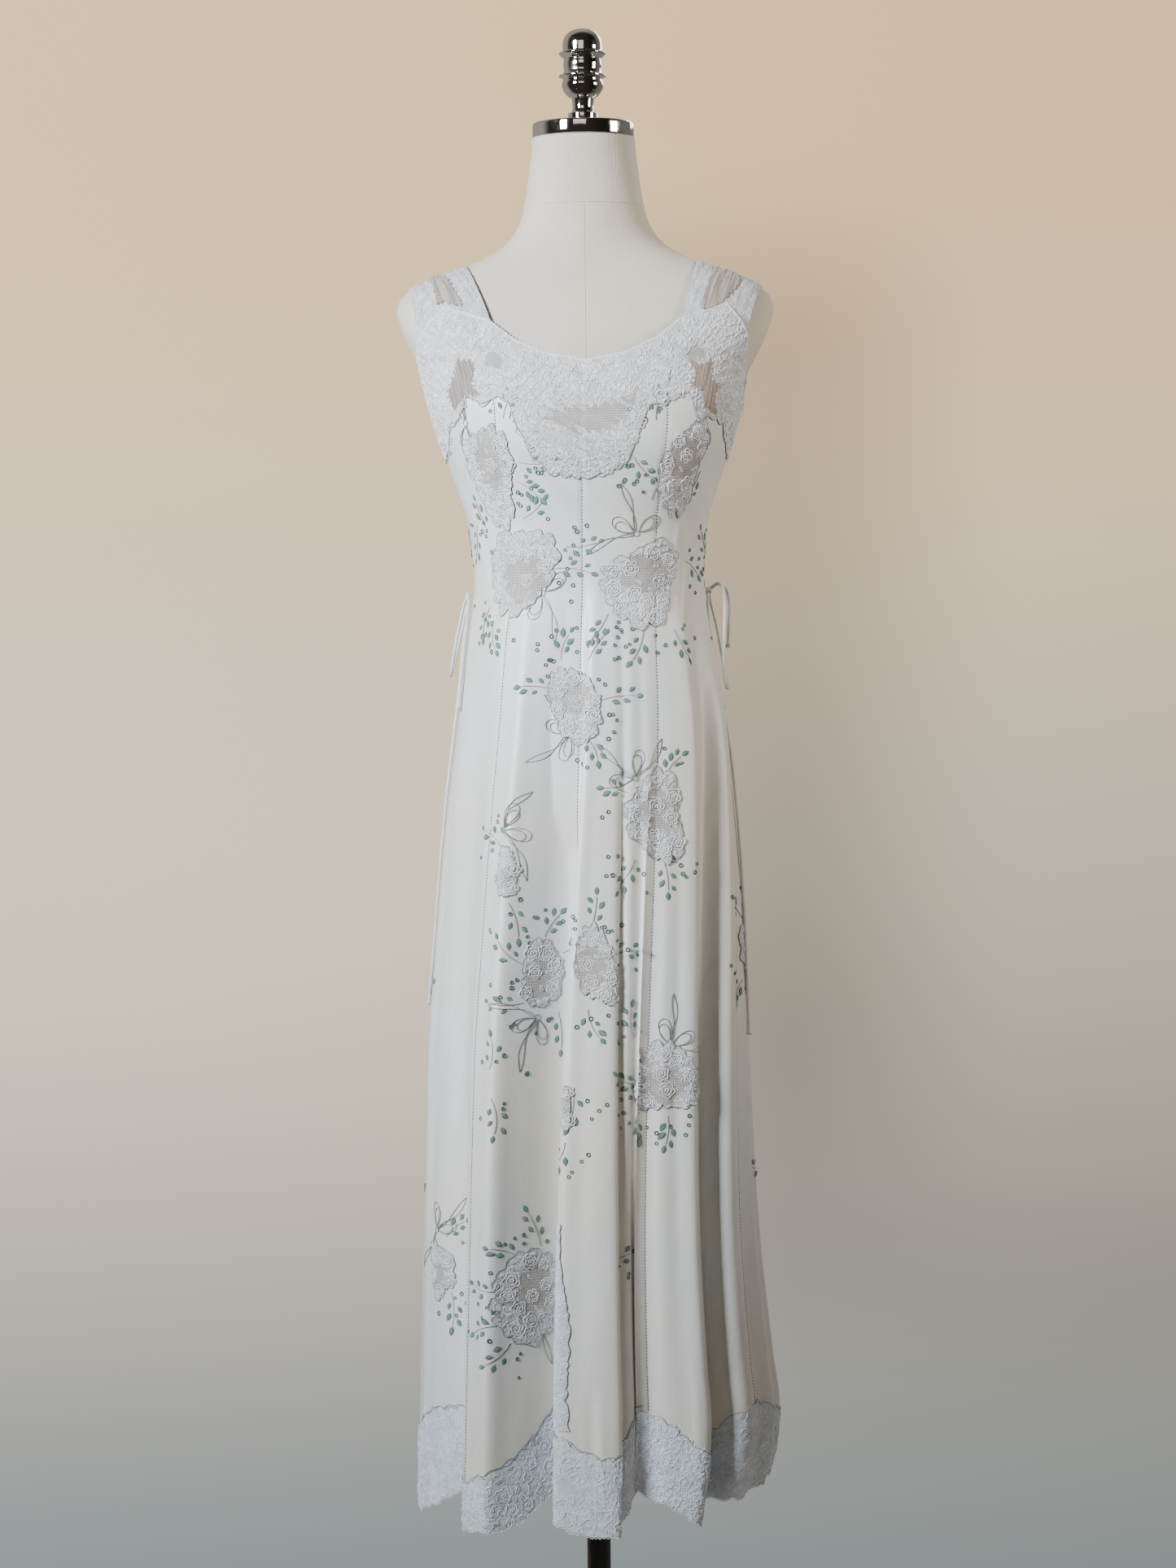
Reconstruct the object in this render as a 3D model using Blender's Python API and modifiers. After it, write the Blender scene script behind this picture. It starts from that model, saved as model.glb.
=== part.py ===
"""A slip dress of satin gores, lace and net, worn by a limbless dress form on a pole and a round base.

Metres, +Z up. The dress faces -Y, its wearer's left is +X, and the origin is on the floor under the pole.
The cloth is worked out as one surface, dress_points(station, height), and each piece is a wall cut from it.
A station is a place around the dress, counted in rows of the FOLDS table.
"""

import math
from collections import namedtuple

import bmesh
import bpy
import numpy as np
from mathutils import Matrix

COLLECTION_NAME = "slip_dress_on_dress_form"

# Cloth
WALL = 0.0015  # thickness of every cloth piece
SEAM_GAP = 0.0003  # parting between two pieces that are sewn together
BODICE_EASE = 0.0056  # from the form's surface to the outer face of the bodice
STRAP_LIFT = 0.0024  # from the form's surface to the outer face of a strap, on top of the shoulder

# Heights of the dress
BUST_HEIGHT = 1.370
WAIST_HEIGHT = 1.190
HEM_HEIGHT = 0.213  # where the folds are at their deepest

# Stand
CAP_RADIUS = 0.0533
CAP_BOTTOM = 1.6561
CAP_THICKNESS = 0.0163
POLE_RADIUS = 0.0125
POLE_SIDES = 20
BASE_RADIUS = 0.160
BASE_THICKNESS = 0.014
PART_GAP = 0.0003  # between two hard pieces that touch

# Side ties
TIE_RADIUS = 0.00175
TIE_POINTS = 20  # points of a tie's tube
TIE_LEAD = 0.002  # length of a tie that leaves its knot straight
KNOT_RADIUS = 0.0048
KNOT_LIFT = 0.0061  # from the cloth to the middle of a knot

# The form's level sections: how far it reaches to a side, to the front and to the back, and how square it is
Section = namedtuple("Section", "height half_width front back squareness")
FORM_SECTIONS = [
    Section(0.900, 0.1280, 0.1000, 0.1080, 2.0),
    Section(0.960, 0.1330, 0.1070, 0.1170, 2.0),
    Section(1.030, 0.1285, 0.1060, 0.1140, 2.1),
    Section(1.120, 0.1195, 0.0970, 0.0890, 2.2),
    Section(1.190, 0.1145, 0.0910, 0.0780, 2.2),
    Section(1.245, 0.1195, 0.0960, 0.0810, 2.2),
    Section(1.290, 0.1320, 0.1075, 0.0880, 2.3),
    Section(1.340, 0.1495, 0.1180, 0.0940, 2.45),
    Section(1.372, 0.1590, 0.1170, 0.0960, 2.5),
    Section(1.405, 0.1690, 0.1090, 0.0950, 2.4),
    Section(1.437, 0.1850, 0.0980, 0.0910, 2.3),
    Section(1.458, 0.1940, 0.0880, 0.0860, 2.2),
    Section(1.475, 0.1985, 0.0800, 0.0820, 2.1),
    Section(1.488, 0.1950, 0.0740, 0.0780, 2.1),
    Section(1.501, 0.1800, 0.0680, 0.0740, 2.0),
    Section(1.511, 0.1560, 0.0640, 0.0710, 2.0),
    Section(1.520, 0.1310, 0.0610, 0.0690, 2.0),
    Section(1.530, 0.1080, 0.0590, 0.0670, 2.0),
    Section(1.541, 0.0890, 0.0575, 0.0655, 2.0),
    Section(1.555, 0.0750, 0.0560, 0.0635, 2.0),
    Section(1.575, 0.0655, 0.0545, 0.0610, 2.0),
    Section(1.615, 0.0585, 0.0535, 0.0565, 2.0),
    Section(1.656, 0.0545, 0.0545, 0.0545, 2.0),
]
FORM_COLUMNS = 40

# The skirt's level sections without its folds, from just below the waist down
SkirtSection = namedtuple("SkirtSection", "height left right front back")
SKIRT_SECTIONS = [
    SkirtSection(1.125, 0.1285, 0.1280, 0.1065, 0.0995),
    SkirtSection(1.037, 0.1380, 0.1430, 0.1175, 0.1270),
    SkirtSection(0.961, 0.1480, 0.1500, 0.1250, 0.1360),
    SkirtSection(0.822, 0.1610, 0.1560, 0.1350, 0.1440),
    SkirtSection(0.693, 0.1710, 0.1590, 0.1440, 0.1500),
    SkirtSection(0.529, 0.1750, 0.1650, 0.1530, 0.1560),
    SkirtSection(0.380, 0.1790, 0.1785, 0.1600, 0.1610),
    SkirtSection(0.325, 0.1805, 0.1850, 0.1630, 0.1630),
    SkirtSection(0.280, 0.1820, 0.1810, 0.1645, 0.1640),
    SkirtSection(0.245, 0.1830, 0.1710, 0.1655, 0.1645),
    SkirtSection(0.213, 0.1830, 0.1630, 0.1660, 0.1650),
]

# Ridges and valleys of the cloth, once round from the wearer's right side over the front. Angles are in
# degrees from the front centre, at the bust, the waist and the hem. swell is how far the fold stands out
# from the skirt's section at the hem, hem_height and lace_height are the heights of the hem and of the
# lace border's top, and columns is the number of wall columns from this row to the next.
Fold = namedtuple("Fold", "name bust waist hem swell hem_height lace_height columns")
FOLDS = [
    Fold("side_left", -90, -90, -88, 0.005, 0.213, 0.292, 3),
    Fold("panel_left", -76, -76, -70, 0.005, 0.226, 0.324, 3),
    Fold("valley_left", -61, -59, -53, -0.015, 0.250, 0.334, 6),
    Fold("princess_front_left", -33, -40, -45, 0.014, 0.214, 0.262, 3),
    Fold("slope_left", -21, -22, -30, 0.006, 0.219, 0.284, 3),
    Fold("centre_front", -1.5, -3, -9.5, -0.017, 0.262, 0.350, 3),
    Fold("edge_centre", 5, 4, -13, 0.008, 0.228, 0.318, 3),
    Fold("ridge_centre", 12, 12, 4.5, 0.017, 0.214, 0.292, 3),
    Fold("shoulder_centre", 18, 19, 10, 0.009, 0.224, 0.306, 3),
    Fold("valley_centre", 23.5, 27, 13.5, -0.017, 0.260, 0.340, 3),
    Fold("princess_front_right", 29, 34.5, 17, -0.010, 0.252, 0.336, 3),
    Fold("middle_right", 37, 43, 26, 0.006, 0.240, 0.315, 3),
    Fold("ridge_right", 46, 52, 36, 0.015, 0.219, 0.290, 3),
    Fold("valley_right", 56, 62, 43, -0.017, 0.238, 0.305, 3),
    Fold("side_right", 90, 84, 57, 0.009, 0.243, 0.334, 3),
    Fold("flank_right", 99, 95, 80, 0.008, 0.250, 0.318, 3),
    Fold("back_valley_a", 108, 106, 97, -0.013, 0.250, 0.332, 3),
    Fold("back_ridge_a", 118, 117, 112, 0.013, 0.222, 0.298, 3),
    Fold("back_valley_b", 129, 129, 127, -0.014, 0.250, 0.335, 3),
    Fold("princess_back_right", 142, 142, 143, 0.015, 0.218, 0.292, 3),
    Fold("back_valley_c", 155, 155, 158, -0.012, 0.246, 0.327, 3),
    Fold("back_ridge_c", 167, 167, 172, 0.013, 0.220, 0.300, 3),
    Fold("centre_back", 180, 180, 186, -0.013, 0.247, 0.331, 3),
    Fold("back_ridge_d", 193, 193, 200, 0.014, 0.220, 0.297, 3),
    Fold("back_valley_d", 205, 205, 214, -0.013, 0.248, 0.330, 3),
    Fold("princess_back_left", 218, 218, 228, 0.014, 0.219, 0.296, 3),
    Fold("back_valley_e", 232, 231, 243, -0.012, 0.246, 0.326, 3),
    Fold("back_ridge_e", 246, 245, 257, 0.009, 0.222, 0.301, 3),
]
FOLD_NAMES = [fold.name for fold in FOLDS]

# Upper edge of the bodice and lower edge of its lace, as angle at the bust and height
Edge = namedtuple("Edge", "angle height")
TOP_EDGE = [
    Edge(-90, 1.373),
    Edge(-74, 1.412),
    Edge(-61, 1.440),
    Edge(-49, 1.464),
    Edge(-44.5, 1.476),
    Edge(-29.5, 1.461),
    Edge(-22, 1.4385),
    Edge(-13, 1.424),
    Edge(0, 1.4155),
    Edge(13, 1.424),
    Edge(22, 1.439),
    Edge(29, 1.460),
    Edge(45, 1.477),
    Edge(56, 1.446),
    Edge(61, 1.4185),
    Edge(72, 1.380),
    Edge(90, 1.368),
    Edge(104, 1.386),
    Edge(118, 1.440),
    Edge(135, 1.468),
    Edge(155, 1.452),
    Edge(168, 1.414),
    Edge(180, 1.402),
    Edge(193, 1.414),
    Edge(209.3, 1.452),
    Edge(225, 1.468),
    Edge(241.3, 1.440),
    Edge(270, 1.373),
]
YOKE_EDGE = [
    Edge(-90, 1.318),
    Edge(-76, 1.322),
    Edge(-66, 1.328),
    Edge(-58, 1.352),
    Edge(-50, 1.358),
    Edge(-43, 1.384),
    Edge(-38, 1.372),
    Edge(-33, 1.379),
    Edge(-28, 1.378),
    Edge(-25, 1.352),
    Edge(-19, 1.320),
    Edge(-12, 1.301),
    Edge(-1.5, 1.294),
    Edge(7, 1.302),
    Edge(14, 1.318),
    Edge(19, 1.342),
    Edge(22, 1.371),
    Edge(29, 1.372),
    Edge(36, 1.384),
    Edge(41, 1.360),
    Edge(56, 1.352),
    Edge(66, 1.328),
    Edge(76, 1.321),
    Edge(90, 1.318),
    Edge(108, 1.330),
    Edge(129, 1.348),
    Edge(142, 1.336),
    Edge(155, 1.344),
    Edge(167, 1.318),
    Edge(180, 1.304),
    Edge(193, 1.318),
    Edge(205, 1.344),
    Edge(218, 1.336),
    Edge(231, 1.348),
    Edge(252, 1.330),
    Edge(270, 1.318),
]
# Rows of wall, as shares of the way down a piece
YOKE_ROWS = [0.0, 0.24, 0.50, 0.68, 0.88, 1.0]
HEM_ROWS = [0.0, 0.5, 1.0]
# A gore's rows first follow its top edge, as shares of the way to the first level row, and then lie level
GORE_EDGE_ROWS = [0.0, 0.33, 0.66]
GORE_LEVEL_ROWS = [1.272, 1.236, 1.200, 1.165, 1.120, 1.040, 0.940, 0.820, 0.680, 0.530, 0.400]

# Gores, hem lace and yokes, each from one seam of the FOLDS table to the next
Panel = namedtuple("Panel", "name first last")
GORES = [
    Panel("gore_front_side_left", "side_left", "princess_front_left"),
    Panel("gore_front_centre_left", "princess_front_left", "centre_front"),
    Panel("gore_front_centre_right", "centre_front", "princess_front_right"),
    Panel("gore_front_side_right", "princess_front_right", "side_right"),
    Panel("gore_back_side_right", "side_right", "princess_back_right"),
    Panel("gore_back_centre_right", "princess_back_right", "centre_back"),
    Panel("gore_back_centre_left", "centre_back", "princess_back_left"),
    Panel("gore_back_side_left", "princess_back_left", "side_left"),
]
HEM_LACES = [
    Panel("hem_lace_front_left", "side_left", "centre_front"),
    Panel("hem_lace_front_right", "centre_front", "side_right"),
    Panel("hem_lace_back_right", "side_right", "centre_back"),
    Panel("hem_lace_back_left", "centre_back", "side_left"),
]
YOKES = [
    Panel("lace_yoke_front", "side_left", "side_right"),
    Panel("lace_yoke_back", "side_right", "side_left"),
]

# A strip of lace laid on the centre fold's edge, above the border: its stations and heights
STRIP_STATIONS = (5 + 2 / 3, 6.0, 6 + 1 / 3)
STRIP_TOP = 0.532
STRIP_BOTTOM = 0.322
STRIP_LIFT = WALL + SEAM_GAP  # from the gore's outer face to the strip's
STRIP_ROWS = 4

# Net inserts in the front yoke: the wall columns and rows that they fill, counted from the fold named
NetInsert = namedtuple("NetInsert", "name fold first_column last_column first_row last_row")
BUST_NETS = [
    NetInsert("net_bust_left", "valley_left", 0, 3, 2, 4),
    NetInsert("net_bust_right", "ridge_right", -1, 2, 2, 4),
]

# Straps, each a run of wall columns from the front's top edge over the shoulder to the back's. The inner
# edge is the one at the neck. crest_inner and crest_outer are where the edges cross the shoulder's top.
Strap = namedtuple("Strap", "name front_inner front_outer back_inner back_outer crest_inner crest_outer")
STRAPS = [
    Strap("strap_left", 3 + 1 / 3, 2, 24 + 1 / 3, 26 + 2 / 3, -0.1260, -0.1850),
    Strap("strap_right", 10, 13, 20, 17, 0.1190, 0.1860),
]
STRAP_NETS = {
    "strap_left": NetInsert("net_strap_left", "", 3, 5, 2, 8),
    "strap_right": NetInsert("net_strap_right", "", 3, 6, 2, 8),
}
STRAP_ROWS = 16
SHOULDER_CORE = (0.0, 1.462)  # y and z of a line inside both shoulders

# Profiles of the turned pieces, as radius and height above the piece's foot
Turn = namedtuple("Turn", "radius height")
FINIAL_PROFILE = [
    Turn(0.0000, 0.0984),
    Turn(0.0085, 0.0976),
    Turn(0.0160, 0.0935),
    Turn(0.0200, 0.0870),
    Turn(0.0207, 0.0800),
    Turn(0.0207, 0.0745),
    Turn(0.0248, 0.0728),
    Turn(0.0248, 0.0712),
    Turn(0.0194, 0.0666),
    Turn(0.0204, 0.0605),
    Turn(0.0194, 0.0550),
    Turn(0.0206, 0.0510),
    Turn(0.0250, 0.0494),
    Turn(0.0250, 0.0477),
    Turn(0.0200, 0.0455),
    Turn(0.0214, 0.0347),
    Turn(0.0165, 0.0275),
    Turn(0.0116, 0.0250),
    Turn(0.0108, 0.0160),
    Turn(0.0118, 0.0110),
    Turn(0.0155, 0.0095),
    Turn(0.0155, 0.0000),
    Turn(0.0000, 0.0000),
]
CAP_PROFILE = [
    Turn(0.0000, CAP_THICKNESS),
    Turn(CAP_RADIUS - 0.0030, CAP_THICKNESS),
    Turn(CAP_RADIUS - 0.0006, CAP_THICKNESS - 0.0010),
    Turn(CAP_RADIUS, CAP_THICKNESS - 0.0030),
    Turn(CAP_RADIUS, 0.0012),
    Turn(CAP_RADIUS - 0.0010, 0.0000),
    Turn(0.0000, 0.0000),
]
BASE_PROFILE = [
    Turn(0.0000, BASE_THICKNESS),
    Turn(0.0300, BASE_THICKNESS),
    Turn(BASE_RADIUS - 0.0200, 0.0090),
    Turn(BASE_RADIUS - 0.0030, 0.0065),
    Turn(BASE_RADIUS, 0.0040),
    Turn(BASE_RADIUS, 0.0000),
    Turn(0.0000, 0.0000),
]

# Knots of the side ties, and the routes of their cords over the cloth. A lay is a station, a height, and
# how far the cord's middle lies off the cloth. Each cord starts at its knot, and a loop goes back to it.
Lay = namedtuple("Lay", "station height lift")
KNOTS = {
    "tie_left_knot": Lay(0.06, 1.1760, KNOT_LIFT),
    "tie_right_knot": Lay(14.04, 1.1790, KNOT_LIFT),
}
Tie = namedtuple("Tie", "name knot is_loop lays")
TIES = [
    Tie("tie_left_loop", "tie_left_knot", True, [
        Lay(0.22, 1.1690, 0.0090),
        Lay(0.42, 1.1560, 0.0100),
        Lay(0.56, 1.1300, 0.0115),
        Lay(0.56, 1.1060, 0.0130),
        Lay(0.38, 1.0920, 0.0135),
        Lay(0.16, 1.0980, 0.0115),
        Lay(0.04, 1.1200, 0.0090),
        Lay(0.01, 1.1450, 0.0070),
        Lay(0.03, 1.1640, 0.0062),
    ]),
    Tie("tie_left_tail_long", "tie_left_knot", False, [
        Lay(-0.16, 1.1680, 0.0050),
        Lay(-0.24, 1.1300, 0.0040),
        Lay(-0.20, 1.0700, 0.0034),
        Lay(-0.05, 0.9800, 0.0032),
        Lay(0.10, 0.9000, 0.0032),
        Lay(0.20, 0.8200, 0.0032),
        Lay(0.22, 0.7500, 0.0032),
    ]),
    Tie("tie_left_tail_short", "tie_left_knot", False, [
        Lay(0.34, 1.1780, 0.0056),
        Lay(0.66, 1.1640, 0.0050),
        Lay(0.82, 1.1300, 0.0040),
        Lay(0.84, 1.0950, 0.0036),
        Lay(0.80, 1.0600, 0.0034),
    ]),
    Tie("tie_right_loop", "tie_right_knot", True, [
        Lay(13.98, 1.1840, 0.0120),
        Lay(13.94, 1.1870, 0.0170),
        Lay(13.90, 1.1830, 0.0215),
        Lay(13.88, 1.1650, 0.0225),
        Lay(13.86, 1.1300, 0.0170),
        Lay(13.84, 1.0950, 0.0110),
        Lay(13.92, 1.0760, 0.0095),
        Lay(14.14, 1.0760, 0.0090),
        Lay(14.24, 1.0950, 0.0085),
        Lay(14.20, 1.1300, 0.0090),
        Lay(14.12, 1.1560, 0.0080),
        Lay(14.06, 1.1680, 0.0068),
    ]),
    Tie("tie_right_tail_long", "tie_right_knot", False, [
        Lay(13.84, 1.1740, 0.0056),
        Lay(13.74, 1.1450, 0.0042),
        Lay(13.78, 1.0900, 0.0036),
        Lay(14.02, 1.0200, 0.0032),
        Lay(14.30, 0.9400, 0.0032),
        Lay(14.50, 0.8500, 0.0032),
        Lay(14.58, 0.7700, 0.0032),
        Lay(14.60, 0.7160, 0.0032),
    ]),
    Tie("tie_right_tail_short", "tie_right_knot", False, [
        Lay(14.24, 1.1840, 0.0110),
        Lay(14.34, 1.1860, 0.0180),
        Lay(14.42, 1.1780, 0.0250),
        Lay(14.48, 1.1600, 0.0260),
        Lay(14.50, 1.1400, 0.0215),
        Lay(14.50, 1.1200, 0.0170),
    ]),
]

# Colour, roughness and metallic value of each material
Finish = namedtuple("Finish", "colour roughness metallic")
FINISHES = {
    "satin": Finish((0.80, 0.80, 0.78), 0.42, 0.0),
    "lace": Finish((0.76, 0.76, 0.82), 0.75, 0.0),
    "net": Finish((0.45, 0.38, 0.33), 0.80, 0.0),
    "tie_satin": Finish((0.82, 0.79, 0.76), 0.45, 0.0),
    "linen": Finish((0.62, 0.59, 0.55), 0.90, 0.0),
    "chrome": Finish((0.75, 0.75, 0.76), 0.08, 1.0),
    "black_steel": Finish((0.012, 0.013, 0.015), 0.40, 0.0),
}


def clear_scene():
    for thing in list(bpy.data.objects):
        bpy.data.objects.remove(thing, do_unlink=True)


def make_collection():
    collection = bpy.data.collections.new(COLLECTION_NAME)
    bpy.context.scene.collection.children.link(collection)
    return collection


def make_material(finish_name, part_name):
    """A Principled material of its own for one sub-part."""
    finish = FINISHES[finish_name]
    material = bpy.data.materials.new(f"{finish_name}_{part_name}")
    material.use_nodes = True
    shader = material.node_tree.nodes["Principled BSDF"]
    shader.inputs["Base Color"].default_value = (*finish.colour, 1.0)
    shader.inputs["Roughness"].default_value = finish.roughness
    shader.inputs["Metallic"].default_value = finish.metallic
    return material


def add_object(name, mesh, finish_name, collection):
    thing = bpy.data.objects.new(name, mesh)
    thing.data.materials.append(make_material(finish_name, name))
    collection.objects.link(thing)
    return thing


# Curves through tables


def smooth_value(knots, values, at):
    """A smooth curve through the rows of a table that never overshoots them."""
    knots = np.asarray(knots, float)
    values = np.asarray(values, float)
    at = np.clip(at, knots[0], knots[-1])
    step = np.diff(knots)
    rise = np.diff(values) / step
    slope = np.zeros_like(values)
    product = rise[1:] * rise[:-1]
    total = np.where(product > 0, rise[1:] + rise[:-1], 1.0)
    slope[1:-1] = np.where(product > 0, 2.0 * product / total, 0.0)
    row = np.clip(np.searchsorted(knots, at, side="right") - 1, 0, len(step) - 1)
    t = (at - knots[row]) / step[row]
    start = values[row] * (1 + 2 * t) * (1 - t) ** 2 + slope[row] * step[row] * t * (1 - t) ** 2
    end = values[row + 1] * t * t * (3 - 2 * t) + slope[row + 1] * step[row] * t * t * (t - 1)
    return start + end


def ring_rows(column, station, around):
    """The four rows of the FOLDS table about each station, in order, going on past its end."""
    values = np.array([getattr(fold, column) for fold in FOLDS], float)
    count = len(values)
    first = np.floor(station).astype(int)
    rows = [values[(first + k) % count] + around * ((first + k) // count) for k in (-1, 0, 1, 2)]
    return rows, station - first


def ring_curve(column, station, around=0.0):
    """A column of FOLDS as a rounded closed curve through its rows."""
    (a, b, c, d), t = ring_rows(column, station, around)
    return 0.5 * (2 * b + (c - a) * t + (2 * a - 5 * b + 4 * c - d) * t**2 + (3 * b - a - 3 * c + d) * t**3)


def ring_steady(column, station, around=0.0):
    """A column of FOLDS as a closed curve that never overshoots its rows."""
    (a, b, c, d), t = ring_rows(column, station, around)
    before, middle, after = b - a, c - b, d - c

    def tangent(one, two):
        product = one * two
        return np.where(product > 0, 2.0 * product / np.where(product > 0, one + two, 1.0), 0.0)

    start = b * (1 + 2 * t) * (1 - t) ** 2 + tangent(before, middle) * t * (1 - t) ** 2
    end = c * t * t * (3 - 2 * t) + tangent(middle, after) * t * t * (t - 1)
    return start + end


def edge_height(edge_rows, angle):
    """Height of a bodice edge at an angle round the bust, straight between its rows."""
    turned = (np.asarray(angle, float) + 90.0) % 360.0 - 90.0
    return np.interp(turned, [row.angle for row in edge_rows], [row.height for row in edge_rows])


# The form and the cloth as surfaces


def form_section(height):
    """(half width, front, back, squareness) of the form at a height."""
    heights = [row.height for row in FORM_SECTIONS]
    columns = ("half_width", "front", "back", "squareness")
    return [smooth_value(heights, [getattr(row, name) for row in FORM_SECTIONS], height) for name in columns]


def section_points(angle, left, right, front, back, squareness):
    """Points of a level section and the directions that face out of it, from its reach on four sides."""
    sine, cosine = np.sin(angle), np.cos(angle)
    side = np.where(sine < 0, left, right)
    depth = np.where(cosine < 0, back, front)
    spread = (np.abs(sine) ** squareness + np.abs(cosine) ** squareness) ** (-1.0 / squareness)
    across, outward = side * sine * spread, -depth * cosine * spread
    facing = np.stack([sine / side, -cosine / depth])
    return across, outward, facing / np.linalg.norm(facing, axis=0)


def dress_reach(height):
    """(left, right, front, back, squareness) of the dress without folds at a height."""
    half, front, back, squareness = form_section(np.maximum(height, WAIST_HEIGHT))
    bodice = [half, half, front, back]
    waist = [value + BODICE_EASE for value in form_section(WAIST_HEIGHT)]
    waist_reach = [waist[0], waist[0], waist[1], waist[2]]
    reach = []
    for on_bodice, at_waist, name in zip(bodice, waist_reach, ("left", "right", "front", "back")):
        heights = [WAIST_HEIGHT] + [row.height for row in SKIRT_SECTIONS]
        values = [at_waist] + [getattr(row, name) for row in SKIRT_SECTIONS]
        skirt = smooth_value(heights[::-1], values[::-1], np.minimum(height, WAIST_HEIGHT))
        reach.append(np.where(height >= WAIST_HEIGHT, on_bodice + BODICE_EASE, skirt))
    drop = np.clip((WAIST_HEIGHT - height) / (WAIST_HEIGHT - HEM_HEIGHT), 0.0, 1.0)
    return reach, squareness + (2.0 - squareness) * np.minimum(1.0, 4.0 * drop)


def dress_points(station, height):
    """Points of the dress's outer face, as an array with a last axis of x, y and z."""
    station, height = np.broadcast_arrays(np.asarray(station, float), np.asarray(height, float))
    drop = np.clip((WAIST_HEIGHT - height) / (WAIST_HEIGHT - HEM_HEIGHT), 0.0, 1.0)
    rise = np.clip((height - WAIST_HEIGHT) / (BUST_HEIGHT - WAIST_HEIGHT), 0.0, 1.0)
    waist = ring_steady("waist", station, 360.0)
    bust = ring_steady("bust", station, 360.0)
    hem = ring_curve("hem", station, 360.0)
    angle = waist + (bust - waist) * rise**1.5 + (hem - waist) * (1.0 - (1.0 - drop) ** 2)
    swell = ring_curve("swell", station) * drop**0.8
    (left, right, front, back), squareness = dress_reach(height)
    across, outward, facing = section_points(np.radians(angle), left, right, front, back, squareness)
    return np.stack([across + swell * facing[0], outward + swell * facing[1], height], axis=-1)


def dress_directions(station, height):
    """Unit vectors along the cloth to the next station, and out of the cloth."""
    step, lift = 0.02, 0.002
    along = dress_points(station + step, height) - dress_points(station - step, height)
    up = dress_points(station, height + lift) - dress_points(station, height - lift)
    outward = np.cross(along, up)
    unit = np.linalg.norm(along, axis=-1, keepdims=True)
    return along / unit, outward / np.linalg.norm(outward, axis=-1, keepdims=True)


def form_reach(x, tilt):
    """Distance from the shoulder's core line to the form's surface, at x, in a direction tilted up from
    the front by an angle."""
    core_y, core_z = SHOULDER_CORE
    near, far = 0.0, 0.2
    for _ in range(40):
        middle = 0.5 * (near + far)
        y = core_y - middle * math.cos(tilt)
        half, front, back, squareness = form_section(core_z + middle * math.sin(tilt))
        depth = back if y > 0 else front
        inside = (abs(x) / half) ** squareness + (abs(y) / depth) ** squareness < 1.0
        near, far = (middle, far) if inside else (near, middle)
    return near


# Walls


def wall_mesh(name, outer, inner, keep=None, pull=0.0):
    """A closed wall between two grids of points, over the cells that keep marks. pull draws the points on
    its rim towards the middle of the piece."""
    rows, columns = outer.shape[:2]
    if keep is None:
        keep = np.ones((rows - 1, columns - 1), bool)
    mesh_builder = bmesh.new()
    middle = outer[:-1, :-1][keep].mean(axis=0) if pull else None
    corners = {}

    def corner(row, column, layer):
        key = (row, column, layer)
        if key not in corners:
            point = (outer, inner)[layer][row, column].copy()
            around = [
                0 <= r < rows - 1 and 0 <= c < columns - 1 and keep[r, c]
                for r in (row - 1, row)
                for c in (column - 1, column)
            ]
            if pull and not all(around):
                way = middle - point
                point += way / np.linalg.norm(way) * pull
            corners[key] = mesh_builder.verts.new(point)
        return corners[key]

    def face(*keys):
        mesh_builder.faces.new([corner(*key) for key in keys])

    for row in range(rows - 1):
        for column in range(columns - 1):
            if not keep[row, column]:
                continue
            a, b, c, d = (row, column), (row, column + 1), (row + 1, column + 1), (row + 1, column)
            face((*a, 0), (*d, 0), (*c, 0))
            face((*a, 0), (*c, 0), (*b, 0))
            face((*a, 1), (*c, 1), (*d, 1))
            face((*a, 1), (*b, 1), (*c, 1))
            for one, two, r, c_ in ((a, b, -1, 0), (b, c, 0, 1), (c, d, 1, 0), (d, a, 0, -1)):
                beside_row, beside_column = row + r, column + c_
                within = 0 <= beside_row < rows - 1 and 0 <= beside_column < columns - 1
                if within and keep[beside_row, beside_column]:
                    continue
                # two pieces split the quad between them the same way, so their rims stay parted
                one, two = min(one, two), max(one, two)
                face((*one, 0), (*two, 0), (*two, 1))
                face((*one, 0), (*two, 1), (*one, 1))
    mesh = bpy.data.meshes.new(name)
    bmesh.ops.recalc_face_normals(mesh_builder, faces=mesh_builder.faces)
    mesh_builder.to_mesh(mesh)
    mesh_builder.free()
    return mesh


def column_stations(first_name, last_name):
    """Stations of the wall columns from one seam to the next, going round."""
    first, last = FOLD_NAMES.index(first_name), FOLD_NAMES.index(last_name)
    if last <= first:
        last += len(FOLDS)
    stations = []
    for row in range(first, last):
        count = FOLDS[row % len(FOLDS)].columns
        stations += [row + part / count for part in range(count)]
    return np.array(stations + [float(last)])


def shared_rows(top, bottom, shares):
    """Heights of a panel's rows between two edges, less half a seam gap at each."""
    shares = np.asarray(shares)[:, None]
    return (top - SEAM_GAP / 2) * (1 - shares) + (bottom + SEAM_GAP / 2) * shares


def gore_rows(top, bottom):
    """Heights of a gore's rows: along its top edge, then level, then its bottom edge."""
    first_level = np.full_like(top, GORE_LEVEL_ROWS[0])
    edge = [(top - SEAM_GAP / 2) * (1 - share) + first_level * share for share in GORE_EDGE_ROWS]
    levels = [np.full_like(top, level) for level in GORE_LEVEL_ROWS]
    return np.array(edge + levels + [bottom + SEAM_GAP / 2])


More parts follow.
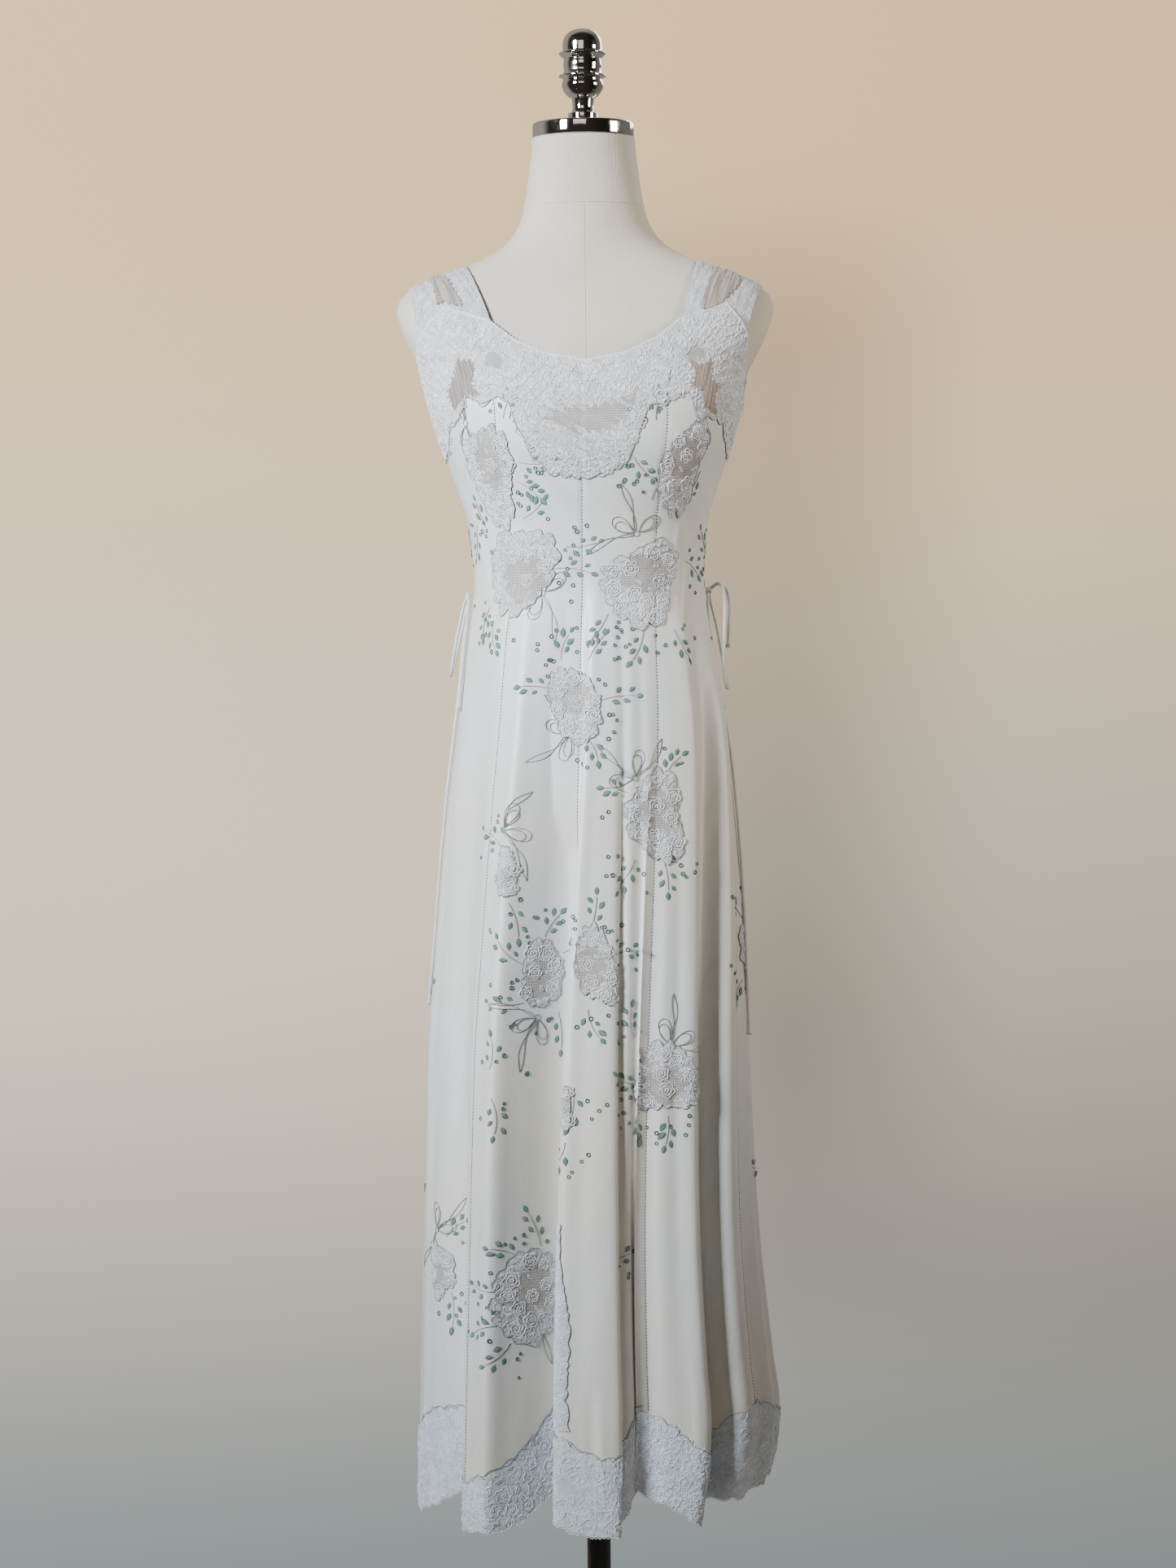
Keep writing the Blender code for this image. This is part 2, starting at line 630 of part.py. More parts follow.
def panel_grids(stations, heights):
    """Outer and inner grids of a panel from its rows' heights, drawn in by half a seam gap at its sides."""
    station_grid = np.broadcast_to(stations, heights.shape)
    outer = dress_points(station_grid, heights)
    along, outward = dress_directions(station_grid, heights)
    outer[:, 0] += along[:, 0] * SEAM_GAP / 2
    outer[:, -1] -= along[:, -1] * SEAM_GAP / 2
    return outer, outer - outward * WALL


def bust_angle(stations):
    return ring_steady("bust", stations, 360.0)


def make_gores(collection):
    """Eight satin gores from the yoke's lower edge to the top of the hem lace, with no seam at the waist."""
    for panel in GORES:
        stations = column_stations(panel.first, panel.last)
        top = edge_height(YOKE_EDGE, bust_angle(stations))
        rows = gore_rows(top, ring_steady("lace_height", stations))
        outer, inner = panel_grids(stations, rows)
        add_object(panel.name, wall_mesh(panel.name, outer, inner), "satin", collection)


def make_hem_lace(collection):
    """The lace border below the gores, in four lengths."""
    for panel in HEM_LACES:
        stations = column_stations(panel.first, panel.last)
        top = ring_steady("lace_height", stations)
        rows = shared_rows(top, ring_steady("hem_height", stations), HEM_ROWS)
        outer, inner = panel_grids(stations, rows)
        add_object(panel.name, wall_mesh(panel.name, outer, inner), "lace", collection)


def make_lace_strip(collection):
    """The narrow lace strip that climbs the centre fold's edge, on top of the gore."""
    stations = np.array(STRIP_STATIONS)
    shares = np.linspace(0.0, 1.0, STRIP_ROWS + 1)
    top, bottom = np.full(len(stations), STRIP_TOP), np.full(len(stations), STRIP_BOTTOM)
    outer, inner = panel_grids(stations, shared_rows(top, bottom, shares))
    lift = (outer - inner) / WALL * STRIP_LIFT
    mesh = wall_mesh("lace_strip_centre", outer + lift, inner + lift)
    add_object("lace_strip_centre", mesh, "lace", collection)


def insert_cells(shape, insert, first_column):
    """Marks the cells of a grid that a net insert fills."""
    cells = np.zeros((shape[0] - 1, shape[1] - 1), bool)
    columns = slice(first_column + insert.first_column, first_column + insert.last_column)
    cells[insert.first_row : insert.last_row, columns] = True
    return cells


def make_yokes(collection):
    """The lace yoke, front and back, with a net insert on each side of the bust."""
    for panel in YOKES:
        stations = column_stations(panel.first, panel.last)
        angle = bust_angle(stations)
        top, bottom = edge_height(TOP_EDGE, angle), edge_height(YOKE_EDGE, angle)
        outer, inner = panel_grids(stations, shared_rows(top, bottom, YOKE_ROWS))
        keep = np.ones((outer.shape[0] - 1, outer.shape[1] - 1), bool)
        for net in BUST_NETS if panel.name.endswith("front") else ():
            start = int(np.argmin(np.abs(stations - FOLD_NAMES.index(net.fold))))
            cells = insert_cells(outer.shape, net, start)
            keep &= ~cells
            mesh = wall_mesh(net.name, outer, inner, cells, SEAM_GAP)
            add_object(net.name, mesh, "net", collection)
        add_object(panel.name, wall_mesh(panel.name, outer, inner, keep), "lace", collection)


def strap_columns(first, last):
    """Stations of a strap's columns along a top edge, inner edge first."""
    low, high = min(first, last), max(first, last)
    every = column_stations("side_left", "side_left")
    chosen = every[(every > low - 0.01) & (every < high + 0.01)]
    return chosen if last > first else chosen[::-1]


def strap_grid(strap):
    """Outer grid of a strap: a column for each wall column of the yoke that it is sewn to."""
    front_stations = strap_columns(strap.front_inner, strap.front_outer)
    back_stations = strap_columns(strap.back_inner, strap.back_outer)
    core_y, core_z = SHOULDER_CORE
    grid = np.zeros((STRAP_ROWS + 1, len(front_stations), 3))
    for column, (front_station, back_station) in enumerate(zip(front_stations, back_stations)):
        share = column / (len(front_stations) - 1)
        crest = strap.crest_inner + (strap.crest_outer - strap.crest_inner) * share
        ends = []
        for station in (front_station, back_station):
            height = edge_height(TOP_EDGE, bust_angle(np.array([station])))[0]
            point = dress_points(station, height + SEAM_GAP / 2)
            tilt = math.atan2(point[2] - core_z, core_y - point[1])
            tilt += 2 * math.pi if tilt < -math.pi / 2 else 0.0
            distance = math.hypot(point[2] - core_z, core_y - point[1])
            ends.append((point[0], tilt, distance - form_reach(point[0], tilt)))
        for row in range(STRAP_ROWS + 1):
            along = row / STRAP_ROWS
            end_x, _, end_lift = ends[0] if along < 0.5 else ends[1]
            rise = math.sin(math.pi * along)
            tilt = ends[0][1] + (ends[1][1] - ends[0][1]) * along
            x = end_x + (crest - end_x) * rise
            lift = end_lift + (STRAP_LIFT - end_lift) * math.sqrt(rise)
            distance = form_reach(x, tilt) + lift
            grid[row, column] = x, core_y - distance * math.cos(tilt), core_z + distance * math.sin(tilt)
    return grid


def grid_normals(grid):
    """Unit normals of a grid's surface, by differences between neighbours."""
    down = np.gradient(grid, axis=0)
    across = np.gradient(grid, axis=1)
    normal = np.cross(across, down)
    return normal / np.linalg.norm(normal, axis=-1, keepdims=True)


def make_straps(collection):
    """The two shoulder straps of gathered lace, each with a net insert in front."""
    for strap in STRAPS:
        outer = strap_grid(strap)
        normal = grid_normals(outer)
        if normal[STRAP_ROWS // 2, 0, 2] < 0:
            normal = -normal
        inner = outer - normal * WALL
        net = STRAP_NETS[strap.name]
        cells = insert_cells(outer.shape, net, 0)
        add_object(net.name, wall_mesh(net.name, outer, inner, cells, SEAM_GAP), "net", collection)
        add_object(strap.name, wall_mesh(strap.name, outer, inner, ~cells), "lace", collection)


# The form and its stand


def make_form(collection):
    """The torso with its neck and shoulder stubs, lofted through level sections and flat at both ends."""
    builder = bmesh.new()
    rings = []
    for row in FORM_SECTIONS:
        angle = np.arange(FORM_COLUMNS) * 2 * math.pi / FORM_COLUMNS
        reach = (row.half_width, row.half_width, row.front, row.back)
        across, outward, _ = section_points(angle, *reach, row.squareness)
        rings.append([builder.verts.new((x, y, row.height)) for x, y in zip(across, outward)])
    for lower, upper in zip(rings, rings[1:]):
        for one in range(FORM_COLUMNS):
            two = (one + 1) % FORM_COLUMNS
            builder.faces.new((lower[one], lower[two], upper[two]))
            builder.faces.new((lower[one], upper[two], upper[one]))
    builder.faces.new(rings[0][::-1])
    builder.faces.new(rings[-1])
    bmesh.ops.recalc_face_normals(builder, faces=builder.faces)
    mesh = bpy.data.meshes.new("form_torso")
    builder.to_mesh(mesh)
    builder.free()
    add_object("form_torso", mesh, "linen", collection)


def make_turned(name, profile, foot, steps, finish_name, collection):
    """A solid turned from a profile that runs down its outer side, standing with its foot at a height."""
    mesh = bpy.data.meshes.new(name)
    vertices = [(turn.radius, 0.0, turn.height) for turn in profile]
    mesh.from_pydata(vertices, [(i, i + 1) for i in range(len(vertices) - 1)], [])
    thing = add_object(name, mesh, finish_name, collection)
    thing.location.z = foot
    screw = thing.modifiers.new("Turn", "SCREW")
    screw.steps = steps
    screw.render_steps = steps
    screw.use_merge_vertices = True
    screw.merge_threshold = 0.0001
    return thing


def make_pole(collection):
    """The steel pole from the base to the underside of the form."""
    foot = BASE_THICKNESS + PART_GAP
    top = FORM_SECTIONS[0].height - PART_GAP
    builder = bmesh.new()
    middle = Matrix.Translation((0.0, 0.0, (foot + top) / 2))
    bmesh.ops.create_cone(
        builder,
        cap_ends=True,
        segments=POLE_SIDES,
        radius1=POLE_RADIUS,
        radius2=POLE_RADIUS,
        depth=top - foot,
        matrix=middle,
    )
    mesh = bpy.data.meshes.new("stand_pole")
    builder.to_mesh(mesh)
    builder.free()
    add_object("stand_pole", mesh, "black_steel", collection)


# Side ties


def lay_point(lay):
    """A point of a tie's middle line, off the outer face of the cloth."""
    point = dress_points(lay.station, lay.height)
    _, outward = dress_directions(np.float64(lay.station), np.float64(lay.height))
    return point + outward * lay.lift


def smooth_route(points, count):
    """Evenly spaced points of a smooth curve through a route."""
    points = np.array(points)
    steps = np.linalg.norm(np.diff(points, axis=0), axis=1)
    travelled = np.concatenate([[0.0], np.cumsum(np.sqrt(steps))])
    tangents = np.gradient(points, travelled, axis=0)
    fine = []
    for row in range(len(points) - 1):
        span = travelled[row + 1] - travelled[row]
        for t in np.linspace(0.0, 1.0, 24, endpoint=row == len(points) - 2):
            start = points[row] * (1 + 2 * t) * (1 - t) ** 2 + tangents[row] * span * t * (1 - t) ** 2
            end = points[row + 1] * t * t * (3 - 2 * t) + tangents[row + 1] * span * t * t * (t - 1)
            fine.append(start + end)
    fine = np.array(fine)
    length = np.concatenate([[0.0], np.cumsum(np.linalg.norm(np.diff(fine, axis=0), axis=1))])
    places = np.linspace(0.0, length[-1], count)
    return np.stack([np.interp(places, length, fine[:, axis]) for axis in range(3)], axis=1)


def tie_route(tie):
    """Points of a tie's middle line, from the face of its knot on, and back to it where it is a loop."""
    points = [lay_point(lay) for lay in tie.lays]
    knot = lay_point(KNOTS[tie.knot])
    reach = KNOT_RADIUS + PART_GAP
    leads = []
    for near in (points[0], points[-1]):
        way = (near - knot) / np.linalg.norm(near - knot)
        leads.append((knot + way * reach, knot + way * (reach + TIE_LEAD)))
    points.insert(0, leads[0][1])
    if not tie.is_loop:
        return np.vstack([leads[0][0], smooth_route(points, TIE_POINTS - 1)])
    points.append(leads[1][1])
    return np.vstack([leads[0][0], smooth_route(points, TIE_POINTS - 2), leads[1][0]])


def make_ties(collection):
    """The spaghetti ties: on each side a knot, a hanging loop, a long tail and a short one."""
    for tie in TIES:
        name, points = tie.name, tie_route(tie)
        curve = bpy.data.curves.new(name, "CURVE")
        curve.dimensions = "3D"
        curve.bevel_depth = TIE_RADIUS
        curve.bevel_resolution = 2
        curve.use_fill_caps = True
        spline = curve.splines.new("POLY")
        spline.points.add(len(points) - 1)
        for slot, point in zip(spline.points, points):
            slot.co = (*point, 1.0)
        add_object(name, curve, "tie_satin", collection)
    for name, lay in KNOTS.items():
        builder = bmesh.new()
        place = Matrix.Translation(lay_point(lay))
        bmesh.ops.create_uvsphere(builder, u_segments=12, v_segments=8, radius=KNOT_RADIUS, matrix=place)
        mesh = bpy.data.meshes.new(name)
        builder.to_mesh(mesh)
        builder.free()
        add_object(name, mesh, "tie_satin", collection)


def main():
    clear_scene()
    collection = make_collection()
    make_form(collection)
    make_turned("neck_cap", CAP_PROFILE, CAP_BOTTOM + PART_GAP, 32, "chrome", collection)
    finial_foot = CAP_BOTTOM + CAP_THICKNESS + 2 * PART_GAP
    make_turned("finial", FINIAL_PROFILE, finial_foot, 20, "chrome", collection)
    make_pole(collection)
    make_turned("stand_base", BASE_PROFILE, 0.0, 40, "black_steel", collection)
    make_gores(collection)
    make_hem_lace(collection)
    make_lace_strip(collection)
    make_yokes(collection)
    make_straps(collection)
    make_ties(collection)


main()
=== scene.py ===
"""The looks of a slip dress on a limbless dress form, laid out as a Blender add-on and run as a script.

Every cloth piece is a thin shell cut from one surface, cloth_points(station, height, lift). A station is a
place round the dress, counted in rows of the FOLDS table. Designs are drawn flat, in metres across and up,
and laid on the cloth by spread_on_cloth. Lengths are metres, +Z is up and the dress faces -Y.
"""

import math
from collections import namedtuple

import bpy
import numpy as np
from bpy.props import FloatProperty, FloatVectorProperty, PointerProperty
from mathutils import Matrix, Vector


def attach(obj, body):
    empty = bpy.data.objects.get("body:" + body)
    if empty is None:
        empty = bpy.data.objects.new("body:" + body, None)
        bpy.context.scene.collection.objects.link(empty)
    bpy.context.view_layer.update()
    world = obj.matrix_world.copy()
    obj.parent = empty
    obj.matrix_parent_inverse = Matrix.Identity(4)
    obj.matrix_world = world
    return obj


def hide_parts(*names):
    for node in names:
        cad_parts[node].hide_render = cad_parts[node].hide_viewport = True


bl_info = {
    "name": "Slip dress on a dress form",
    "version": (1, 0, 0),
    "blender": (4, 5, 0),
    "location": "View3D > Sidebar > Slip dress",
    "description": "Builds a lace-trimmed satin slip dress, its side ties and its dress form",
    "category": "Object",
}

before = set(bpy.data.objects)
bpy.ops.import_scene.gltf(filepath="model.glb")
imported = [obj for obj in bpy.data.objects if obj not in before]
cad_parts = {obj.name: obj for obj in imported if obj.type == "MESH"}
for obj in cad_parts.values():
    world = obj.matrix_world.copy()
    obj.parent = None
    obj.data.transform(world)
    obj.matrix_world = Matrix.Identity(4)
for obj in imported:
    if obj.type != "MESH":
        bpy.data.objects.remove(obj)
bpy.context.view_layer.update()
BODY = "root"

# Heights and eases of the dress, and how its layers lie
BODICE_EASE = 0.0056
BUST_HEIGHT = 1.370
WAIST_HEIGHT = 1.190
HEM_HEIGHT = 0.213
SATIN_THICKNESS = 0.0004
LACE_THICKNESS = 0.0005
LACE_LIFT = 0.0007  # lace above satin
LACE_OVERLAP = 0.006  # how far satin runs on under the lace's edge
STRAP_LIFT = 0.0024
SHOULDER_CORE = (0.0, 1.462)  # y and z of a line inside both shoulders
CLOTH_GAP = 0.0042  # least distance from the form to the satin's outer face
NECK_SEAM = 1.585  # height of the form's seam round the foot of its neck
SEAM_FOOT = 1.300  # how far the form's middle seams run down


def table(kind, *rows):
    """Rows of one kind."""
    return [kind(*row) for row in rows]


# The form's level sections
Section = namedtuple("Section", "height half_width front back squareness")
FORM_SECTIONS = table(
    Section,
    (0.900, 0.1280, 0.1000, 0.1080, 2.0), (0.960, 0.1330, 0.1070, 0.1170, 2.0),
    (1.030, 0.1285, 0.1060, 0.1140, 2.1), (1.120, 0.1195, 0.0970, 0.0890, 2.2),
    (1.190, 0.1145, 0.0910, 0.0780, 2.2), (1.245, 0.1195, 0.0960, 0.0810, 2.2),
    (1.290, 0.1320, 0.1075, 0.0880, 2.3), (1.340, 0.1495, 0.1180, 0.0940, 2.45),
    (1.372, 0.1590, 0.1170, 0.0960, 2.5), (1.405, 0.1690, 0.1090, 0.0950, 2.4),
    (1.437, 0.1850, 0.0980, 0.0910, 2.3), (1.458, 0.1940, 0.0880, 0.0860, 2.2),
    (1.475, 0.1985, 0.0800, 0.0820, 2.1), (1.488, 0.1950, 0.0740, 0.0780, 2.1),
    (1.501, 0.1800, 0.0680, 0.0740, 2.0), (1.511, 0.1560, 0.0640, 0.0710, 2.0),
    (1.520, 0.1310, 0.0610, 0.0690, 2.0), (1.530, 0.1080, 0.0590, 0.0670, 2.0),
    (1.541, 0.0890, 0.0575, 0.0655, 2.0), (1.555, 0.0750, 0.0560, 0.0635, 2.0),
    (1.575, 0.0655, 0.0545, 0.0610, 2.0), (1.615, 0.0585, 0.0535, 0.0565, 2.0),
    (1.656, 0.0545, 0.0545, 0.0545, 2.0),
)

# The skirt's level sections without its folds
SkirtSection = namedtuple("SkirtSection", "height left right front back")
SKIRT_SECTIONS = table(
    SkirtSection,
    (1.125, 0.1285, 0.1280, 0.1065, 0.0995), (1.037, 0.1380, 0.1430, 0.1175, 0.1270),
    (0.961, 0.1480, 0.1500, 0.1250, 0.1360), (0.822, 0.1610, 0.1560, 0.1350, 0.1440),
    (0.693, 0.1710, 0.1590, 0.1440, 0.1500), (0.529, 0.1750, 0.1650, 0.1530, 0.1560),
    (0.380, 0.1790, 0.1785, 0.1600, 0.1610), (0.325, 0.1805, 0.1850, 0.1630, 0.1630),
    (0.280, 0.1820, 0.1810, 0.1645, 0.1640), (0.245, 0.1830, 0.1710, 0.1655, 0.1645),
    (0.213, 0.1830, 0.1630, 0.1660, 0.1650),
)

# Ridges and valleys of the cloth, once round from the wearer's right side over the front. Angles are in
# degrees from the front centre at the bust, the waist and the hem, and swell is how far the fold stands out
# from the skirt's section at the hem.
Fold = namedtuple("Fold", "name bust waist hem swell hem_height lace_height")
FOLDS = table(
    Fold,
    ("side_left", -90, -90, -88, 0.005, 0.213, 0.292), ("panel_left", -76, -76, -70, 0.005, 0.226, 0.324),
    ("valley_left", -61, -59, -53, -0.015, 0.250, 0.334),
    ("princess_front_left", -33, -40, -45, 0.014, 0.214, 0.262),
    ("slope_left", -21, -22, -30, 0.006, 0.219, 0.284),
    ("centre_front", -1.5, -3, -9.5, -0.017, 0.262, 0.350), ("edge_centre", 5, 4, -13, 0.008, 0.228, 0.318),
    ("ridge_centre", 12, 12, 4.5, 0.017, 0.214, 0.292),
    ("shoulder_centre", 18, 19, 10, 0.009, 0.224, 0.306),
    ("valley_centre", 23.5, 27, 13.5, -0.017, 0.260, 0.340),
    ("princess_front_right", 29, 34.5, 17, -0.010, 0.252, 0.336),
    ("middle_right", 37, 43, 26, 0.006, 0.240, 0.315), ("ridge_right", 46, 52, 36, 0.015, 0.219, 0.290),
    ("valley_right", 56, 62, 43, -0.017, 0.238, 0.305), ("side_right", 90, 84, 57, 0.009, 0.243, 0.334),
    ("flank_right", 99, 95, 80, 0.008, 0.250, 0.318), ("back_valley_a", 108, 106, 97, -0.013, 0.250, 0.332),
    ("back_ridge_a", 118, 117, 112, 0.013, 0.222, 0.298),
    ("back_valley_b", 129, 129, 127, -0.014, 0.250, 0.335),
    ("princess_back_right", 142, 142, 143, 0.015, 0.218, 0.292),
    ("back_valley_c", 155, 155, 158, -0.012, 0.246, 0.327),
    ("back_ridge_c", 167, 167, 172, 0.013, 0.220, 0.300),
    ("centre_back", 180, 180, 186, -0.013, 0.247, 0.331),
    ("back_ridge_d", 193, 193, 200, 0.014, 0.220, 0.297),
    ("back_valley_d", 205, 205, 214, -0.013, 0.248, 0.330),
    ("princess_back_left", 218, 218, 228, 0.014, 0.219, 0.296),
    ("back_valley_e", 232, 231, 243, -0.012, 0.246, 0.326),
    ("back_ridge_e", 246, 245, 257, 0.009, 0.222, 0.301),
)
AROUND = len(FOLDS)

# Upper edge of the bodice and lower edge of its lace, as angle at the bust and height
Edge = namedtuple("Edge", "angle height")
TOP_EDGE = table(
    Edge,
    (-90, 1.373), (-74, 1.412), (-61, 1.440), (-49, 1.464), (-44.5, 1.476), (-29.5, 1.461), (-22, 1.4385),
    (-13, 1.424), (0, 1.4155), (13, 1.424), (22, 1.439), (29, 1.460), (45, 1.477), (56, 1.446),
    (61, 1.4185), (72, 1.380), (90, 1.368), (104, 1.386), (118, 1.440), (135, 1.468), (155, 1.452),
    (168, 1.414), (180, 1.402), (193, 1.414), (209.3, 1.452), (225, 1.468), (241.3, 1.440), (270, 1.373),
)
YOKE_EDGE = table(
    Edge,
    (-90, 1.318), (-76, 1.322), (-66, 1.328), (-58, 1.352), (-50, 1.358), (-43, 1.384), (-38, 1.372),
    (-33, 1.379), (-28, 1.378), (-25, 1.350), (-21.5, 1.319), (-15, 1.301), (-1.5, 1.296), (9, 1.300),
    (16, 1.313), (19.5, 1.342), (22, 1.371), (29, 1.372), (36, 1.384), (41, 1.360), (56, 1.352),
    (66, 1.328), (76, 1.321), (90, 1.318), (108, 1.330), (129, 1.348), (142, 1.336), (155, 1.344),
    (167, 1.318), (180, 1.304), (193, 1.318), (205, 1.344), (218, 1.336), (231, 1.348), (252, 1.330),
    (270, 1.318),
)

# Creases between the large folds: where one starts, how far it drifts round on its way down, where it fades
# out, how far it stands out of the cloth (or into it) and its half width in stations
Crease = namedtuple("Crease", "station drift top bottom depth width")
CREASES = table(
    Crease,
    # the deep sides of the large folds in front
    (3.62, 0.04, 1.22, -0.30, 0.0120, 0.25), (4.62, 0.04, 1.20, -0.30, -0.0280, 0.54),
    (4.98, 0.00, 1.24, -0.30, -0.0115, 0.32), (6.05, 0.04, 1.24, -0.30, 0.0040, 0.30),
    (6.75, 0.10, 1.19, 0.62, -0.0020, 0.42), (7.55, 0.55, 1.22, -0.30, -0.0140, 0.46),
    (9.30, 0.05, 1.22, -0.30, 0.0108, 0.50), (12.45, 0.05, 1.18, -0.30, -0.0060, 0.26),
    (13.00, 0.00, 1.18, -0.30, -0.0070, 0.22), (13.62, 0.04, 1.30, -0.30, 0.0155, 0.32),
    (14.14, 0.05, 1.00, -0.20, -0.0040, 0.15), (14.46, 0.04, 0.98, -0.20, 0.0034, 0.13),
    (14.76, 0.03, 0.90, -0.20, -0.0036, 0.12), (15.02, 0.03, 0.95, -0.20, 0.0030, 0.11),
    (15.28, 0.02, 0.86, -0.10, -0.0032, 0.11), (15.60, 0.00, 0.92, -0.10, 0.0026, 0.14),
    # softer ones between them
    (0.45, 0.10, 1.14, 0.10, 0.0020, 0.22), (0.95, -0.05, 1.02, 0.15, -0.0018, 0.18),
    (1.40, 0.12, 0.94, 0.00, 0.0022, 0.20), (2.55, 0.05, 1.05, 0.15, -0.0016, 0.16),
    (5.40, 0.04, 0.80, 0.10, -0.0012, 0.20), (6.35, 0.10, 1.08, 0.10, -0.0012, 0.18),
    (7.42, -0.04, 0.78, 0.20, 0.0014, 0.20), (9.55, -0.05, 0.98, 0.00, 0.0012, 0.20),
    (10.55, 0.08, 1.10, 0.20, 0.0016, 0.26), (11.15, 0.06, 1.02, 0.30, -0.0015, 0.22),
    (11.70, 0.05, 0.80, 0.05, 0.0014, 0.18), (16.40, 0.06, 1.10, 0.10, 0.0018, 0.16),
    (16.80, -0.04, 0.80, 0.00, -0.0018, 0.14), (17.35, 0.05, 1.08, 0.30, -0.0020, 0.18),
    (17.70, 0.03, 0.66, 0.00, 0.0018, 0.14), (18.40, 0.04, 1.00, 0.08, 0.0020, 0.20),
    (18.80, -0.05, 0.78, 0.12, -0.0022, 0.16), (19.36, 0.06, 1.12, 0.00, 0.0022, 0.20),
    (19.78, 0.03, 0.84, 0.24, -0.0022, 0.16), (20.38, -0.04, 1.06, 0.05, 0.0018, 0.18),
    (20.80, 0.05, 0.72, 0.00, -0.0020, 0.16), (21.35, 0.05, 1.10, 0.22, -0.0022, 0.20),
    (21.72, -0.03, 0.90, 0.00, 0.0022, 0.18), (22.45, 0.04, 0.82, 0.05, 0.0020, 0.20),
    (23.20, 0.05, 1.12, 0.18, -0.0022, 0.20), (23.66, 0.02, 0.76, 0.00, 0.0024, 0.16),
    (24.42, -0.05, 1.04, 0.00, 0.0018, 0.20), (24.84, 0.03, 0.70, 0.15, -0.0020, 0.16),
    (25.34, 0.06, 1.13, 0.05, 0.0022, 0.20), (25.78, -0.04, 0.88, 0.28, -0.0022, 0.16),
    (26.45, 0.04, 1.00, 0.00, 0.0018, 0.20), (26.86, 0.02, 0.74, 0.10, -0.0020, 0.16),
    (27.40, -0.05, 1.08, 0.00, 0.0020, 0.18),
    # puckers where the hem lace is sewn on
    (0.62, 0.04, 0.37, 0.25, 0.0014, 0.08), (1.30, 0.02, 0.39, 0.24, -0.0012, 0.07),
    (3.15, 0.03, 0.36, 0.20, -0.0014, 0.07), (3.32, 0.02, 0.35, 0.20, 0.0014, 0.06),
    (6.62, 0.02, 0.37, 0.24, -0.0016, 0.06), (6.78, 0.02, 0.36, 0.25, 0.0015, 0.06),
    (7.20, -0.02, 0.35, 0.24, -0.0012, 0.07), (11.50, 0.03, 0.40, 0.26, 0.0015, 0.08),
    (12.85, 0.02, 0.42, 0.26, -0.0014, 0.07), (19.20, 0.03, 0.36, 0.23, 0.0013, 0.07),
    (23.10, -0.02, 0.36, 0.23, 0.0014, 0.07),
    # pulls across the bodice, from the sides of the waist up to the bust
    (1.30, 1.10, 1.300, 1.165, 0.0008, 0.20), (1.75, 1.00, 1.275, 1.130, -0.0007, 0.18),
    (11.90, -0.90, 1.295, 1.150, 0.0008, 0.20), (12.60, -1.00, 1.270, 1.135, -0.0007, 0.18),
    (18.20, -0.80, 1.290, 1.150, 0.0007, 0.20), (26.40, 0.80, 1.290, 1.150, 0.0007, 0.20),
)
SEAM_DIP = 0.0007
SEAM_WIDTH = 0.055  # half width of a seam's dip, in stations

# Gores, hem laces and yokes, each from one seam to the next
Panel = namedtuple("Panel", "name first last")
GORES = table(
    Panel,
    ("gore_front_side_left", 0, 3), ("gore_front_centre_left", 3, 5), ("gore_front_centre_right", 5, 10),
    ("gore_front_side_right", 10, 14), ("gore_back_side_right", 14, 19), ("gore_back_centre_right", 19, 22),
    ("gore_back_centre_left", 22, 25), ("gore_back_side_left", 25, 28),
)
SEAMS = [panel.first for panel in GORES]
HEM_LACES = table(
    Panel,
    ("hem_lace_front_left", 0, 5), ("hem_lace_front_right", 5, 14), ("hem_lace_back_right", 14, 22),
    ("hem_lace_back_left", 22, 28),
)
YOKES = [
    Panel("lace_yoke_front", 0, 14),
    Panel("lace_yoke_back", 14, 28),
]


# Curves through tables


def even_slope(one, two):
    """A slope between those of two neighbouring spans that keeps a curve from overshooting."""
    product = one * two
    return np.where(product > 0, 2.0 * product / np.where(product > 0, one + two, 1.0), 0.0)


def eased(start, end, leaving, arriving, t):
    """A cubic from start to end with its slopes at both, over t from 0 to 1."""
    first = start * (1 + 2 * t) * (1 - t) ** 2 + leaving * t * (1 - t) ** 2
    return first + (end * t * t * (3 - 2 * t) + arriving * t * t * (t - 1))


def rounded(a, b, c, d, t):
    """A rounded curve from b to c, between the neighbours a and d."""
    return 0.5 * (2 * b + (c - a) * t + (2 * a - 5 * b + 4 * c - d) * t**2 + (3 * b - a - 3 * c + d) * t**3)


def smooth_value(knots, values, at):
    """A smooth curve through the rows of a table that never overshoots them."""
    knots = np.asarray(knots, float)
    values = np.asarray(values, float)
    at = np.clip(at, knots[0], knots[-1])
    step = np.diff(knots)
    rise = np.diff(values) / step
    slope = np.zeros_like(values)
    slope[1:-1] = even_slope(rise[1:], rise[:-1])
    row = np.clip(np.searchsorted(knots, at, side="right") - 1, 0, len(step) - 1)
    t = (at - knots[row]) / step[row]
    return eased(values[row], values[row + 1], slope[row] * step[row], slope[row + 1] * step[row], t)


def ring_rows(column, station, around):
    """The four rows of FOLDS about each station, going on past the table's end."""
    values = np.array([getattr(fold, column) for fold in FOLDS], float)
    first = np.floor(station).astype(int)
    rows = [values[(first + k) % AROUND] + around * ((first + k) // AROUND) for k in (-1, 0, 1, 2)]
    return rows, station - first


def ring_curve(column, station, around=0.0):
    """A column of FOLDS as a rounded closed curve through its rows."""
    rows, t = ring_rows(column, station, around)
    return rounded(*rows, t)


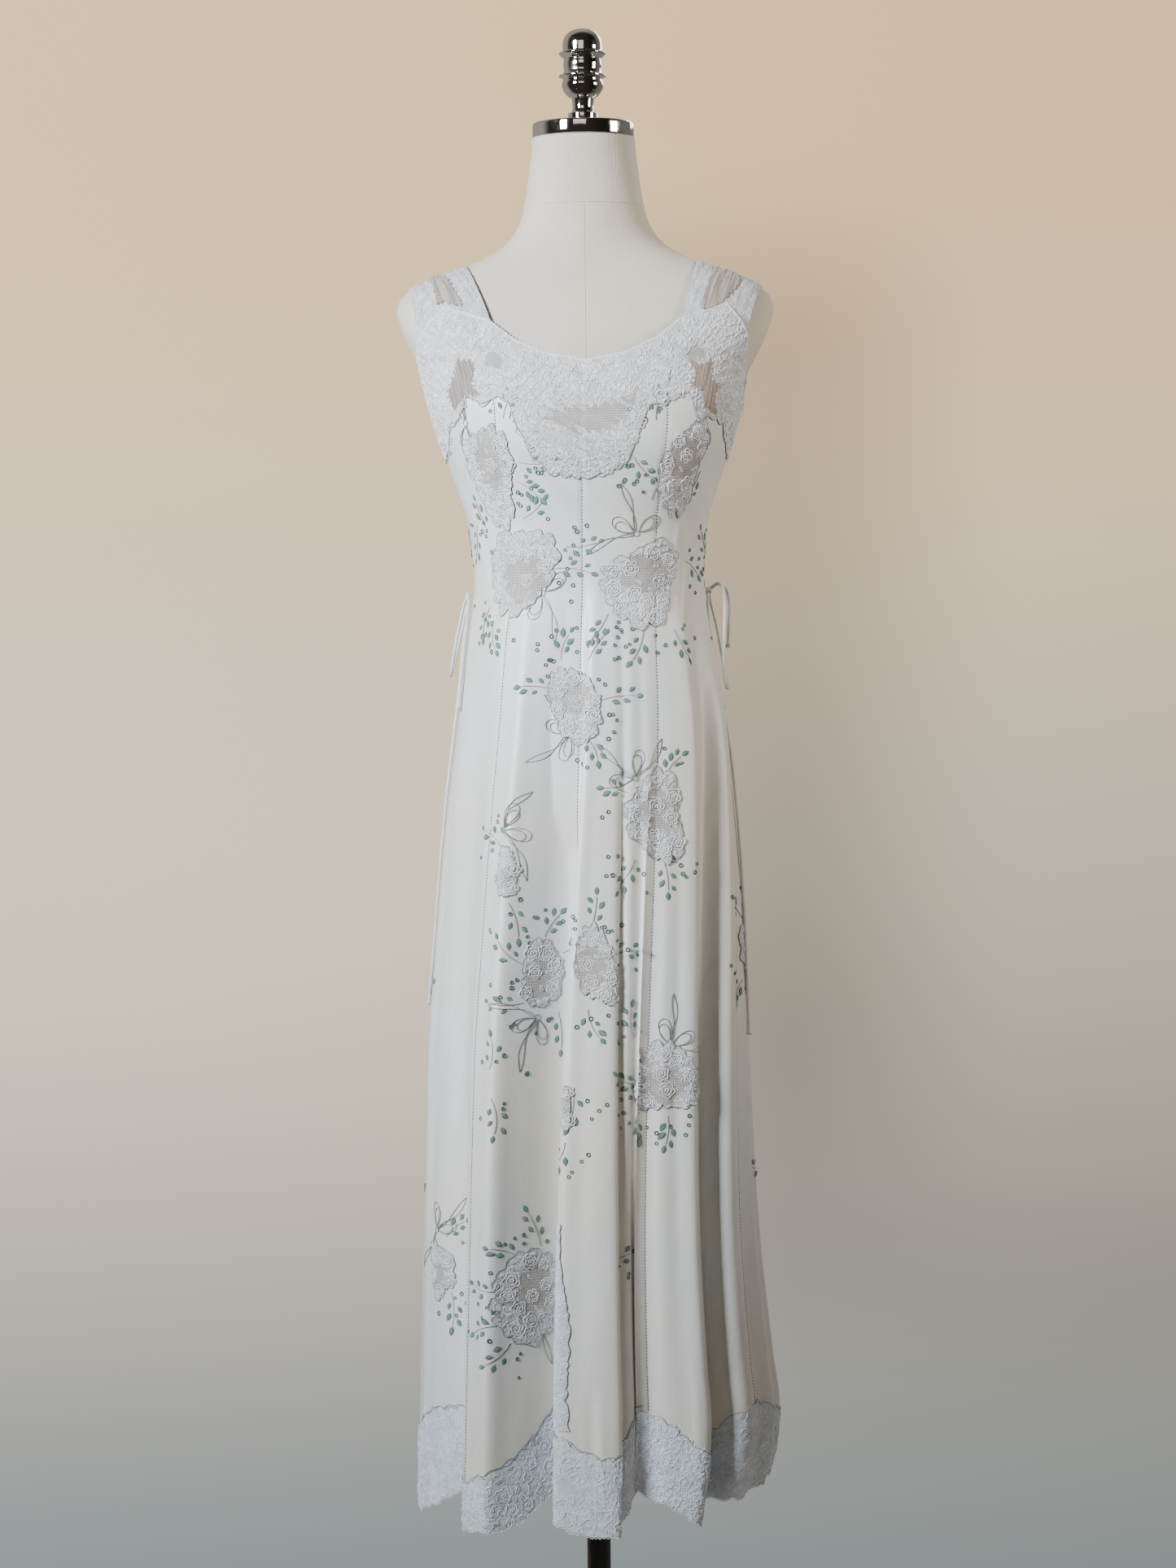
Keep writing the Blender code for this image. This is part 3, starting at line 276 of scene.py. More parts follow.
def ring_steady(column, station, around=0.0):
    """A column of FOLDS as a closed curve that never overshoots its rows."""
    (a, b, c, d), t = ring_rows(column, station, around)
    before, middle, after = b - a, c - b, d - c
    return eased(b, c, even_slope(before, middle), even_slope(middle, after), t)


def edge_height(edge_rows, station):
    """Height of a bodice edge at a station, straight between its rows."""
    turned = (ring_steady("bust", station, 360.0) + 90.0) % 360.0 - 90.0
    return np.interp(turned, [row.angle for row in edge_rows], [row.height for row in edge_rows])


def soft_step(low, high, value):
    """0 below low, 1 above high, and an even curve between."""
    t = np.clip((value - low) / (high - low), 0.0, 1.0)
    return t * t * (3 - 2 * t)


# The form and the cloth as surfaces


def form_section(height):
    """(half width, front, back, squareness) of the form at a height."""
    heights = [row.height for row in FORM_SECTIONS]
    columns = ("half_width", "front", "back", "squareness")
    return [smooth_value(heights, [getattr(row, name) for row in FORM_SECTIONS], height) for name in columns]


def form_points(angle, height):
    """Points of the form's surface, at angles round it from the front and at heights."""
    half, front, back, squareness = form_section(height)
    across, outward, _ = section_points(angle, half, half, front, back, squareness)
    return np.stack([across, outward, height], axis=-1)


def section_points(angle, left, right, front, back, squareness):
    """Points of a level section and the directions that face out of it."""
    sine, cosine = np.sin(angle), np.cos(angle)
    side = np.where(sine < 0, left, right)
    depth = np.where(cosine < 0, back, front)
    spread = (np.abs(sine) ** squareness + np.abs(cosine) ** squareness) ** (-1.0 / squareness)
    across, outward = side * sine * spread, -depth * cosine * spread
    facing = np.stack([sine / side, -cosine / depth])
    return across, outward, facing / np.linalg.norm(facing, axis=0)


def skirt_drop(height):
    """How far down the skirt a height is, from 0 at the waist to 1 at the hem."""
    return np.clip((WAIST_HEIGHT - height) / (WAIST_HEIGHT - HEM_HEIGHT), 0.0, 1.0)


def dress_reach(height):
    """(left, right, front, back), squareness of the dress without folds at a height."""
    half, front, back, squareness = form_section(np.maximum(height, WAIST_HEIGHT))
    bodice = [half, half, front, back]
    waist = [value + BODICE_EASE for value in form_section(WAIST_HEIGHT)]
    waist_reach = [waist[0], waist[0], waist[1], waist[2]]
    reach = []
    for on_bodice, at_waist, name in zip(bodice, waist_reach, ("left", "right", "front", "back")):
        heights = [WAIST_HEIGHT] + [row.height for row in SKIRT_SECTIONS]
        values = [at_waist] + [getattr(row, name) for row in SKIRT_SECTIONS]
        skirt = smooth_value(heights[::-1], values[::-1], np.minimum(height, WAIST_HEIGHT))
        reach.append(np.where(height >= WAIST_HEIGHT, on_bodice + BODICE_EASE, skirt))
    return reach, squareness + (2.0 - squareness) * np.minimum(1.0, 4.0 * skirt_drop(height))


def dress_points(station, height):
    """Points of the dress's smooth outer face, with a last axis of x, y and z."""
    station, height = np.broadcast_arrays(np.asarray(station, float), np.asarray(height, float))
    drop = skirt_drop(height)
    rise = np.clip((height - WAIST_HEIGHT) / (BUST_HEIGHT - WAIST_HEIGHT), 0.0, 1.0)
    waist = ring_steady("waist", station, 360.0)
    bust = ring_steady("bust", station, 360.0)
    hem = ring_curve("hem", station, 360.0)
    angle = waist + (bust - waist) * rise**1.5 + (hem - waist) * (1.0 - (1.0 - drop) ** 2)
    swell = ring_curve("swell", station) * drop**0.8
    (left, right, front, back), squareness = dress_reach(height)
    across, outward, facing = section_points(np.radians(angle), left, right, front, back, squareness)
    return np.stack([across + swell * facing[0], outward + swell * facing[1], height], axis=-1)


def unit(vectors):
    return vectors / np.linalg.norm(vectors, axis=-1, keepdims=True)


def circle_angles(count):
    """Angles of points spaced evenly round a circle."""
    return np.arange(count) * 2 * math.pi / count


def travelled(points):
    """Length along a line of points, from its first one."""
    return np.concatenate([[0.0], np.cumsum(np.linalg.norm(np.diff(points, axis=0), axis=1))])


def points_along(places, length, points):
    """Points of a line at places along it, from the lengths at its own points."""
    return np.stack([np.interp(places, length, points[:, axis]) for axis in range(3)], axis=1)


def dress_directions(station, height):
    """Unit vectors along the cloth to the next station, and out of the cloth."""
    step, rise = 0.02, 0.002
    along = dress_points(station + step, height) - dress_points(station - step, height)
    up = dress_points(station, height + rise) - dress_points(station, height - rise)
    return unit(along), unit(np.cross(along, up))


def crease_lift(station, height):
    """How far the creases and the seams' dips move the cloth out of its smooth face."""
    total = np.zeros(np.shape(station))
    for crease in CREASES:
        share = np.clip((crease.top - height) / (crease.top - crease.bottom), 0.0, 1.0)
        middle = crease.station + crease.drift * share
        away = (station - middle + AROUND / 2) % AROUND - AROUND / 2
        total += crease.depth * np.sin(np.pi * share) * np.exp(-((away / crease.width) ** 2))
    for seam in SEAMS:
        away = (station - seam + AROUND / 2) % AROUND - AROUND / 2
        total -= SEAM_DIP * np.exp(-((away / SEAM_WIDTH) ** 2))
    return total


def off_the_form(points):
    """Points of the cloth, moved out where a crease would run into the form or hang in under its foot."""
    x, y, height = np.moveaxis(points, -1, 0)
    foot = FORM_SECTIONS[0].height
    half, front, back, squareness = form_section(np.maximum(height, foot))
    depth = np.where(y > 0, back, front)
    size = (np.abs(x) / (half + CLOTH_GAP)) ** squareness + (np.abs(y) / (depth + CLOTH_GAP)) ** squareness
    size = size ** (1.0 / squareness) / (1.0 - 0.5 * soft_step(0.0, 0.5, foot - height))
    push = np.maximum(1.0, 1.0 / np.maximum(size, 0.2))
    return np.stack([x * push, y * push, height], axis=-1)


def cloth_points(station, height, lift=0.0):
    """Points of the creased cloth's outer face, lifted off it."""
    station, height = np.broadcast_arrays(np.asarray(station, float), np.asarray(height, float))
    _, outward = dress_directions(station, height)
    creased = dress_points(station, height) + outward * crease_lift(station, height)[..., None]
    return off_the_form(creased) + outward * np.asarray(lift, float)[..., None]


# Lengths along the cloth, so that flat designs keep their shape on it
ARC_STATIONS = np.arange(-8.0, AROUND + 8.01, 1 / 12)
ARC_HEIGHTS = np.linspace(0.200, 1.480, 81)


def arc_table():
    """Length along the cloth from the first of ARC_STATIONS, for each of ARC_HEIGHTS."""
    stations, heights = np.meshgrid(ARC_STATIONS, ARC_HEIGHTS)
    points = dress_points(stations, heights)
    steps = np.linalg.norm(np.diff(points, axis=1), axis=-1)
    return np.concatenate([np.zeros((len(ARC_HEIGHTS), 1)), np.cumsum(steps, axis=1)], axis=1)


ARCS = arc_table()


def arc_rows(height):
    """Rows of ARCS at given heights."""
    step = ARC_HEIGHTS[1] - ARC_HEIGHTS[0]
    place = np.clip((height - ARC_HEIGHTS[0]) / step, 0, len(ARC_HEIGHTS) - 1.001)
    low = place.astype(int)
    share = (place - low)[..., None]
    return ARCS[low] * (1 - share) + ARCS[low + 1] * share


def arc_at(station, height):
    """Length along the cloth at places of it."""
    station, height = np.broadcast_arrays(np.asarray(station, float), np.asarray(height, float))
    rows = arc_rows(height.ravel())
    place = (station.ravel() - ARC_STATIONS[0]) / (ARC_STATIONS[1] - ARC_STATIONS[0])
    low = np.clip(place.astype(int), 0, len(ARC_STATIONS) - 2)
    at = np.arange(len(low))
    share = place - low
    return (rows[at, low] * (1 - share) + rows[at, low + 1] * share).reshape(station.shape)


def station_at(arc, height):
    """The station at a length along the cloth: the inverse of arc_at."""
    arc, height = np.broadcast_arrays(np.asarray(arc, float), np.asarray(height, float))
    flat_arc, flat_height = arc.ravel(), height.ravel()
    result = np.empty(len(flat_arc))
    for start in range(0, len(flat_arc), 4096):
        part = slice(start, start + 4096)
        rows = arc_rows(flat_height[part])
        low = np.clip((rows < flat_arc[part, None]).sum(axis=1) - 1, 0, len(ARC_STATIONS) - 2)
        at = np.arange(len(low))
        share = (flat_arc[part] - rows[at, low]) / (rows[at, low + 1] - rows[at, low])
        result[part] = ARC_STATIONS[low] + share * (ARC_STATIONS[1] - ARC_STATIONS[0])
    return result.reshape(arc.shape)


def aside_of(middle, stations, heights):
    """Lengths along the cloth from a middle station to others, at the same heights."""
    return arc_at(stations, heights) - arc_at(np.full(np.shape(stations), middle), heights)


def spread_on_cloth(place, across, up, lift):
    """Points of a flat design laid on the cloth about a place (station, height)."""
    station, height = place
    heights = height + np.asarray(up, float)
    stations = station_at(arc_at(station, heights) + across, heights)
    return cloth_points(stations, heights, lift)


# The camera, and places seen through it

IMAGE_WIDTH, IMAGE_HEIGHT = 1445, 1927
PIXEL_SIZE = 0.00086  # metres at the dress
CAMERA_PLACE = (-0.0026, -4.5, 1.107)
CAMERA_PITCH = 0.0288  # turned down, in radians
CAMERA_ROLL = -0.0112
CAMERA_LENS = 65.25  # mm, over a sensor of 24 mm along the image's longer side
CAMERA_SENSOR = 24.0


def camera_axes():
    """Unit vectors to the right, up and forward of the camera."""
    sine, cosine = math.sin(CAMERA_PITCH), math.cos(CAMERA_PITCH)
    right, up = np.array([1.0, 0.0, 0.0]), np.array([0.0, sine, cosine])
    turned, level = math.sin(CAMERA_ROLL), math.cos(CAMERA_ROLL)
    return right * level + up * turned, up * level - right * turned, np.array([0.0, cosine, -sine])


def seen_at(points):
    """Columns and rows of the image where points are seen, and their depths."""
    right, up, forward = camera_axes()
    away = points - np.array(CAMERA_PLACE)
    depth = away @ forward
    scale = CAMERA_LENS / CAMERA_SENSOR * IMAGE_HEIGHT / depth
    return IMAGE_WIDTH / 2 + away @ right * scale, IMAGE_HEIGHT / 2 - away @ up * scale, depth


SEEN_STATIONS, SEEN_HEIGHTS = np.meshgrid(np.arange(-1.5, 15.5, 0.04), np.arange(0.21, 1.49, 0.004))
SEEN_COLUMN, SEEN_ROW, SEEN_DEPTH = seen_at(cloth_points(SEEN_STATIONS, SEEN_HEIGHTS))


def cloth_at(column, row):
    """The place (station, height) of the cloth that shows at a point of the image."""
    away = np.hypot(SEEN_COLUMN - column, SEEN_ROW - row)
    near = away < max(3.5, away.min() + 1.0)
    pick = np.argmin(np.where(near, SEEN_DEPTH + away * 0.002, np.inf))
    return float(SEEN_STATIONS.flat[pick]), float(SEEN_HEIGHTS.flat[pick])


# Meshes


def new_mesh(name, points, faces, uvs=None, smooth_angle=50.0, open_net=None):
    """A mesh from points and faces, smooth but for edges sharper than an angle, with a UV map in metres and,
    for lace, how open its net is at each point."""
    mesh = bpy.data.meshes.new(name)
    mesh.from_pydata(np.asarray(points).tolist(), [], faces)
    mesh.shade_smooth()
    mesh.set_sharp_from_angle(angle=math.radians(smooth_angle))
    if uvs is not None:
        layer = mesh.uv_layers.new(name="UVMap")
        corners = np.empty(len(mesh.loops), np.int32)
        mesh.loops.foreach_get("vertex_index", corners)
        layer.data.foreach_set("uv", np.asarray(uvs, np.float32)[corners].ravel())
    if open_net is not None:
        values = np.asarray(open_net, np.float32).ravel()
        mesh.attributes.new("open_net", "FLOAT", "POINT").data.foreach_set("value", values)
    mesh.validate()
    return mesh


def add_piece(name, data, material, slot, replaced=()):
    """A finished piece of the model, on the root body, with its finish and the CAD nodes it stands for."""
    thing = bpy.data.objects.new(name, data)
    bpy.context.scene.collection.objects.link(thing)
    if material is not None and not thing.material_slots:
        data.materials.append(material)
    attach(thing, BODY)
    if replaced:
        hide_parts(*replaced)
    return thing


def grid_shell(outer, inner):
    """Points and faces of a closed shell between two grids whose rows run down and columns to the right."""
    rows, columns = outer.shape[:2]
    points = np.concatenate([outer.reshape(-1, 3), inner.reshape(-1, 3)])
    index = np.arange(rows * columns).reshape(rows, columns)
    back = index + rows * columns
    a, b, c, d = index[:-1, :-1], index[1:, :-1], index[1:, 1:], index[:-1, 1:]
    faces = np.stack([a, b, c, d], axis=-1).reshape(-1, 4).tolist()
    a, b, c, d = back[:-1, :-1], back[1:, :-1], back[1:, 1:], back[:-1, 1:]
    faces += np.stack([a, d, c, b], axis=-1).reshape(-1, 4).tolist()
    border = np.concatenate([index[:-1, 0], index[-1, :-1], index[:0:-1, -1], index[0, :0:-1]])
    follow = np.roll(border, -1)
    faces += [[one, one + rows * columns, two + rows * columns, two] for one, two in zip(border, follow)]
    return points, faces


def cloth_shell(name, stations, heights, lift, thickness, openness=None):
    """A thin closed shell on the cloth's surface over a grid of places, with a UV map in metres."""
    outer = cloth_points(stations, heights, lift)
    inner = cloth_points(stations, heights, lift - thickness)
    points, faces = grid_shell(outer, inner)
    flat = np.stack([arc_at(stations, heights), heights], axis=-1).reshape(-1, 2)
    open_net = None if openness is None else np.tile(openness(stations, heights).ravel(), 2)
    return new_mesh(name, points, faces, np.concatenate([flat, flat]), open_net=open_net)


def panel_places(first, last, top, bottom, step, level, up_step):
    """Stations and heights of a panel's grid. top and bottom give edge heights at stations."""
    length = float(arc_at(last, level) - arc_at(first, level))
    count = max(3, int(math.ceil(length / step)) + 1)
    arcs = np.linspace(float(arc_at(first, level)), float(arc_at(last, level)), count)
    stations = station_at(arcs, np.full(count, level))
    stations[0], stations[-1] = first, last
    high, low = top(stations), bottom(stations)
    rows = max(3, int(math.ceil(float((high - low).max()) / up_step)) + 1)
    shares = np.linspace(0.0, 1.0, rows)[:, None]
    return np.broadcast_to(stations, (rows, count)), high * (1 - shares) + low * shares


# Scalloped edges. A level is the height at which lengths along a band of cloth are counted.

GORE_LEVEL, YOKE_LEVEL, YOKE_EDGE_LEVEL = 0.5, 1.35, 1.33
HEM_LEVEL, HEM_TOP_LEVEL, HEM_EDGE_LEVEL, STRIP_LEVEL = 0.3, 0.33, 0.23, 0.42
STRIP_TOP, STRIP_BOTTOM = 0.532, 0.322
ANY_TURN = 6.28  # upper end of a random turn or phase


def scallops(arc, length, depth, seed):
    """Lobes along an edge, from 0 at the notches to depth, of uneven size."""
    random = np.random.default_rng(seed)
    wander = random.uniform(0.0, ANY_TURN, 3)
    phase = arc / length + 0.22 * np.sin(arc / length * 1.7 + wander[0]) + 0.12 * np.sin(arc * 31 + wander[1])
    size = 1.0 + 0.35 * np.sin(arc / length * 2.3 + wander[2])
    return depth * size * np.abs(np.sin(math.pi * phase)) ** 0.7


def yoke_bottom(station):
    """Lower edge of the yoke."""
    lobes = scallops(arc_at(station, YOKE_EDGE_LEVEL), 0.0145, 0.0046, 3)
    return edge_height(YOKE_EDGE, station) - lobes + 0.0024


def yoke_top(station):
    """Upper edge of the yoke."""
    return edge_height(TOP_EDGE, station)


def hem_lace_top(station):
    """Upper edge of the hem lace."""
    lobes = scallops(arc_at(station, HEM_TOP_LEVEL), 0.017, 0.0055, 5)
    return ring_steady("lace_height", station) + lobes - 0.0026


def hem_bottom(station):
    """Lower edge of the hem lace."""
    lobes = scallops(arc_at(station, HEM_EDGE_LEVEL), 0.022, 0.0036, 8)
    return ring_steady("hem_height", station) - lobes + 0.0018


# Lacework: where the net is open, and the raised cord of flowers, curls and scales


def bump(value):
    """1 at 0, falling evenly to 0 at 1 and beyond."""
    return 1.0 - soft_step(0.0, 1.0, np.abs(value))


NetBand = namedtuple("NetBand", "above half_height half_width")
YOKE_NET_BAND = NetBand(0.058, 0.026, 0.085)  # how far above the yoke's lower edge, and its half sizes
YOKE_NET_MIDDLES = (5.6, 22.0)
NetSpot = namedtuple("NetSpot", "station height reach")
YOKE_NET_SPOTS = table(
    NetSpot,
    (3.2, 1.418, 0.018), (10.9, 1.424, 0.020), (17.3, 1.400, 0.022), (26.8, 1.400, 0.020),
)
YOKE_NET_STRENGTH = 0.8
SHUT_BELOW = 0.25  # lace is close where its openness is less


def yoke_openness(station, height):
    """Open net in a band over the lower edge, in front and behind, and in small places."""
    station, height = np.broadcast_arrays(np.asarray(station, float), np.asarray(height, float))
    above = height - edge_height(YOKE_EDGE, station)
    band, strength = YOKE_NET_BAND, YOKE_NET_STRENGTH
    total = np.zeros(station.shape)
    for middle in YOKE_NET_MIDDLES:
        away = aside_of(middle, station, height)
        level = bump((above - band.above) / band.half_height)
        total = np.maximum(total, strength * level * bump(away / band.half_width))
    for spot in YOKE_NET_SPOTS:
        away = aside_of(spot.station, station, height)
        total = np.maximum(total, strength * bump(np.hypot(away, height - spot.height) / spot.reach))
    return total


def hem_openness(station, height):
    """Small open places along the middle of the hem lace."""
    wave = np.sin(station * 5.3) * np.sin(station * 2.1 + 1.0)
    middle = 0.5 * (ring_steady("lace_height", station) + ring_steady("hem_height", station))
    return 0.75 * np.clip(wave, 0.0, 1.0) * bump((height - middle) / 0.020)


def inside_line(points, line):
    """Which flat points lie inside a closed line."""
    following = np.roll(line, -1, axis=0)
    x, y = points[:, :1], points[:, 1:]
    spans = (line[:, 1] > y) != (following[:, 1] > y)
    slope = (following[:, 0] - line[:, 0]) / (following[:, 1] - line[:, 1] + 1e-12)
    return (spans & (x < line[:, 0] + (y - line[:, 1]) * slope)).sum(axis=1) % 2 == 1


def strewn(candidates, spacing, taken=()):
    """Those of the candidate places that keep their spacing from each other and from the places taken."""
    kept = [tuple(place) for place in taken]
    fresh = []
    for place in candidates:
        if kept and np.min(np.hypot(*(np.array(kept) - place).T)) < spacing:
            continue
        kept.append(tuple(place))
        fresh.append(place)
    return np.array(fresh).reshape(-1, 2)


def rosette_lines(radius, petals, turn, inner=True):
    """Closed flat lines of a lace flower: its petals, the petals inside them and its eye."""
    angle = circle_angles(5 * petals)
    reach = radius * (0.60 + 0.40 * np.abs(np.cos(0.5 * petals * angle)) ** 0.75)
    lines = [turned_line(reach * np.cos(angle), reach * np.sin(angle), turn)]
    if inner:
        some = circle_angles(3 * petals)
        reach = 0.62 * radius * (0.70 + 0.30 * np.abs(np.cos(0.5 * petals * some)))
        lines.append(turned_line(reach * np.cos(some), reach * np.sin(some), turn + 0.2))
    eye = circle_angles(7)
    lines.append(np.stack([0.20 * radius * np.cos(eye), 0.20 * radius * np.sin(eye)], axis=-1))
    return lines


def curl_line(length, turn, bend):
    """The closed flat line of a small curled leaf."""
    t = np.arange(8) / 8
    across = length * (0.5 - 0.5 * np.cos(2 * math.pi * t)) - 0.5 * length
    up = 0.30 * length * np.sin(2 * math.pi * t) * (0.55 + 0.45 * np.cos(math.pi * t))
    up = up + bend * (across / length) ** 2
    return turned_line(across, up, turn)


def scale_line(width, drop, turn):
    """The open flat line of a scale of lace: an arc that hangs from its two ends."""
    angle = np.linspace(math.pi, 2 * math.pi, 7)
    return turned_line(0.5 * width * np.cos(angle), drop * np.sin(angle), turn)


def laid_paths(motifs, lift, weight=1.0):
    """Paths (points, closed, weight) on the cloth, of motifs ((station, height), flat line, closed)."""
    paths = [None] * len(motifs)
    sizes = {}
    for number, motif in enumerate(motifs):
        sizes.setdefault(len(motif[1]), []).append(number)
    for numbers in sizes.values():
        stations, heights = np.array([motifs[number][0] for number in numbers], float).T
        lines = np.array([motifs[number][1] for number in numbers])
        points = spread_on_cloth((stations[:, None], heights[:, None]), lines[..., 0], lines[..., 1], lift)
        for row, number in enumerate(numbers):
            paths[number] = (points[row], motifs[number][2], weight)
    return paths


def flower_motifs(places, random, radius, inner=True):
    """Motifs of lace flowers at places, of slightly uneven size and turn."""
    motifs = []
    for place in places:
        size, petals = radius * random.uniform(0.85, 1.12), int(random.integers(5, 7))
        lines = rosette_lines(size, petals, random.uniform(0, ANY_TURN), inner)
        motifs += [(place, line, True) for line in lines]
    return motifs


def curl_motifs(places, random, length):
    """Motifs of curled leaves at places."""
    motifs = []
    for place in places:
        bend = random.uniform(-0.25, 0.25) * length
        line = curl_line(length * random.uniform(0.8, 1.2), random.uniform(0, ANY_TURN), bend)
        motifs.append((place, line, True))
    return motifs


BAND_CANDIDATES = 9000
NET_MARGIN = 0.86  # lacework starts where its place, shrunk by this, is outside a net insert


def off_the_nets(stations, heights, nets):
    """Which places lie outside all net inserts, each (centre, outline)."""
    clear = np.ones(len(stations), bool)
    for centre, outline in nets:
        away = np.stack([aside_of(centre[0], stations, heights), heights - centre[1]], -1)
        clear &= ~inside_line(away * NET_MARGIN, outline)
    return clear


def band_lacework(level, top, bottom, openness, random, radius, curl, closed=()):
    """Motifs of flowers and curls that fill a band of lace round the dress, off its open net."""
    start = float(arc_at(0, level))
    total = float(arc_at(AROUND, level)) - start
    candidates = random.uniform((0.0, 0.0), (total, 1.0), (BAND_CANDIDATES, 2))
    stations = station_at(start + candidates[:, 0], np.full(len(candidates), level))
    high, low = top(stations), bottom(stations)
    heights = low + (high - low) * candidates[:, 1]
    flat = np.stack([candidates[:, 0], heights], axis=-1)
    shut = (openness(stations, heights) < SHUT_BELOW) & off_the_nets(stations, heights, closed)

    def chosen(margin, spacing):
        keep = shut & (heights > low + margin) & (heights < high - margin)
        return strewn(flat[keep], spacing)

    def placed(spots):
        return list(zip(station_at(start + spots[:, 0], np.full(len(spots), level)), spots[:, 1]))

    flowers = chosen(radius * 0.62, radius * 2.1)
    curls = chosen(curl * 0.4, curl * 0.92)
    if len(flowers):
        near = np.min(np.hypot(*(curls[:, None] - flowers[None]).transpose(2, 0, 1)), axis=1)
        curls = curls[near > radius * 0.95 + curl * 0.25]
    return flower_motifs(placed(flowers), random, radius, False) + curl_motifs(placed(curls), random, curl)


# Geometry Nodes: one tree that turns paths into thread and one that sets shapes on points


def new_geometry_tree(name, sockets):
    """A geometry tree with named inputs, and its input and output nodes."""
    tree = bpy.data.node_groups.new(name, "GeometryNodeTree")
    tree.interface.new_socket("Geometry", in_out="INPUT", socket_type="NodeSocketGeometry")
    for label, kind in sockets:
        tree.interface.new_socket(label, in_out="INPUT", socket_type=kind)
    tree.interface.new_socket("Geometry", in_out="OUTPUT", socket_type="NodeSocketGeometry")
    return tree, tree.nodes.new("NodeGroupInput"), tree.nodes.new("NodeGroupOutput")


def named_attribute(tree, name, kind):
    """A node that reads an attribute by its name."""
    node = tree.nodes.new("GeometryNodeInputNamedAttribute")
    node.data_type = kind
    node.inputs["Name"].default_value = name
    return node


def new_node(tree, kind, **properties):
    """A new node of a tree, with its own properties set."""
    node = tree.nodes.new(kind)
    for name, value in properties.items():
        setattr(node, name, value)
    return node


def link_all(tree, *links):
    """Links sockets, each link given as a node, its output, another node and its input."""
    for giver, output, taker, socket in links:
        tree.links.new(giver.outputs[output], taker.inputs[socket])


def thread_tree():
    """Paths of edges become round threads. The attribute weight scales a path's thickness."""
    sockets = [
        ("Thickness", "NodeSocketFloat"),
        ("Sides", "NodeSocketInt"),
        ("Material", "NodeSocketMaterial"),
    ]
    tree, start, end = new_geometry_tree("Thread", sockets)
    to_curve = new_node(tree, "GeometryNodeMeshToCurve")
    weight = named_attribute(tree, "weight", "FLOAT")
    halved = new_node(tree, "ShaderNodeMath", operation="MULTIPLY")
    halved.inputs[1].default_value = 0.5
    circle = new_node(tree, "GeometryNodeCurvePrimitiveCircle")
    to_mesh = new_node(tree, "GeometryNodeCurveToMesh")
    to_mesh.inputs["Fill Caps"].default_value = True
    weighted = new_node(tree, "GeometryNodeSetCurveRadius")
    shade = new_node(tree, "GeometryNodeSetShadeSmooth")
    realize = new_node(tree, "GeometryNodeRealizeInstances")
    dress = new_node(tree, "GeometryNodeSetMaterial")
    link_all(
        tree,
        (start, "Geometry", to_curve, "Mesh"),
        (to_curve, "Curve", weighted, "Curve"),
        (weight, "Attribute", weighted, "Radius"),
        (start, "Thickness", halved, 0),
        (halved, "Value", circle, "Radius"),
        (start, "Sides", circle, "Resolution"),
        (weighted, "Curve", to_mesh, "Curve"),
    )
    if "Scale" in to_mesh.inputs:
        link_all(tree, (weight, "Attribute", to_mesh, "Scale"))
    link_all(
        tree,
        (circle, "Curve", to_mesh, "Profile Curve"),
        (to_mesh, "Mesh", shade, "Geometry"),
        (shade, "Geometry", realize, "Geometry"),
        (realize, "Geometry", dress, "Geometry"),
        (start, "Material", dress, "Material"),
        (dress, "Geometry", end, "Geometry"),
    )
    return tree


def scatter_tree():
    """A template object set on points, along and facing as their attributes say, of slightly uneven size."""
    sockets = [
        ("Template", "NodeSocketObject"),
        ("Size", "NodeSocketFloat"),
        ("Size Variation", "NodeSocketFloat"),
        ("Seed", "NodeSocketInt"),
        ("Material", "NodeSocketMaterial"),
    ]
    tree, start, end = new_geometry_tree("Scatter", sockets)
    points = new_node(tree, "GeometryNodeMeshToPoints")
    shape = new_node(tree, "GeometryNodeObjectInfo")
    place = new_node(tree, "GeometryNodeInstanceOnPoints")
    turn = new_node(tree, "FunctionNodeAxesToRotation", primary_axis="Z", secondary_axis="X")
    facing = named_attribute(tree, "facing", "FLOAT_VECTOR")
    along = named_attribute(tree, "along", "FLOAT_VECTOR")
    weight = named_attribute(tree, "weight", "FLOAT")
    change = new_node(tree, "FunctionNodeRandomValue", data_type="FLOAT")
    low = new_node(tree, "ShaderNodeMath", operation="SUBTRACT")
    high = new_node(tree, "ShaderNodeMath", operation="ADD")
    for limit in (low, high):
        limit.inputs[0].default_value = 1.0
    sized = new_node(tree, "ShaderNodeMath", operation="MULTIPLY")
    scaled = new_node(tree, "ShaderNodeMath", operation="MULTIPLY")
    realize = new_node(tree, "GeometryNodeRealizeInstances")
    dress = new_node(tree, "GeometryNodeSetMaterial")
    link_all(
        tree,
        (start, "Geometry", points, "Mesh"),
        (points, "Points", place, "Points"),
        (start, "Template", shape, "Object"),
        (shape, "Geometry", place, "Instance"),
        (facing, "Attribute", turn, "Primary Axis"),
        (along, "Attribute", turn, "Secondary Axis"),
        (turn, "Rotation", place, "Rotation"),
        (start, "Size Variation", low, 1),
        (start, "Size Variation", high, 1),
        (start, "Seed", change, "Seed"),
        (weight, "Attribute", sized, 1),
        (sized, "Value", scaled, 0),
        (start, "Size", scaled, 1),
        (scaled, "Value", place, "Scale"),
        (place, "Instances", realize, "Geometry"),
        (realize, "Geometry", dress, "Geometry"),
        (start, "Material", dress, "Material"),
        (dress, "Geometry", end, "Geometry"),
    )
    limits = [socket for socket in change.inputs if socket.type == "VALUE"]
    tree.links.new(low.outputs["Value"], limits[0])
    tree.links.new(high.outputs["Value"], limits[1])
    drawn = next(socket for socket in change.outputs if socket.type == "VALUE")
    tree.links.new(drawn, sized.inputs[0])
    return tree


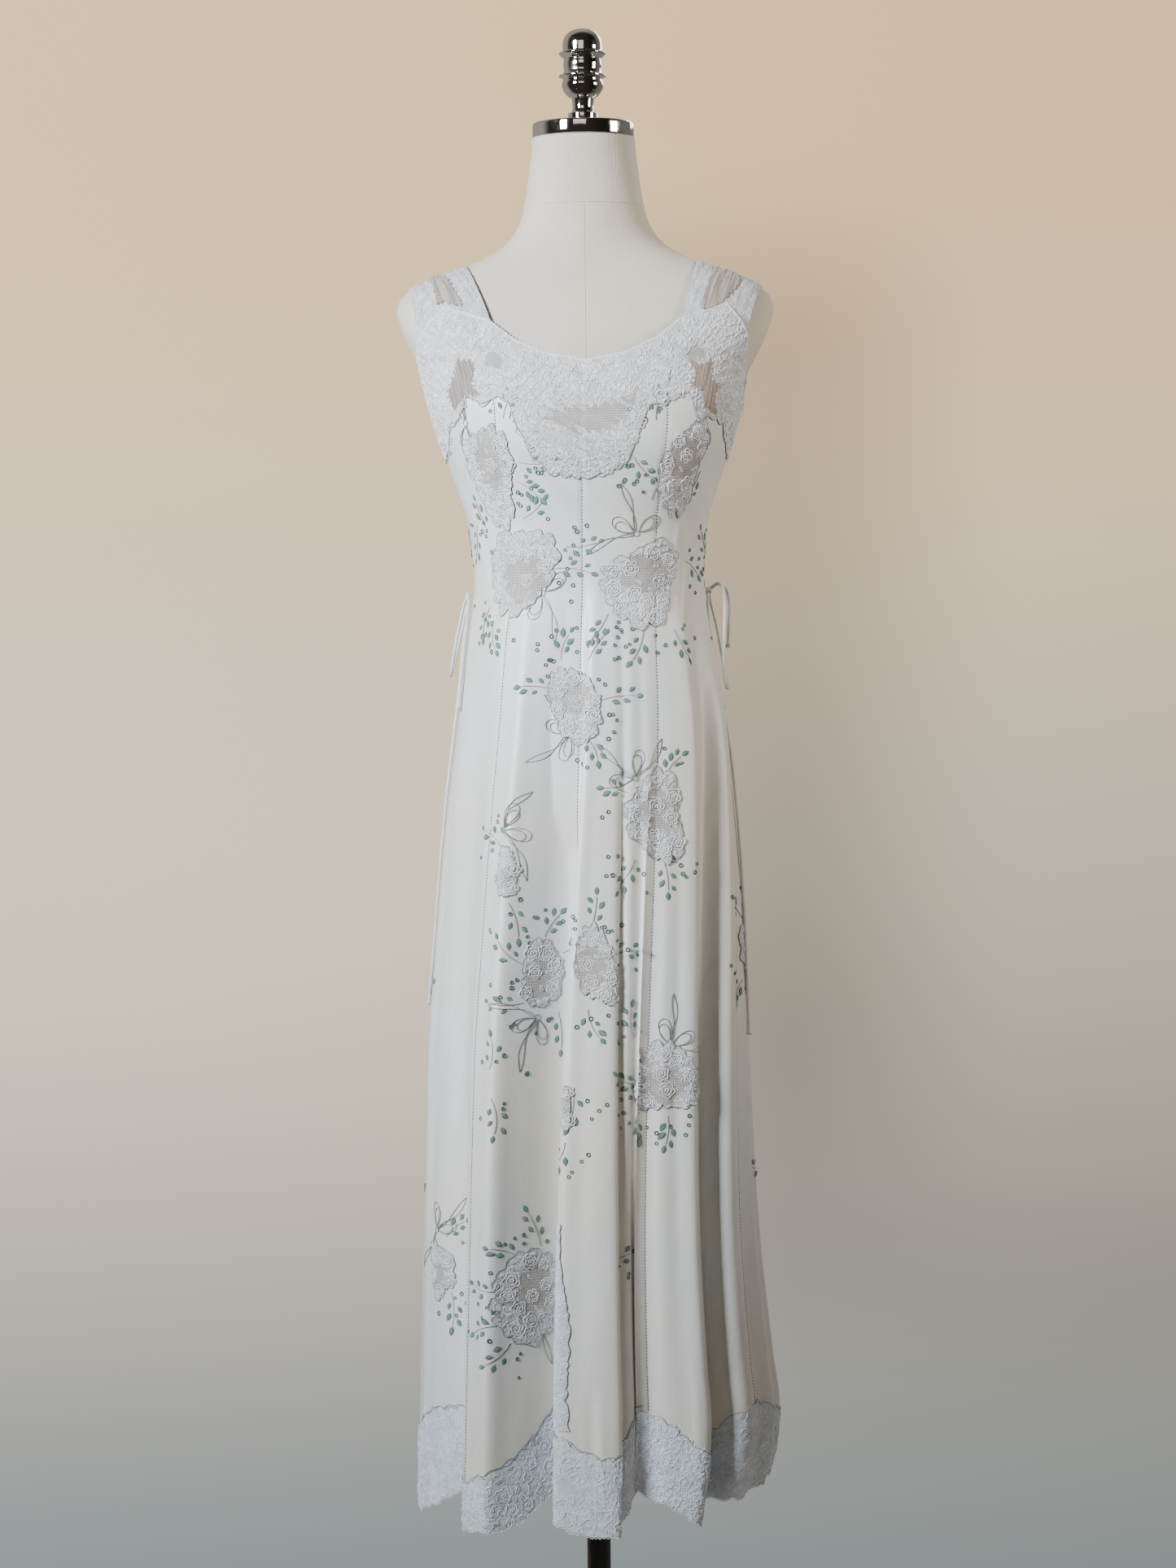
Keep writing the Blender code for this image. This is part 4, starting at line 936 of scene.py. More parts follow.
def grown_mesh(name, seed_mesh, tree, values):
    """The mesh that a geometry tree makes from a seed mesh, with its inputs set by name."""
    carrier = bpy.data.objects.new(name + "_seed", seed_mesh)
    bpy.context.scene.collection.objects.link(carrier)
    modifier = carrier.modifiers.new(tree.name, "NODES")
    modifier.node_group = tree
    for item in tree.interface.items_tree:
        is_input = item.item_type == "SOCKET" and item.in_out == "INPUT"
        if is_input and item.name in values:
            modifier[item.identifier] = values[item.name]
    carrier.update_tag()
    graph = bpy.context.evaluated_depsgraph_get()
    mesh = bpy.data.meshes.new_from_object(carrier.evaluated_get(graph))
    mesh.name = name
    bpy.data.objects.remove(carrier, do_unlink=True)
    return mesh


def shared_group(name, build):
    """A node group that is built once and found again by its name."""
    return bpy.data.node_groups.get(name) or build()


def path_mesh(name, paths):
    """A mesh of edges along (points, closed, weight) paths."""
    mesh = bpy.data.meshes.new(name)
    points, edges, weights = [], [], []
    for path, closed, weight in paths:
        first = len(points)
        points += [tuple(point) for point in path]
        count = len(path)
        edges += [(first + i, first + i + 1) for i in range(count - 1)]
        if closed:
            edges.append((first + count - 1, first))
        weights += [weight] * count
    mesh.from_pydata(points, edges, [])
    mesh.attributes.new("weight", "FLOAT", "POINT").data.foreach_set("value", weights)
    return mesh


Spot = namedtuple("Spot", "point facing along weight")


def spot_mesh(name, spots):
    """A mesh of loose points with the attributes that the scatter tree reads."""
    mesh = bpy.data.meshes.new(name)
    mesh.from_pydata([tuple(spot.point) for spot in spots], [], [])
    for label in ("facing", "along"):
        values = np.array([getattr(spot, label) for spot in spots], np.float32).ravel()
        mesh.attributes.new(label, "FLOAT_VECTOR", "POINT").data.foreach_set("vector", values)
    weights = np.array([spot.weight for spot in spots], np.float32)
    mesh.attributes.new("weight", "FLOAT", "POINT").data.foreach_set("value", weights)
    return mesh


def add_threads(name, paths, thickness, material, sides=5):
    """A piece of round threads along paths on the cloth."""
    values = {"Thickness": thickness, "Sides": sides, "Material": material}
    tree = shared_group("Thread", thread_tree)
    mesh = grown_mesh(name, path_mesh(name + "_paths", paths), tree, values)
    return add_piece(name, mesh, material, "lace")


def add_scattered(name, spots, template, size, variation, seed, material):
    """A piece of like shapes set on spots of the cloth."""
    source = bpy.data.objects.new(name + "_template", template)
    bpy.context.scene.collection.objects.link(source)
    values = {
        "Template": source,
        "Size": size,
        "Size Variation": variation,
        "Seed": seed,
        "Material": material,
    }
    tree = shared_group("Scatter", scatter_tree)
    mesh = grown_mesh(name, spot_mesh(name + "_spots", spots), tree, values)
    bpy.data.objects.remove(source, do_unlink=True)
    return add_piece(name, mesh, material, "lace")


# Shader node groups and materials


def new_shader_group(name, inputs, outputs):
    """A shader node group, with (name, kind, default) inputs and (name, kind) outputs."""
    group = bpy.data.node_groups.new(name, "ShaderNodeTree")
    for label, kind, default in inputs:
        socket = group.interface.new_socket(label, in_out="INPUT", socket_type=kind)
        if default is not None:
            socket.default_value = default
    for label, kind in outputs:
        group.interface.new_socket(label, in_out="OUTPUT", socket_type=kind)
    return group, group.nodes.new("NodeGroupInput"), group.nodes.new("NodeGroupOutput")


def feed(tree, socket, value):
    """Gives an input a number or a triple, or links another node's output to it."""
    if isinstance(value, bpy.types.NodeSocket):
        tree.links.new(value, socket)
    elif socket.type == "RGBA":
        socket.default_value = (*value[:3], 1.0)
    else:
        socket.default_value = value


def feed_all(tree, node, **values):
    """Feeds a node's inputs by their names, with spaces written as underscores."""
    for name, value in values.items():
        feed(tree, node.inputs[name.replace("_", " ")], value)


def maths(tree, operation, *values):
    """A maths node whose inputs are numbers or sockets. Returns its output."""
    node = new_node(tree, "ShaderNodeMath", operation=operation)
    for socket, value in zip(node.inputs, values):
        feed(tree, socket, value)
    return node.outputs["Value"]


def vectors(tree, operation, *values):
    """A vector maths node whose inputs are triples or sockets. Returns its vector output."""
    node = new_node(tree, "ShaderNodeVectorMath", operation=operation)
    for socket, value in zip(node.inputs, values):
        feed(tree, socket, value)
    return node.outputs["Vector"]


def remap(tree, value, low, high, to_low=0.0, to_high=1.0):
    """A smooth step of a value from one range into another."""
    node = new_node(tree, "ShaderNodeMapRange", interpolation_type="SMOOTHSTEP")
    feed_all(tree, node, Value=value, From_Min=low, From_Max=high, To_Min=to_low, To_Max=to_high)
    return node.outputs["Result"]


def mixed_colour(tree, share, one, two, blend="MIX"):
    """A mix of two colours, each a triple or a socket."""
    node = new_node(tree, "ShaderNodeMix", data_type="RGBA", blend_type=blend, clamp_factor=True)
    feed(tree, next(socket for socket in node.inputs if socket.type == "VALUE"), share)
    for socket, value in zip((socket for socket in node.inputs if socket.type == "RGBA"), (one, two)):
        feed(tree, socket, value)
    return next(socket for socket in node.outputs if socket.type == "RGBA")


def noise(tree, vector, scale, detail=3.0, roughness=0.5):
    """A noise texture's value."""
    node = new_node(tree, "ShaderNodeTexNoise")
    feed_all(tree, node, Vector=vector, Scale=scale, Detail=detail, Roughness=roughness)
    return node.outputs[0]


def stretched(tree, vector, scale):
    """A vector scaled by a triple."""
    return vectors(tree, "MULTIPLY", vector, scale)


def product(tree, one, two):
    """Two values multiplied, each a number or a socket."""
    return maths(tree, "MULTIPLY", one, two)


def total(tree, one, two):
    """Two values added, each a number or a socket."""
    return maths(tree, "ADD", one, two)


BLACK, WHITE = (0.0, 0.0, 0.0), (1.0, 1.0, 1.0)


def toned(colour, gain):
    """A colour times a number, up to white."""
    return tuple(min(1.0, value * gain) for value in colour)


def shaded(tree, colour, share, dark=BLACK):
    """A colour multiplied by a shade that runs from dark where the share is 0 to white where it is 1."""
    return mixed_colour(tree, 1.0, colour, mixed_colour(tree, share, dark, WHITE), "MULTIPLY")


def edge_cells(tree, vector, scale, randomness):
    """How far points are from the edges of flat, uneven cells."""
    cells = new_node(tree, "ShaderNodeTexVoronoi", voronoi_dimensions="2D", feature="DISTANCE_TO_EDGE")
    feed_all(tree, cells, Vector=vector, Scale=scale, Randomness=randomness)
    return cells.outputs["Distance"]


def weave_group():
    """Crossed yarns of a cloth: their relief, and slubs as a slow streaky tone."""
    inputs = [("Vector", "NodeSocketVector", None), ("Yarns", "NodeSocketFloat", 2500.0)]
    outputs = [("Relief", "NodeSocketFloat"), ("Slub", "NodeSocketFloat")]
    group, start, end = new_shader_group("Weave", inputs, outputs)
    parts = group.nodes.new("ShaderNodeSeparateXYZ")
    group.links.new(start.outputs["Vector"], parts.inputs["Vector"])
    waves = []
    for axis in ("X", "Y"):
        waves.append(maths(group, "SINE", product(group, parts.outputs[axis], start.outputs["Yarns"])))
    crossed = product(group, waves[0], waves[1])
    relief = total(group, product(group, crossed, 0.35), product(group, waves[0], 0.3))
    fine = noise(group, stretched(group, start.outputs["Vector"], (900.0, 60.0, 60.0)), 1.0, 2.0)
    wide = noise(group, stretched(group, start.outputs["Vector"], (60.0, 5.0, 5.0)), 1.0, 3.0)
    slub = total(group, product(group, fine, 0.5), product(group, wide, 0.5))
    group.links.new(total(group, relief, product(group, fine, 0.6)), end.inputs["Relief"])
    group.links.new(slub, end.inputs["Slub"])
    return group


def net_group():
    """A net of fine threads: the mask and relief of its threads, for a cell size in metres."""
    inputs = [("Vector", "NodeSocketVector", None), ("Cell", "NodeSocketFloat", 0.0014)]
    outputs = [("Thread", "NodeSocketFloat")]
    group, start, end = new_shader_group("Net", inputs, outputs)
    scale = maths(group, "DIVIDE", 1.0, start.outputs["Cell"])
    distance = edge_cells(group, start.outputs["Vector"], scale, 0.45)
    group.links.new(remap(group, distance, 0.10, 0.22, 1.0, 0.0), end.inputs["Thread"])
    return group


def lacework_group():
    """Close lacework: the cord round small curved cells, and the cells that are filled in."""
    inputs = [("Vector", "NodeSocketVector", None), ("Cell", "NodeSocketFloat", 0.008)]
    outputs = [("Cord", "NodeSocketFloat"), ("Fill", "NodeSocketFloat")]
    group, start, end = new_shader_group("Lacework", inputs, outputs)
    scaled = new_node(group, "ShaderNodeVectorMath", operation="SCALE")
    feed(group, scaled.inputs[0], start.outputs["Vector"])
    feed_all(group, scaled, Scale=maths(group, "DIVIDE", 1.0, start.outputs["Cell"]))
    warp = new_node(group, "ShaderNodeTexNoise")
    feed_all(group, warp, Vector=scaled.outputs["Vector"], Scale=1.3, Detail=1.0)
    shifted = vectors(group, "SUBTRACT", warp.outputs["Color"], (0.5, 0.5, 0.5))
    bent = vectors(group, "ADD", scaled.outputs["Vector"], stretched(group, shifted, (1.1, 1.1, 0.0)))
    randomness = 0.85
    wide, fine = (edge_cells(group, bent, scale, randomness) for scale in (1.0, 2.4))
    cords = [remap(group, wide, 0.03, 0.11, 1.0, 0.0), remap(group, fine, 0.06, 0.18, 1.0, 0.0)]
    gaps = [remap(group, wide, 0.08, 0.13), remap(group, wide, 0.20, 0.27, 1.0, 0.0)]
    filled = new_node(group, "ShaderNodeTexVoronoi", voronoi_dimensions="2D")
    feed_all(group, filled, Vector=bent, Scale=1.0, Randomness=randomness)
    tint = group.nodes.new("ShaderNodeSeparateColor")
    group.links.new(filled.outputs["Color"], tint.inputs["Color"])
    cord = maths(group, "MAXIMUM", cords[0], product(group, cords[1], 0.6))
    group.links.new(cord, end.inputs["Cord"])
    inner = maths(group, "SUBTRACT", 1.0, product(group, gaps[0], gaps[1]))
    shut = remap(group, tint.outputs["Red"], 0.34, 0.44)
    group.links.new(product(group, shut, inner), end.inputs["Fill"])
    return group


def use_group(tree, build, name, **values):
    """A group's node in a material, with values or sockets set by the inputs' names."""
    node = new_node(tree, "ShaderNodeGroup", node_tree=shared_group(name, build))
    feed_all(tree, node, **values)
    return node


def new_material(name, roughness, metallic=0.0, **constants):
    """A Principled material with constants set on the shader's own sockets. Returns it and its parts."""
    material = bpy.data.materials.new(name)
    material.use_nodes = True
    tree = material.node_tree
    shader = tree.nodes["Principled BSDF"]
    shader.inputs["Roughness"].default_value = roughness
    shader.inputs["Metallic"].default_value = metallic
    for label, value in constants.items():
        shader.inputs[label.replace("_", " ")].default_value = value
    return material, tree, shader


def texture_source(tree, kind):
    """The Object or UV output of a Texture Coordinate node."""
    return tree.nodes.new("ShaderNodeTexCoord").outputs[kind]


def add_bump(tree, shader, height, distance, strength=1.0):
    """Relief of a material, from a height."""
    relief = new_node(tree, "ShaderNodeBump")
    feed_all(tree, relief, Distance=distance, Strength=strength, Height=height)
    tree.links.new(relief.outputs["Normal"], shader.inputs["Normal"])


def satin_material(colour):
    """Satin, a little warmer and cooler in patches, with streaks of slub."""
    constants = {"Sheen Weight": 0.2, "Sheen Roughness": 0.4, "Specular IOR Level": 0.75}
    material, tree, shader = new_material("satin_cloth", 0.46, **constants)
    flat, solid = texture_source(tree, "UV"), texture_source(tree, "Object")
    weave = use_group(tree, weave_group, "Weave", Vector=flat, Yarns=5200.0)
    drift = remap(tree, noise(tree, solid, 4.5, 2.0), 0.3, 0.7)
    warm = tuple(value * gain for value, gain in zip(colour, (1.00, 0.965, 0.885)))
    cool = tuple(value * gain for value, gain in zip(colour, (0.93, 0.98, 1.03)))
    base = mixed_colour(tree, drift, warm, cool)
    streaks = remap(tree, weave.outputs["Slub"], 0.35, 0.65)
    tree.links.new(shaded(tree, base, streaks, toned(WHITE, 0.93)), shader.inputs["Base Color"])
    tree.links.new(remap(tree, weave.outputs["Slub"], 0.3, 0.7, 0.36, 0.48), shader.inputs["Roughness"])
    add_bump(tree, shader, weave.outputs["Relief"], 0.00012, 0.6)
    return material


def lace_material(name, thread_colour, ground_colour, cell=0.008, density=0.7, gather=0.0):
    """Lace over a lining: cord, filled cells and close net, with open net where the piece's open_net says.
    The ground colour is what shows through the net, painted darker as the lining or form in shade under the
    lace.
    """
    material, tree, shader = new_material(name, 0.72, **{"Sheen Weight": 0.2, "Specular IOR Level": 0.3})
    flat = texture_source(tree, "UV")
    net = use_group(tree, net_group, "Net", Vector=flat, Cell=0.0026)
    work = use_group(tree, lacework_group, "Lacework", Vector=flat, Cell=cell)
    openness = new_node(tree, "ShaderNodeAttribute", attribute_name="open_net")
    ragged = product(tree, maths(tree, "SUBTRACT", noise(tree, flat, 120.0, 1.0), 0.5), 1.3)
    open_net = remap(tree, total(tree, openness.outputs["Fac"], ragged), 0.36, 0.44)
    shut = maths(tree, "SUBTRACT", 1.0, open_net)
    fill = product(tree, work.outputs["Fill"], shut)
    cord = product(tree, work.outputs["Cord"], shut)
    dim = tuple(density * 0.86 * a + (1.0 - density) * b for a, b in zip(thread_colour, ground_colour))
    close_net = mixed_colour(tree, open_net, dim, ground_colour)
    netted = mixed_colour(tree, product(tree, net.outputs["Thread"], 0.42), close_net, thread_colour)
    clothed = mixed_colour(tree, fill, netted, toned(thread_colour, 0.94))
    corded = mixed_colour(tree, cord, clothed, thread_colour)
    patchy = remap(tree, noise(tree, flat, 55.0, 3.0, 0.6), 0.35, 0.65, 0.84, 1.0)
    tree.links.new(shaded(tree, corded, patchy), shader.inputs["Base Color"])
    height = total(tree, cord, product(tree, fill, 0.35))
    height = total(tree, height, product(tree, net.outputs["Thread"], 0.25))
    if gather:
        folds = noise(tree, stretched(tree, flat, (1.0 / gather, 9.0, 1.0)), 1.0, 1.0)
        height = total(tree, height, product(tree, folds, 1.2))
    add_bump(tree, shader, height, 0.0005)
    return material


def net_material(name, colour, gather):
    """Sheer net gathered into fine folds, with painted shade in their hollows and a painted highlight on
    their crests.
    """
    material, tree, shader = new_material(name, 0.78, **{"Sheen Weight": 0.3, "Specular IOR Level": 0.25})
    flat = texture_source(tree, "UV")
    net = use_group(tree, net_group, "Net", Vector=flat, Cell=0.0011)
    folds = noise(tree, stretched(tree, flat, (1.0 / gather, 14.0, 1.0)), 1.0, 2.0)
    # Painted shade and highlight of the gathers: darker where the folds' relief is low, lighter where it is
    # high.
    light = toned(colour, 1.35)
    tone = mixed_colour(tree, remap(tree, folds, 0.36, 0.64), toned(colour, 0.62), light)
    base = mixed_colour(tree, product(tree, net.outputs["Thread"], 0.4), tone, light)
    tree.links.new(base, shader.inputs["Base Color"])
    height = total(tree, product(tree, folds, 3.0), product(tree, net.outputs["Thread"], 0.3))
    add_bump(tree, shader, height, 0.0006, 0.8)
    return material


def thread_material(name, colour, spread=0.12):
    """Twisted sewing thread of a slightly changing shade."""
    material, tree, shader = new_material(name, 0.55, **{"Sheen Weight": 0.3})
    solid = texture_source(tree, "Object")
    shade = remap(tree, noise(tree, solid, 140.0, 2.0), 0.3, 0.7)
    base = mixed_colour(tree, shade, toned(colour, 1.0 - spread), toned(colour, 1.0 + spread))
    tree.links.new(base, shader.inputs["Base Color"])
    add_bump(tree, shader, noise(tree, solid, 2600.0, 1.0), 0.0003, 0.7)
    return material


def leaf_material(colour, rim_colour):
    """Satin stitch: bars of thread across the leaf with painted shade in the grooves between them, darker
    towards its rim.
    """
    material, tree, shader = new_material("satin_stitch", 0.42, **{"Sheen Weight": 0.3})
    flat = texture_source(tree, "UV")
    parts = tree.nodes.new("ShaderNodeSeparateXYZ")
    tree.links.new(flat, parts.inputs["Vector"])
    rim = remap(tree, maths(tree, "ABSOLUTE", maths(tree, "SUBTRACT", parts.outputs["Y"], 0.5)), 0.24, 0.44)
    bars = maths(tree, "SINE", product(tree, parts.outputs["X"], 110.0))
    # Painted shade in the grooves between the bars, where their relief is low.
    painted_groove_shade = remap(tree, bars, -1.0, 1.0, 0.82, 1.0)
    drift = noise(tree, texture_source(tree, "Object"), 60.0)
    body = mixed_colour(tree, rim, mixed_colour(tree, drift, colour, toned(colour, 0.8)), rim_colour)
    tree.links.new(shaded(tree, body, painted_groove_shade), shader.inputs["Base Color"])
    add_bump(tree, shader, bars, 0.0001, 0.8)
    return material


def linen_material(colour):
    """Matt jersey stretched over padding, slightly soiled."""
    constants = {"Sheen Weight": 0.3, "Specular IOR Level": 0.2}
    material, tree, shader = new_material("linen_cover", 0.88, **constants)
    solid = texture_source(tree, "Object")
    weave = use_group(tree, weave_group, "Weave", Vector=solid, Yarns=4200.0)
    soil = remap(tree, noise(tree, solid, 9.0, 4.0, 0.6), 0.35, 0.7)
    base = mixed_colour(tree, soil, colour, toned(colour, 0.88))
    grain = remap(tree, noise(tree, solid, 700.0, 2.0), 0.3, 0.7, 0.93, 1.0)
    tree.links.new(shaded(tree, base, grain), shader.inputs["Base Color"])
    lumps = product(tree, noise(tree, solid, 60.0, 2.0), 4.0)
    add_bump(tree, shader, total(tree, weave.outputs["Relief"], lumps), 0.0002, 0.7)
    return material


def chrome_material():
    """Polished chrome with faint wiping marks and a little dulling in patches."""
    material, tree, shader = new_material("polished_chrome", 0.07, 1.0)
    solid = texture_source(tree, "Object")
    marks = remap(tree, noise(tree, solid, 45.0, 5.0, 0.65), 0.45, 0.75, 0.04, 0.16)
    tree.links.new(marks, shader.inputs["Roughness"])
    tint = mixed_colour(tree, noise(tree, solid, 18.0), (0.93, 0.91, 0.87), (0.84, 0.82, 0.78))
    tree.links.new(tint, shader.inputs["Base Color"])
    add_bump(tree, shader, noise(tree, solid, 30.0, 2.0), 0.0002, 0.15)
    return material


def black_material():
    """Black powder coat, slightly orange-peeled and scuffed."""
    material, tree, shader = new_material("powder_coat", 0.4)
    solid = texture_source(tree, "Object")
    scuffs = remap(tree, noise(tree, solid, 60.0, 6.0, 0.7), 0.55, 0.75)
    base = mixed_colour(tree, scuffs, (0.012, 0.013, 0.015), (0.045, 0.045, 0.045))
    tree.links.new(base, shader.inputs["Base Color"])
    tree.links.new(remap(tree, scuffs, 0.0, 1.0, 0.36, 0.55), shader.inputs["Roughness"])
    add_bump(tree, shader, noise(tree, solid, 900.0, 2.0), 0.0002, 0.35)
    return material


def tie_material(colour):
    """Satin bias tube: a soft shine with fine puckers across it."""
    material, tree, shader = new_material("satin_tube", 0.38, **{"Sheen Weight": 0.2})
    solid = texture_source(tree, "Object")
    shade = remap(tree, noise(tree, solid, 55.0, 2.0), 0.3, 0.7)
    tree.links.new(mixed_colour(tree, shade, toned(colour, 0.9), colour), shader.inputs["Base Color"])
    puckers = noise(tree, stretched(tree, solid, (300.0, 300.0, 900.0)), 1.0, 2.0)
    add_bump(tree, shader, puckers, 0.0004, 0.6)
    return material


def shared_material(name, build):
    """A material that is built once and found again by its name."""
    return bpy.data.materials.get(name) or build()


def dress_settings():
    return bpy.context.scene.slip_dress


def dress_colour(name):
    """A colour of the dress's settings, as a triple."""
    return tuple(getattr(dress_settings(), name))


def satin():
    return shared_material("satin_cloth", lambda: satin_material(dress_colour("satin_colour")))


def lace_finish(name, cell, density, gather=0.0, threads="lace_colour", ground="net_ground_colour"):
    """One of the dress's laces, made once."""
    colours = dress_colour(threads), dress_colour(ground)
    return shared_material(name, lambda: lace_material(name, *colours, cell, density, gather))


def yoke_lace():
    return lace_finish("yoke_lace", 0.0085, 0.42)


def medallion_lace():
    return lace_finish("medallion_lace", 0.0080, 0.22)


def border_lace():
    return lace_finish("border_lace", 0.0080, 0.55, 0.0, "hem_lace_colour", "hem_ground_colour")


def gathered_lace():
    return lace_finish("gathered_lace", 0.0070, 0.46, 0.004)


def dress_thread(name, colour, spread=0.12):
    """One of the dress's threads, made once."""
    return shared_material(name, lambda: thread_material(name, dress_colour(colour), spread))


def lace_thread():
    return dress_thread("lace_thread", "lace_colour", 0.05)


def hem_thread():
    return dress_thread("hem_thread", "hem_lace_colour", 0.05)


def outline_thread():
    return dress_thread("outline_thread", "outline_colour")


def drawing_thread():
    return dress_thread("drawing_thread", "thread_colour")


# Cloth pieces


def cut_size(points):
    """Width, length and area of a cloth piece laid flat, from the grid of its outer face."""
    across = np.linalg.norm(np.diff(points, axis=1), axis=-1)
    down = np.linalg.norm(np.diff(points, axis=0), axis=-1)
    cells = 0.25 * (across[:-1] + across[1:]) * (down[:, :-1] + down[:, 1:])
    width, length = float(across.sum(axis=1).max()), float(down.sum(axis=0).max())
    return width, length, min(float(cells.sum()), 0.99 * width * length)


def build_panel(panel, level, top, bottom, lift, thickness, material, slot, openness=None):
    """One cloth panel between two seams, standing for its CAD node."""
    settings = dress_settings()
    step = (settings.across_step, settings.up_step)
    if slot == "lace":
        step = (settings.lace_step, settings.lace_step * 1.6)
    stations, heights = panel_places(panel.first, panel.last, top, bottom, step[0], level, step[1])
    mesh = cloth_shell(panel.name + "_cloth", stations, heights, lift, thickness, openness)
    piece = add_piece(panel.name + "_cloth", mesh, material, slot, [panel.name])
    cloth_points(stations, heights, lift)
    return piece


# Straps

Strap = namedtuple("Strap", "name front_inner front_outer back_inner back_outer crest_inner crest_outer")
STRAPS = [
    Strap("strap_left", 3 + 1 / 3, 2, 24 + 1 / 3, 26 + 2 / 3, -0.1260, -0.1850),
    Strap("strap_right", 10, 13, 20, 17, 0.1190, 0.1860),
]
StrapGather = namedtuple("StrapGather", "folds depth wander")
STRAP_GATHERS = [
    StrapGather(8.0, 0.00035, 0.9),
    StrapGather(15.0, 0.00020, 2.3),
]


def form_reach(x, tilt):
    """Distance from the shoulder's core line to the form's surface, at x, in a direction tilted up from
    the front by an angle. Takes and returns arrays."""
    core_y, core_z = SHOULDER_CORE
    near, far = np.zeros(np.shape(x)), np.full(np.shape(x), 0.2)
    for _ in range(36):
        middle = 0.5 * (near + far)
        y = core_y - middle * np.cos(tilt)
        half, front, back, squareness = form_section(core_z + middle * np.sin(tilt))
        depth = np.where(y > 0, back, front)
        inside = (np.abs(x) / half) ** squareness + (np.abs(y) / depth) ** squareness < 1.0
        near, far = np.where(inside, middle, near), np.where(inside, far, middle)
    return near


def strap_points(strap, along, share, lift=0.0):
    """Points of a strap's gathered outer face. along runs from the front to the back, share from the neck
    edge to the outer edge."""
    along, share = np.broadcast_arrays(np.asarray(along, float), np.asarray(share, float))
    core_y, core_z = SHOULDER_CORE
    ends = []
    for inner, outer in ((strap.front_inner, strap.front_outer), (strap.back_inner, strap.back_outer)):
        station = inner + (outer - inner) * share
        point = dress_points(station, edge_height(TOP_EDGE, station) + 0.00015)
        tilt = np.arctan2(point[..., 2] - core_z, core_y - point[..., 1])
        tilt = np.where(tilt < -math.pi / 2, tilt + 2 * math.pi, tilt)
        distance = np.hypot(point[..., 2] - core_z, core_y - point[..., 1])
        ends.append((point[..., 0], tilt, distance - form_reach(point[..., 0], tilt)))
    crest = strap.crest_inner + (strap.crest_outer - strap.crest_inner) * share
    end_x = np.where(along < 0.5, ends[0][0], ends[1][0])
    end_lift = np.where(along < 0.5, ends[0][2], ends[1][2])
    rise = np.sin(math.pi * np.clip(along, 0.0, 1.0))
    tilt = ends[0][1] + (ends[1][1] - ends[0][1]) * along
    x = end_x + (crest - end_x) * rise
    gathers = np.zeros(along.shape)
    for gather in STRAP_GATHERS:
        phase = share * gather.folds + 0.35 * np.sin(along * 9.0 + gather.wander)
        gathers += gather.depth * np.sin(2 * math.pi * phase)
    distance = form_reach(x, tilt) + end_lift + (STRAP_LIFT - end_lift) * np.sqrt(rise)
    distance = distance + gathers * np.minimum(1.0, 4.0 * rise) + lift
    return np.stack([x, core_y - distance * np.cos(tilt), core_z + distance * np.sin(tilt)], axis=-1)


# Patches: flat outlines laid on a surface and filled with rings of points


def patch_parts(surface, outline, rings, lift, thickness, flat_centre=(0.0, 0.0), openness=None):
    """Points, faces, flat places and open net of a thin closed patch on surface(across, up, lift)."""
    outline = np.asarray(outline, float)
    middle = outline.mean(axis=0)
    shares = np.linspace(0.0, 1.0, rings + 1)[1:, None, None]
    grid = middle + (outline - middle) * shares
    flat = np.concatenate([middle[None], grid.reshape(-1, 2)])
    count, sides = len(flat), len(outline)
    layers = [surface(flat[:, 0], flat[:, 1], lift), surface(flat[:, 0], flat[:, 1], lift - thickness)]
    faces = []
    for i in range(sides):
        j = (i + 1) % sides
        faces += [[0, 1 + i, 1 + j], [count, count + 1 + j, count + 1 + i]]
        for ring in range(rings - 1):
            a, b = 1 + ring * sides, 1 + (ring + 1) * sides
            faces.append([a + i, b + i, b + j, a + j])
            faces.append([count + a + j, count + b + j, count + b + i, count + a + i])
        edge = 1 + (rings - 1) * sides
        faces.append([edge + i, count + edge + i, count + edge + j, edge + j])
    places = flat + np.array(flat_centre)
    open_net = np.zeros(count) if openness is None else openness(flat)
    return np.concatenate(layers), faces, np.concatenate([places, places]), np.tile(open_net, 2)


def joined_patches(name, parts):
    """One mesh of several patches."""
    points, faces, places, open_net, start = [], [], [], [], 0
    for part_points, part_faces, part_places, part_open in parts:
        points.append(part_points)
        places.append(part_places)
        open_net.append(part_open)
        faces += [[start + corner for corner in face] for face in part_faces]
        start += len(part_points)
    points, places, open_net = map(np.concatenate, (points, places, open_net))
    return new_mesh(name, points, faces, places, open_net=open_net)


def cloth_surface(place):
    return lambda across, up, lift: spread_on_cloth(place, across, up, lift)


def polygon_area(line):
    """Area inside a flat closed line, positive where it runs anticlockwise."""
    return 0.5 * np.sum(line[:, 0] * np.roll(line[:, 1], -1) - line[:, 1] * np.roll(line[:, 0], -1))


def closed_curve(corners, count, jag=0.0, seed=0):
    """A rounded closed outline through corners, with uneven small teeth."""
    corners = np.asarray(corners, float)
    total = len(corners)
    place = np.arange(count) * total / count
    first, t = np.floor(place).astype(int), (place % 1.0)[:, None]
    curve = rounded(*(corners[(first + k) % total] for k in (-1, 0, 1, 2)), t)
    if jag:
        random = np.random.default_rng(seed)
        way = curve - curve.mean(axis=0)
        way /= np.linalg.norm(way, axis=1, keepdims=True)
        teeth = jag * (0.5 + random.random(count)) * np.where(np.arange(count) % 2, 1.0, -0.6)
        curve = curve + way * teeth[:, None]
    return curve if polygon_area(curve) > 0 else curve[::-1]


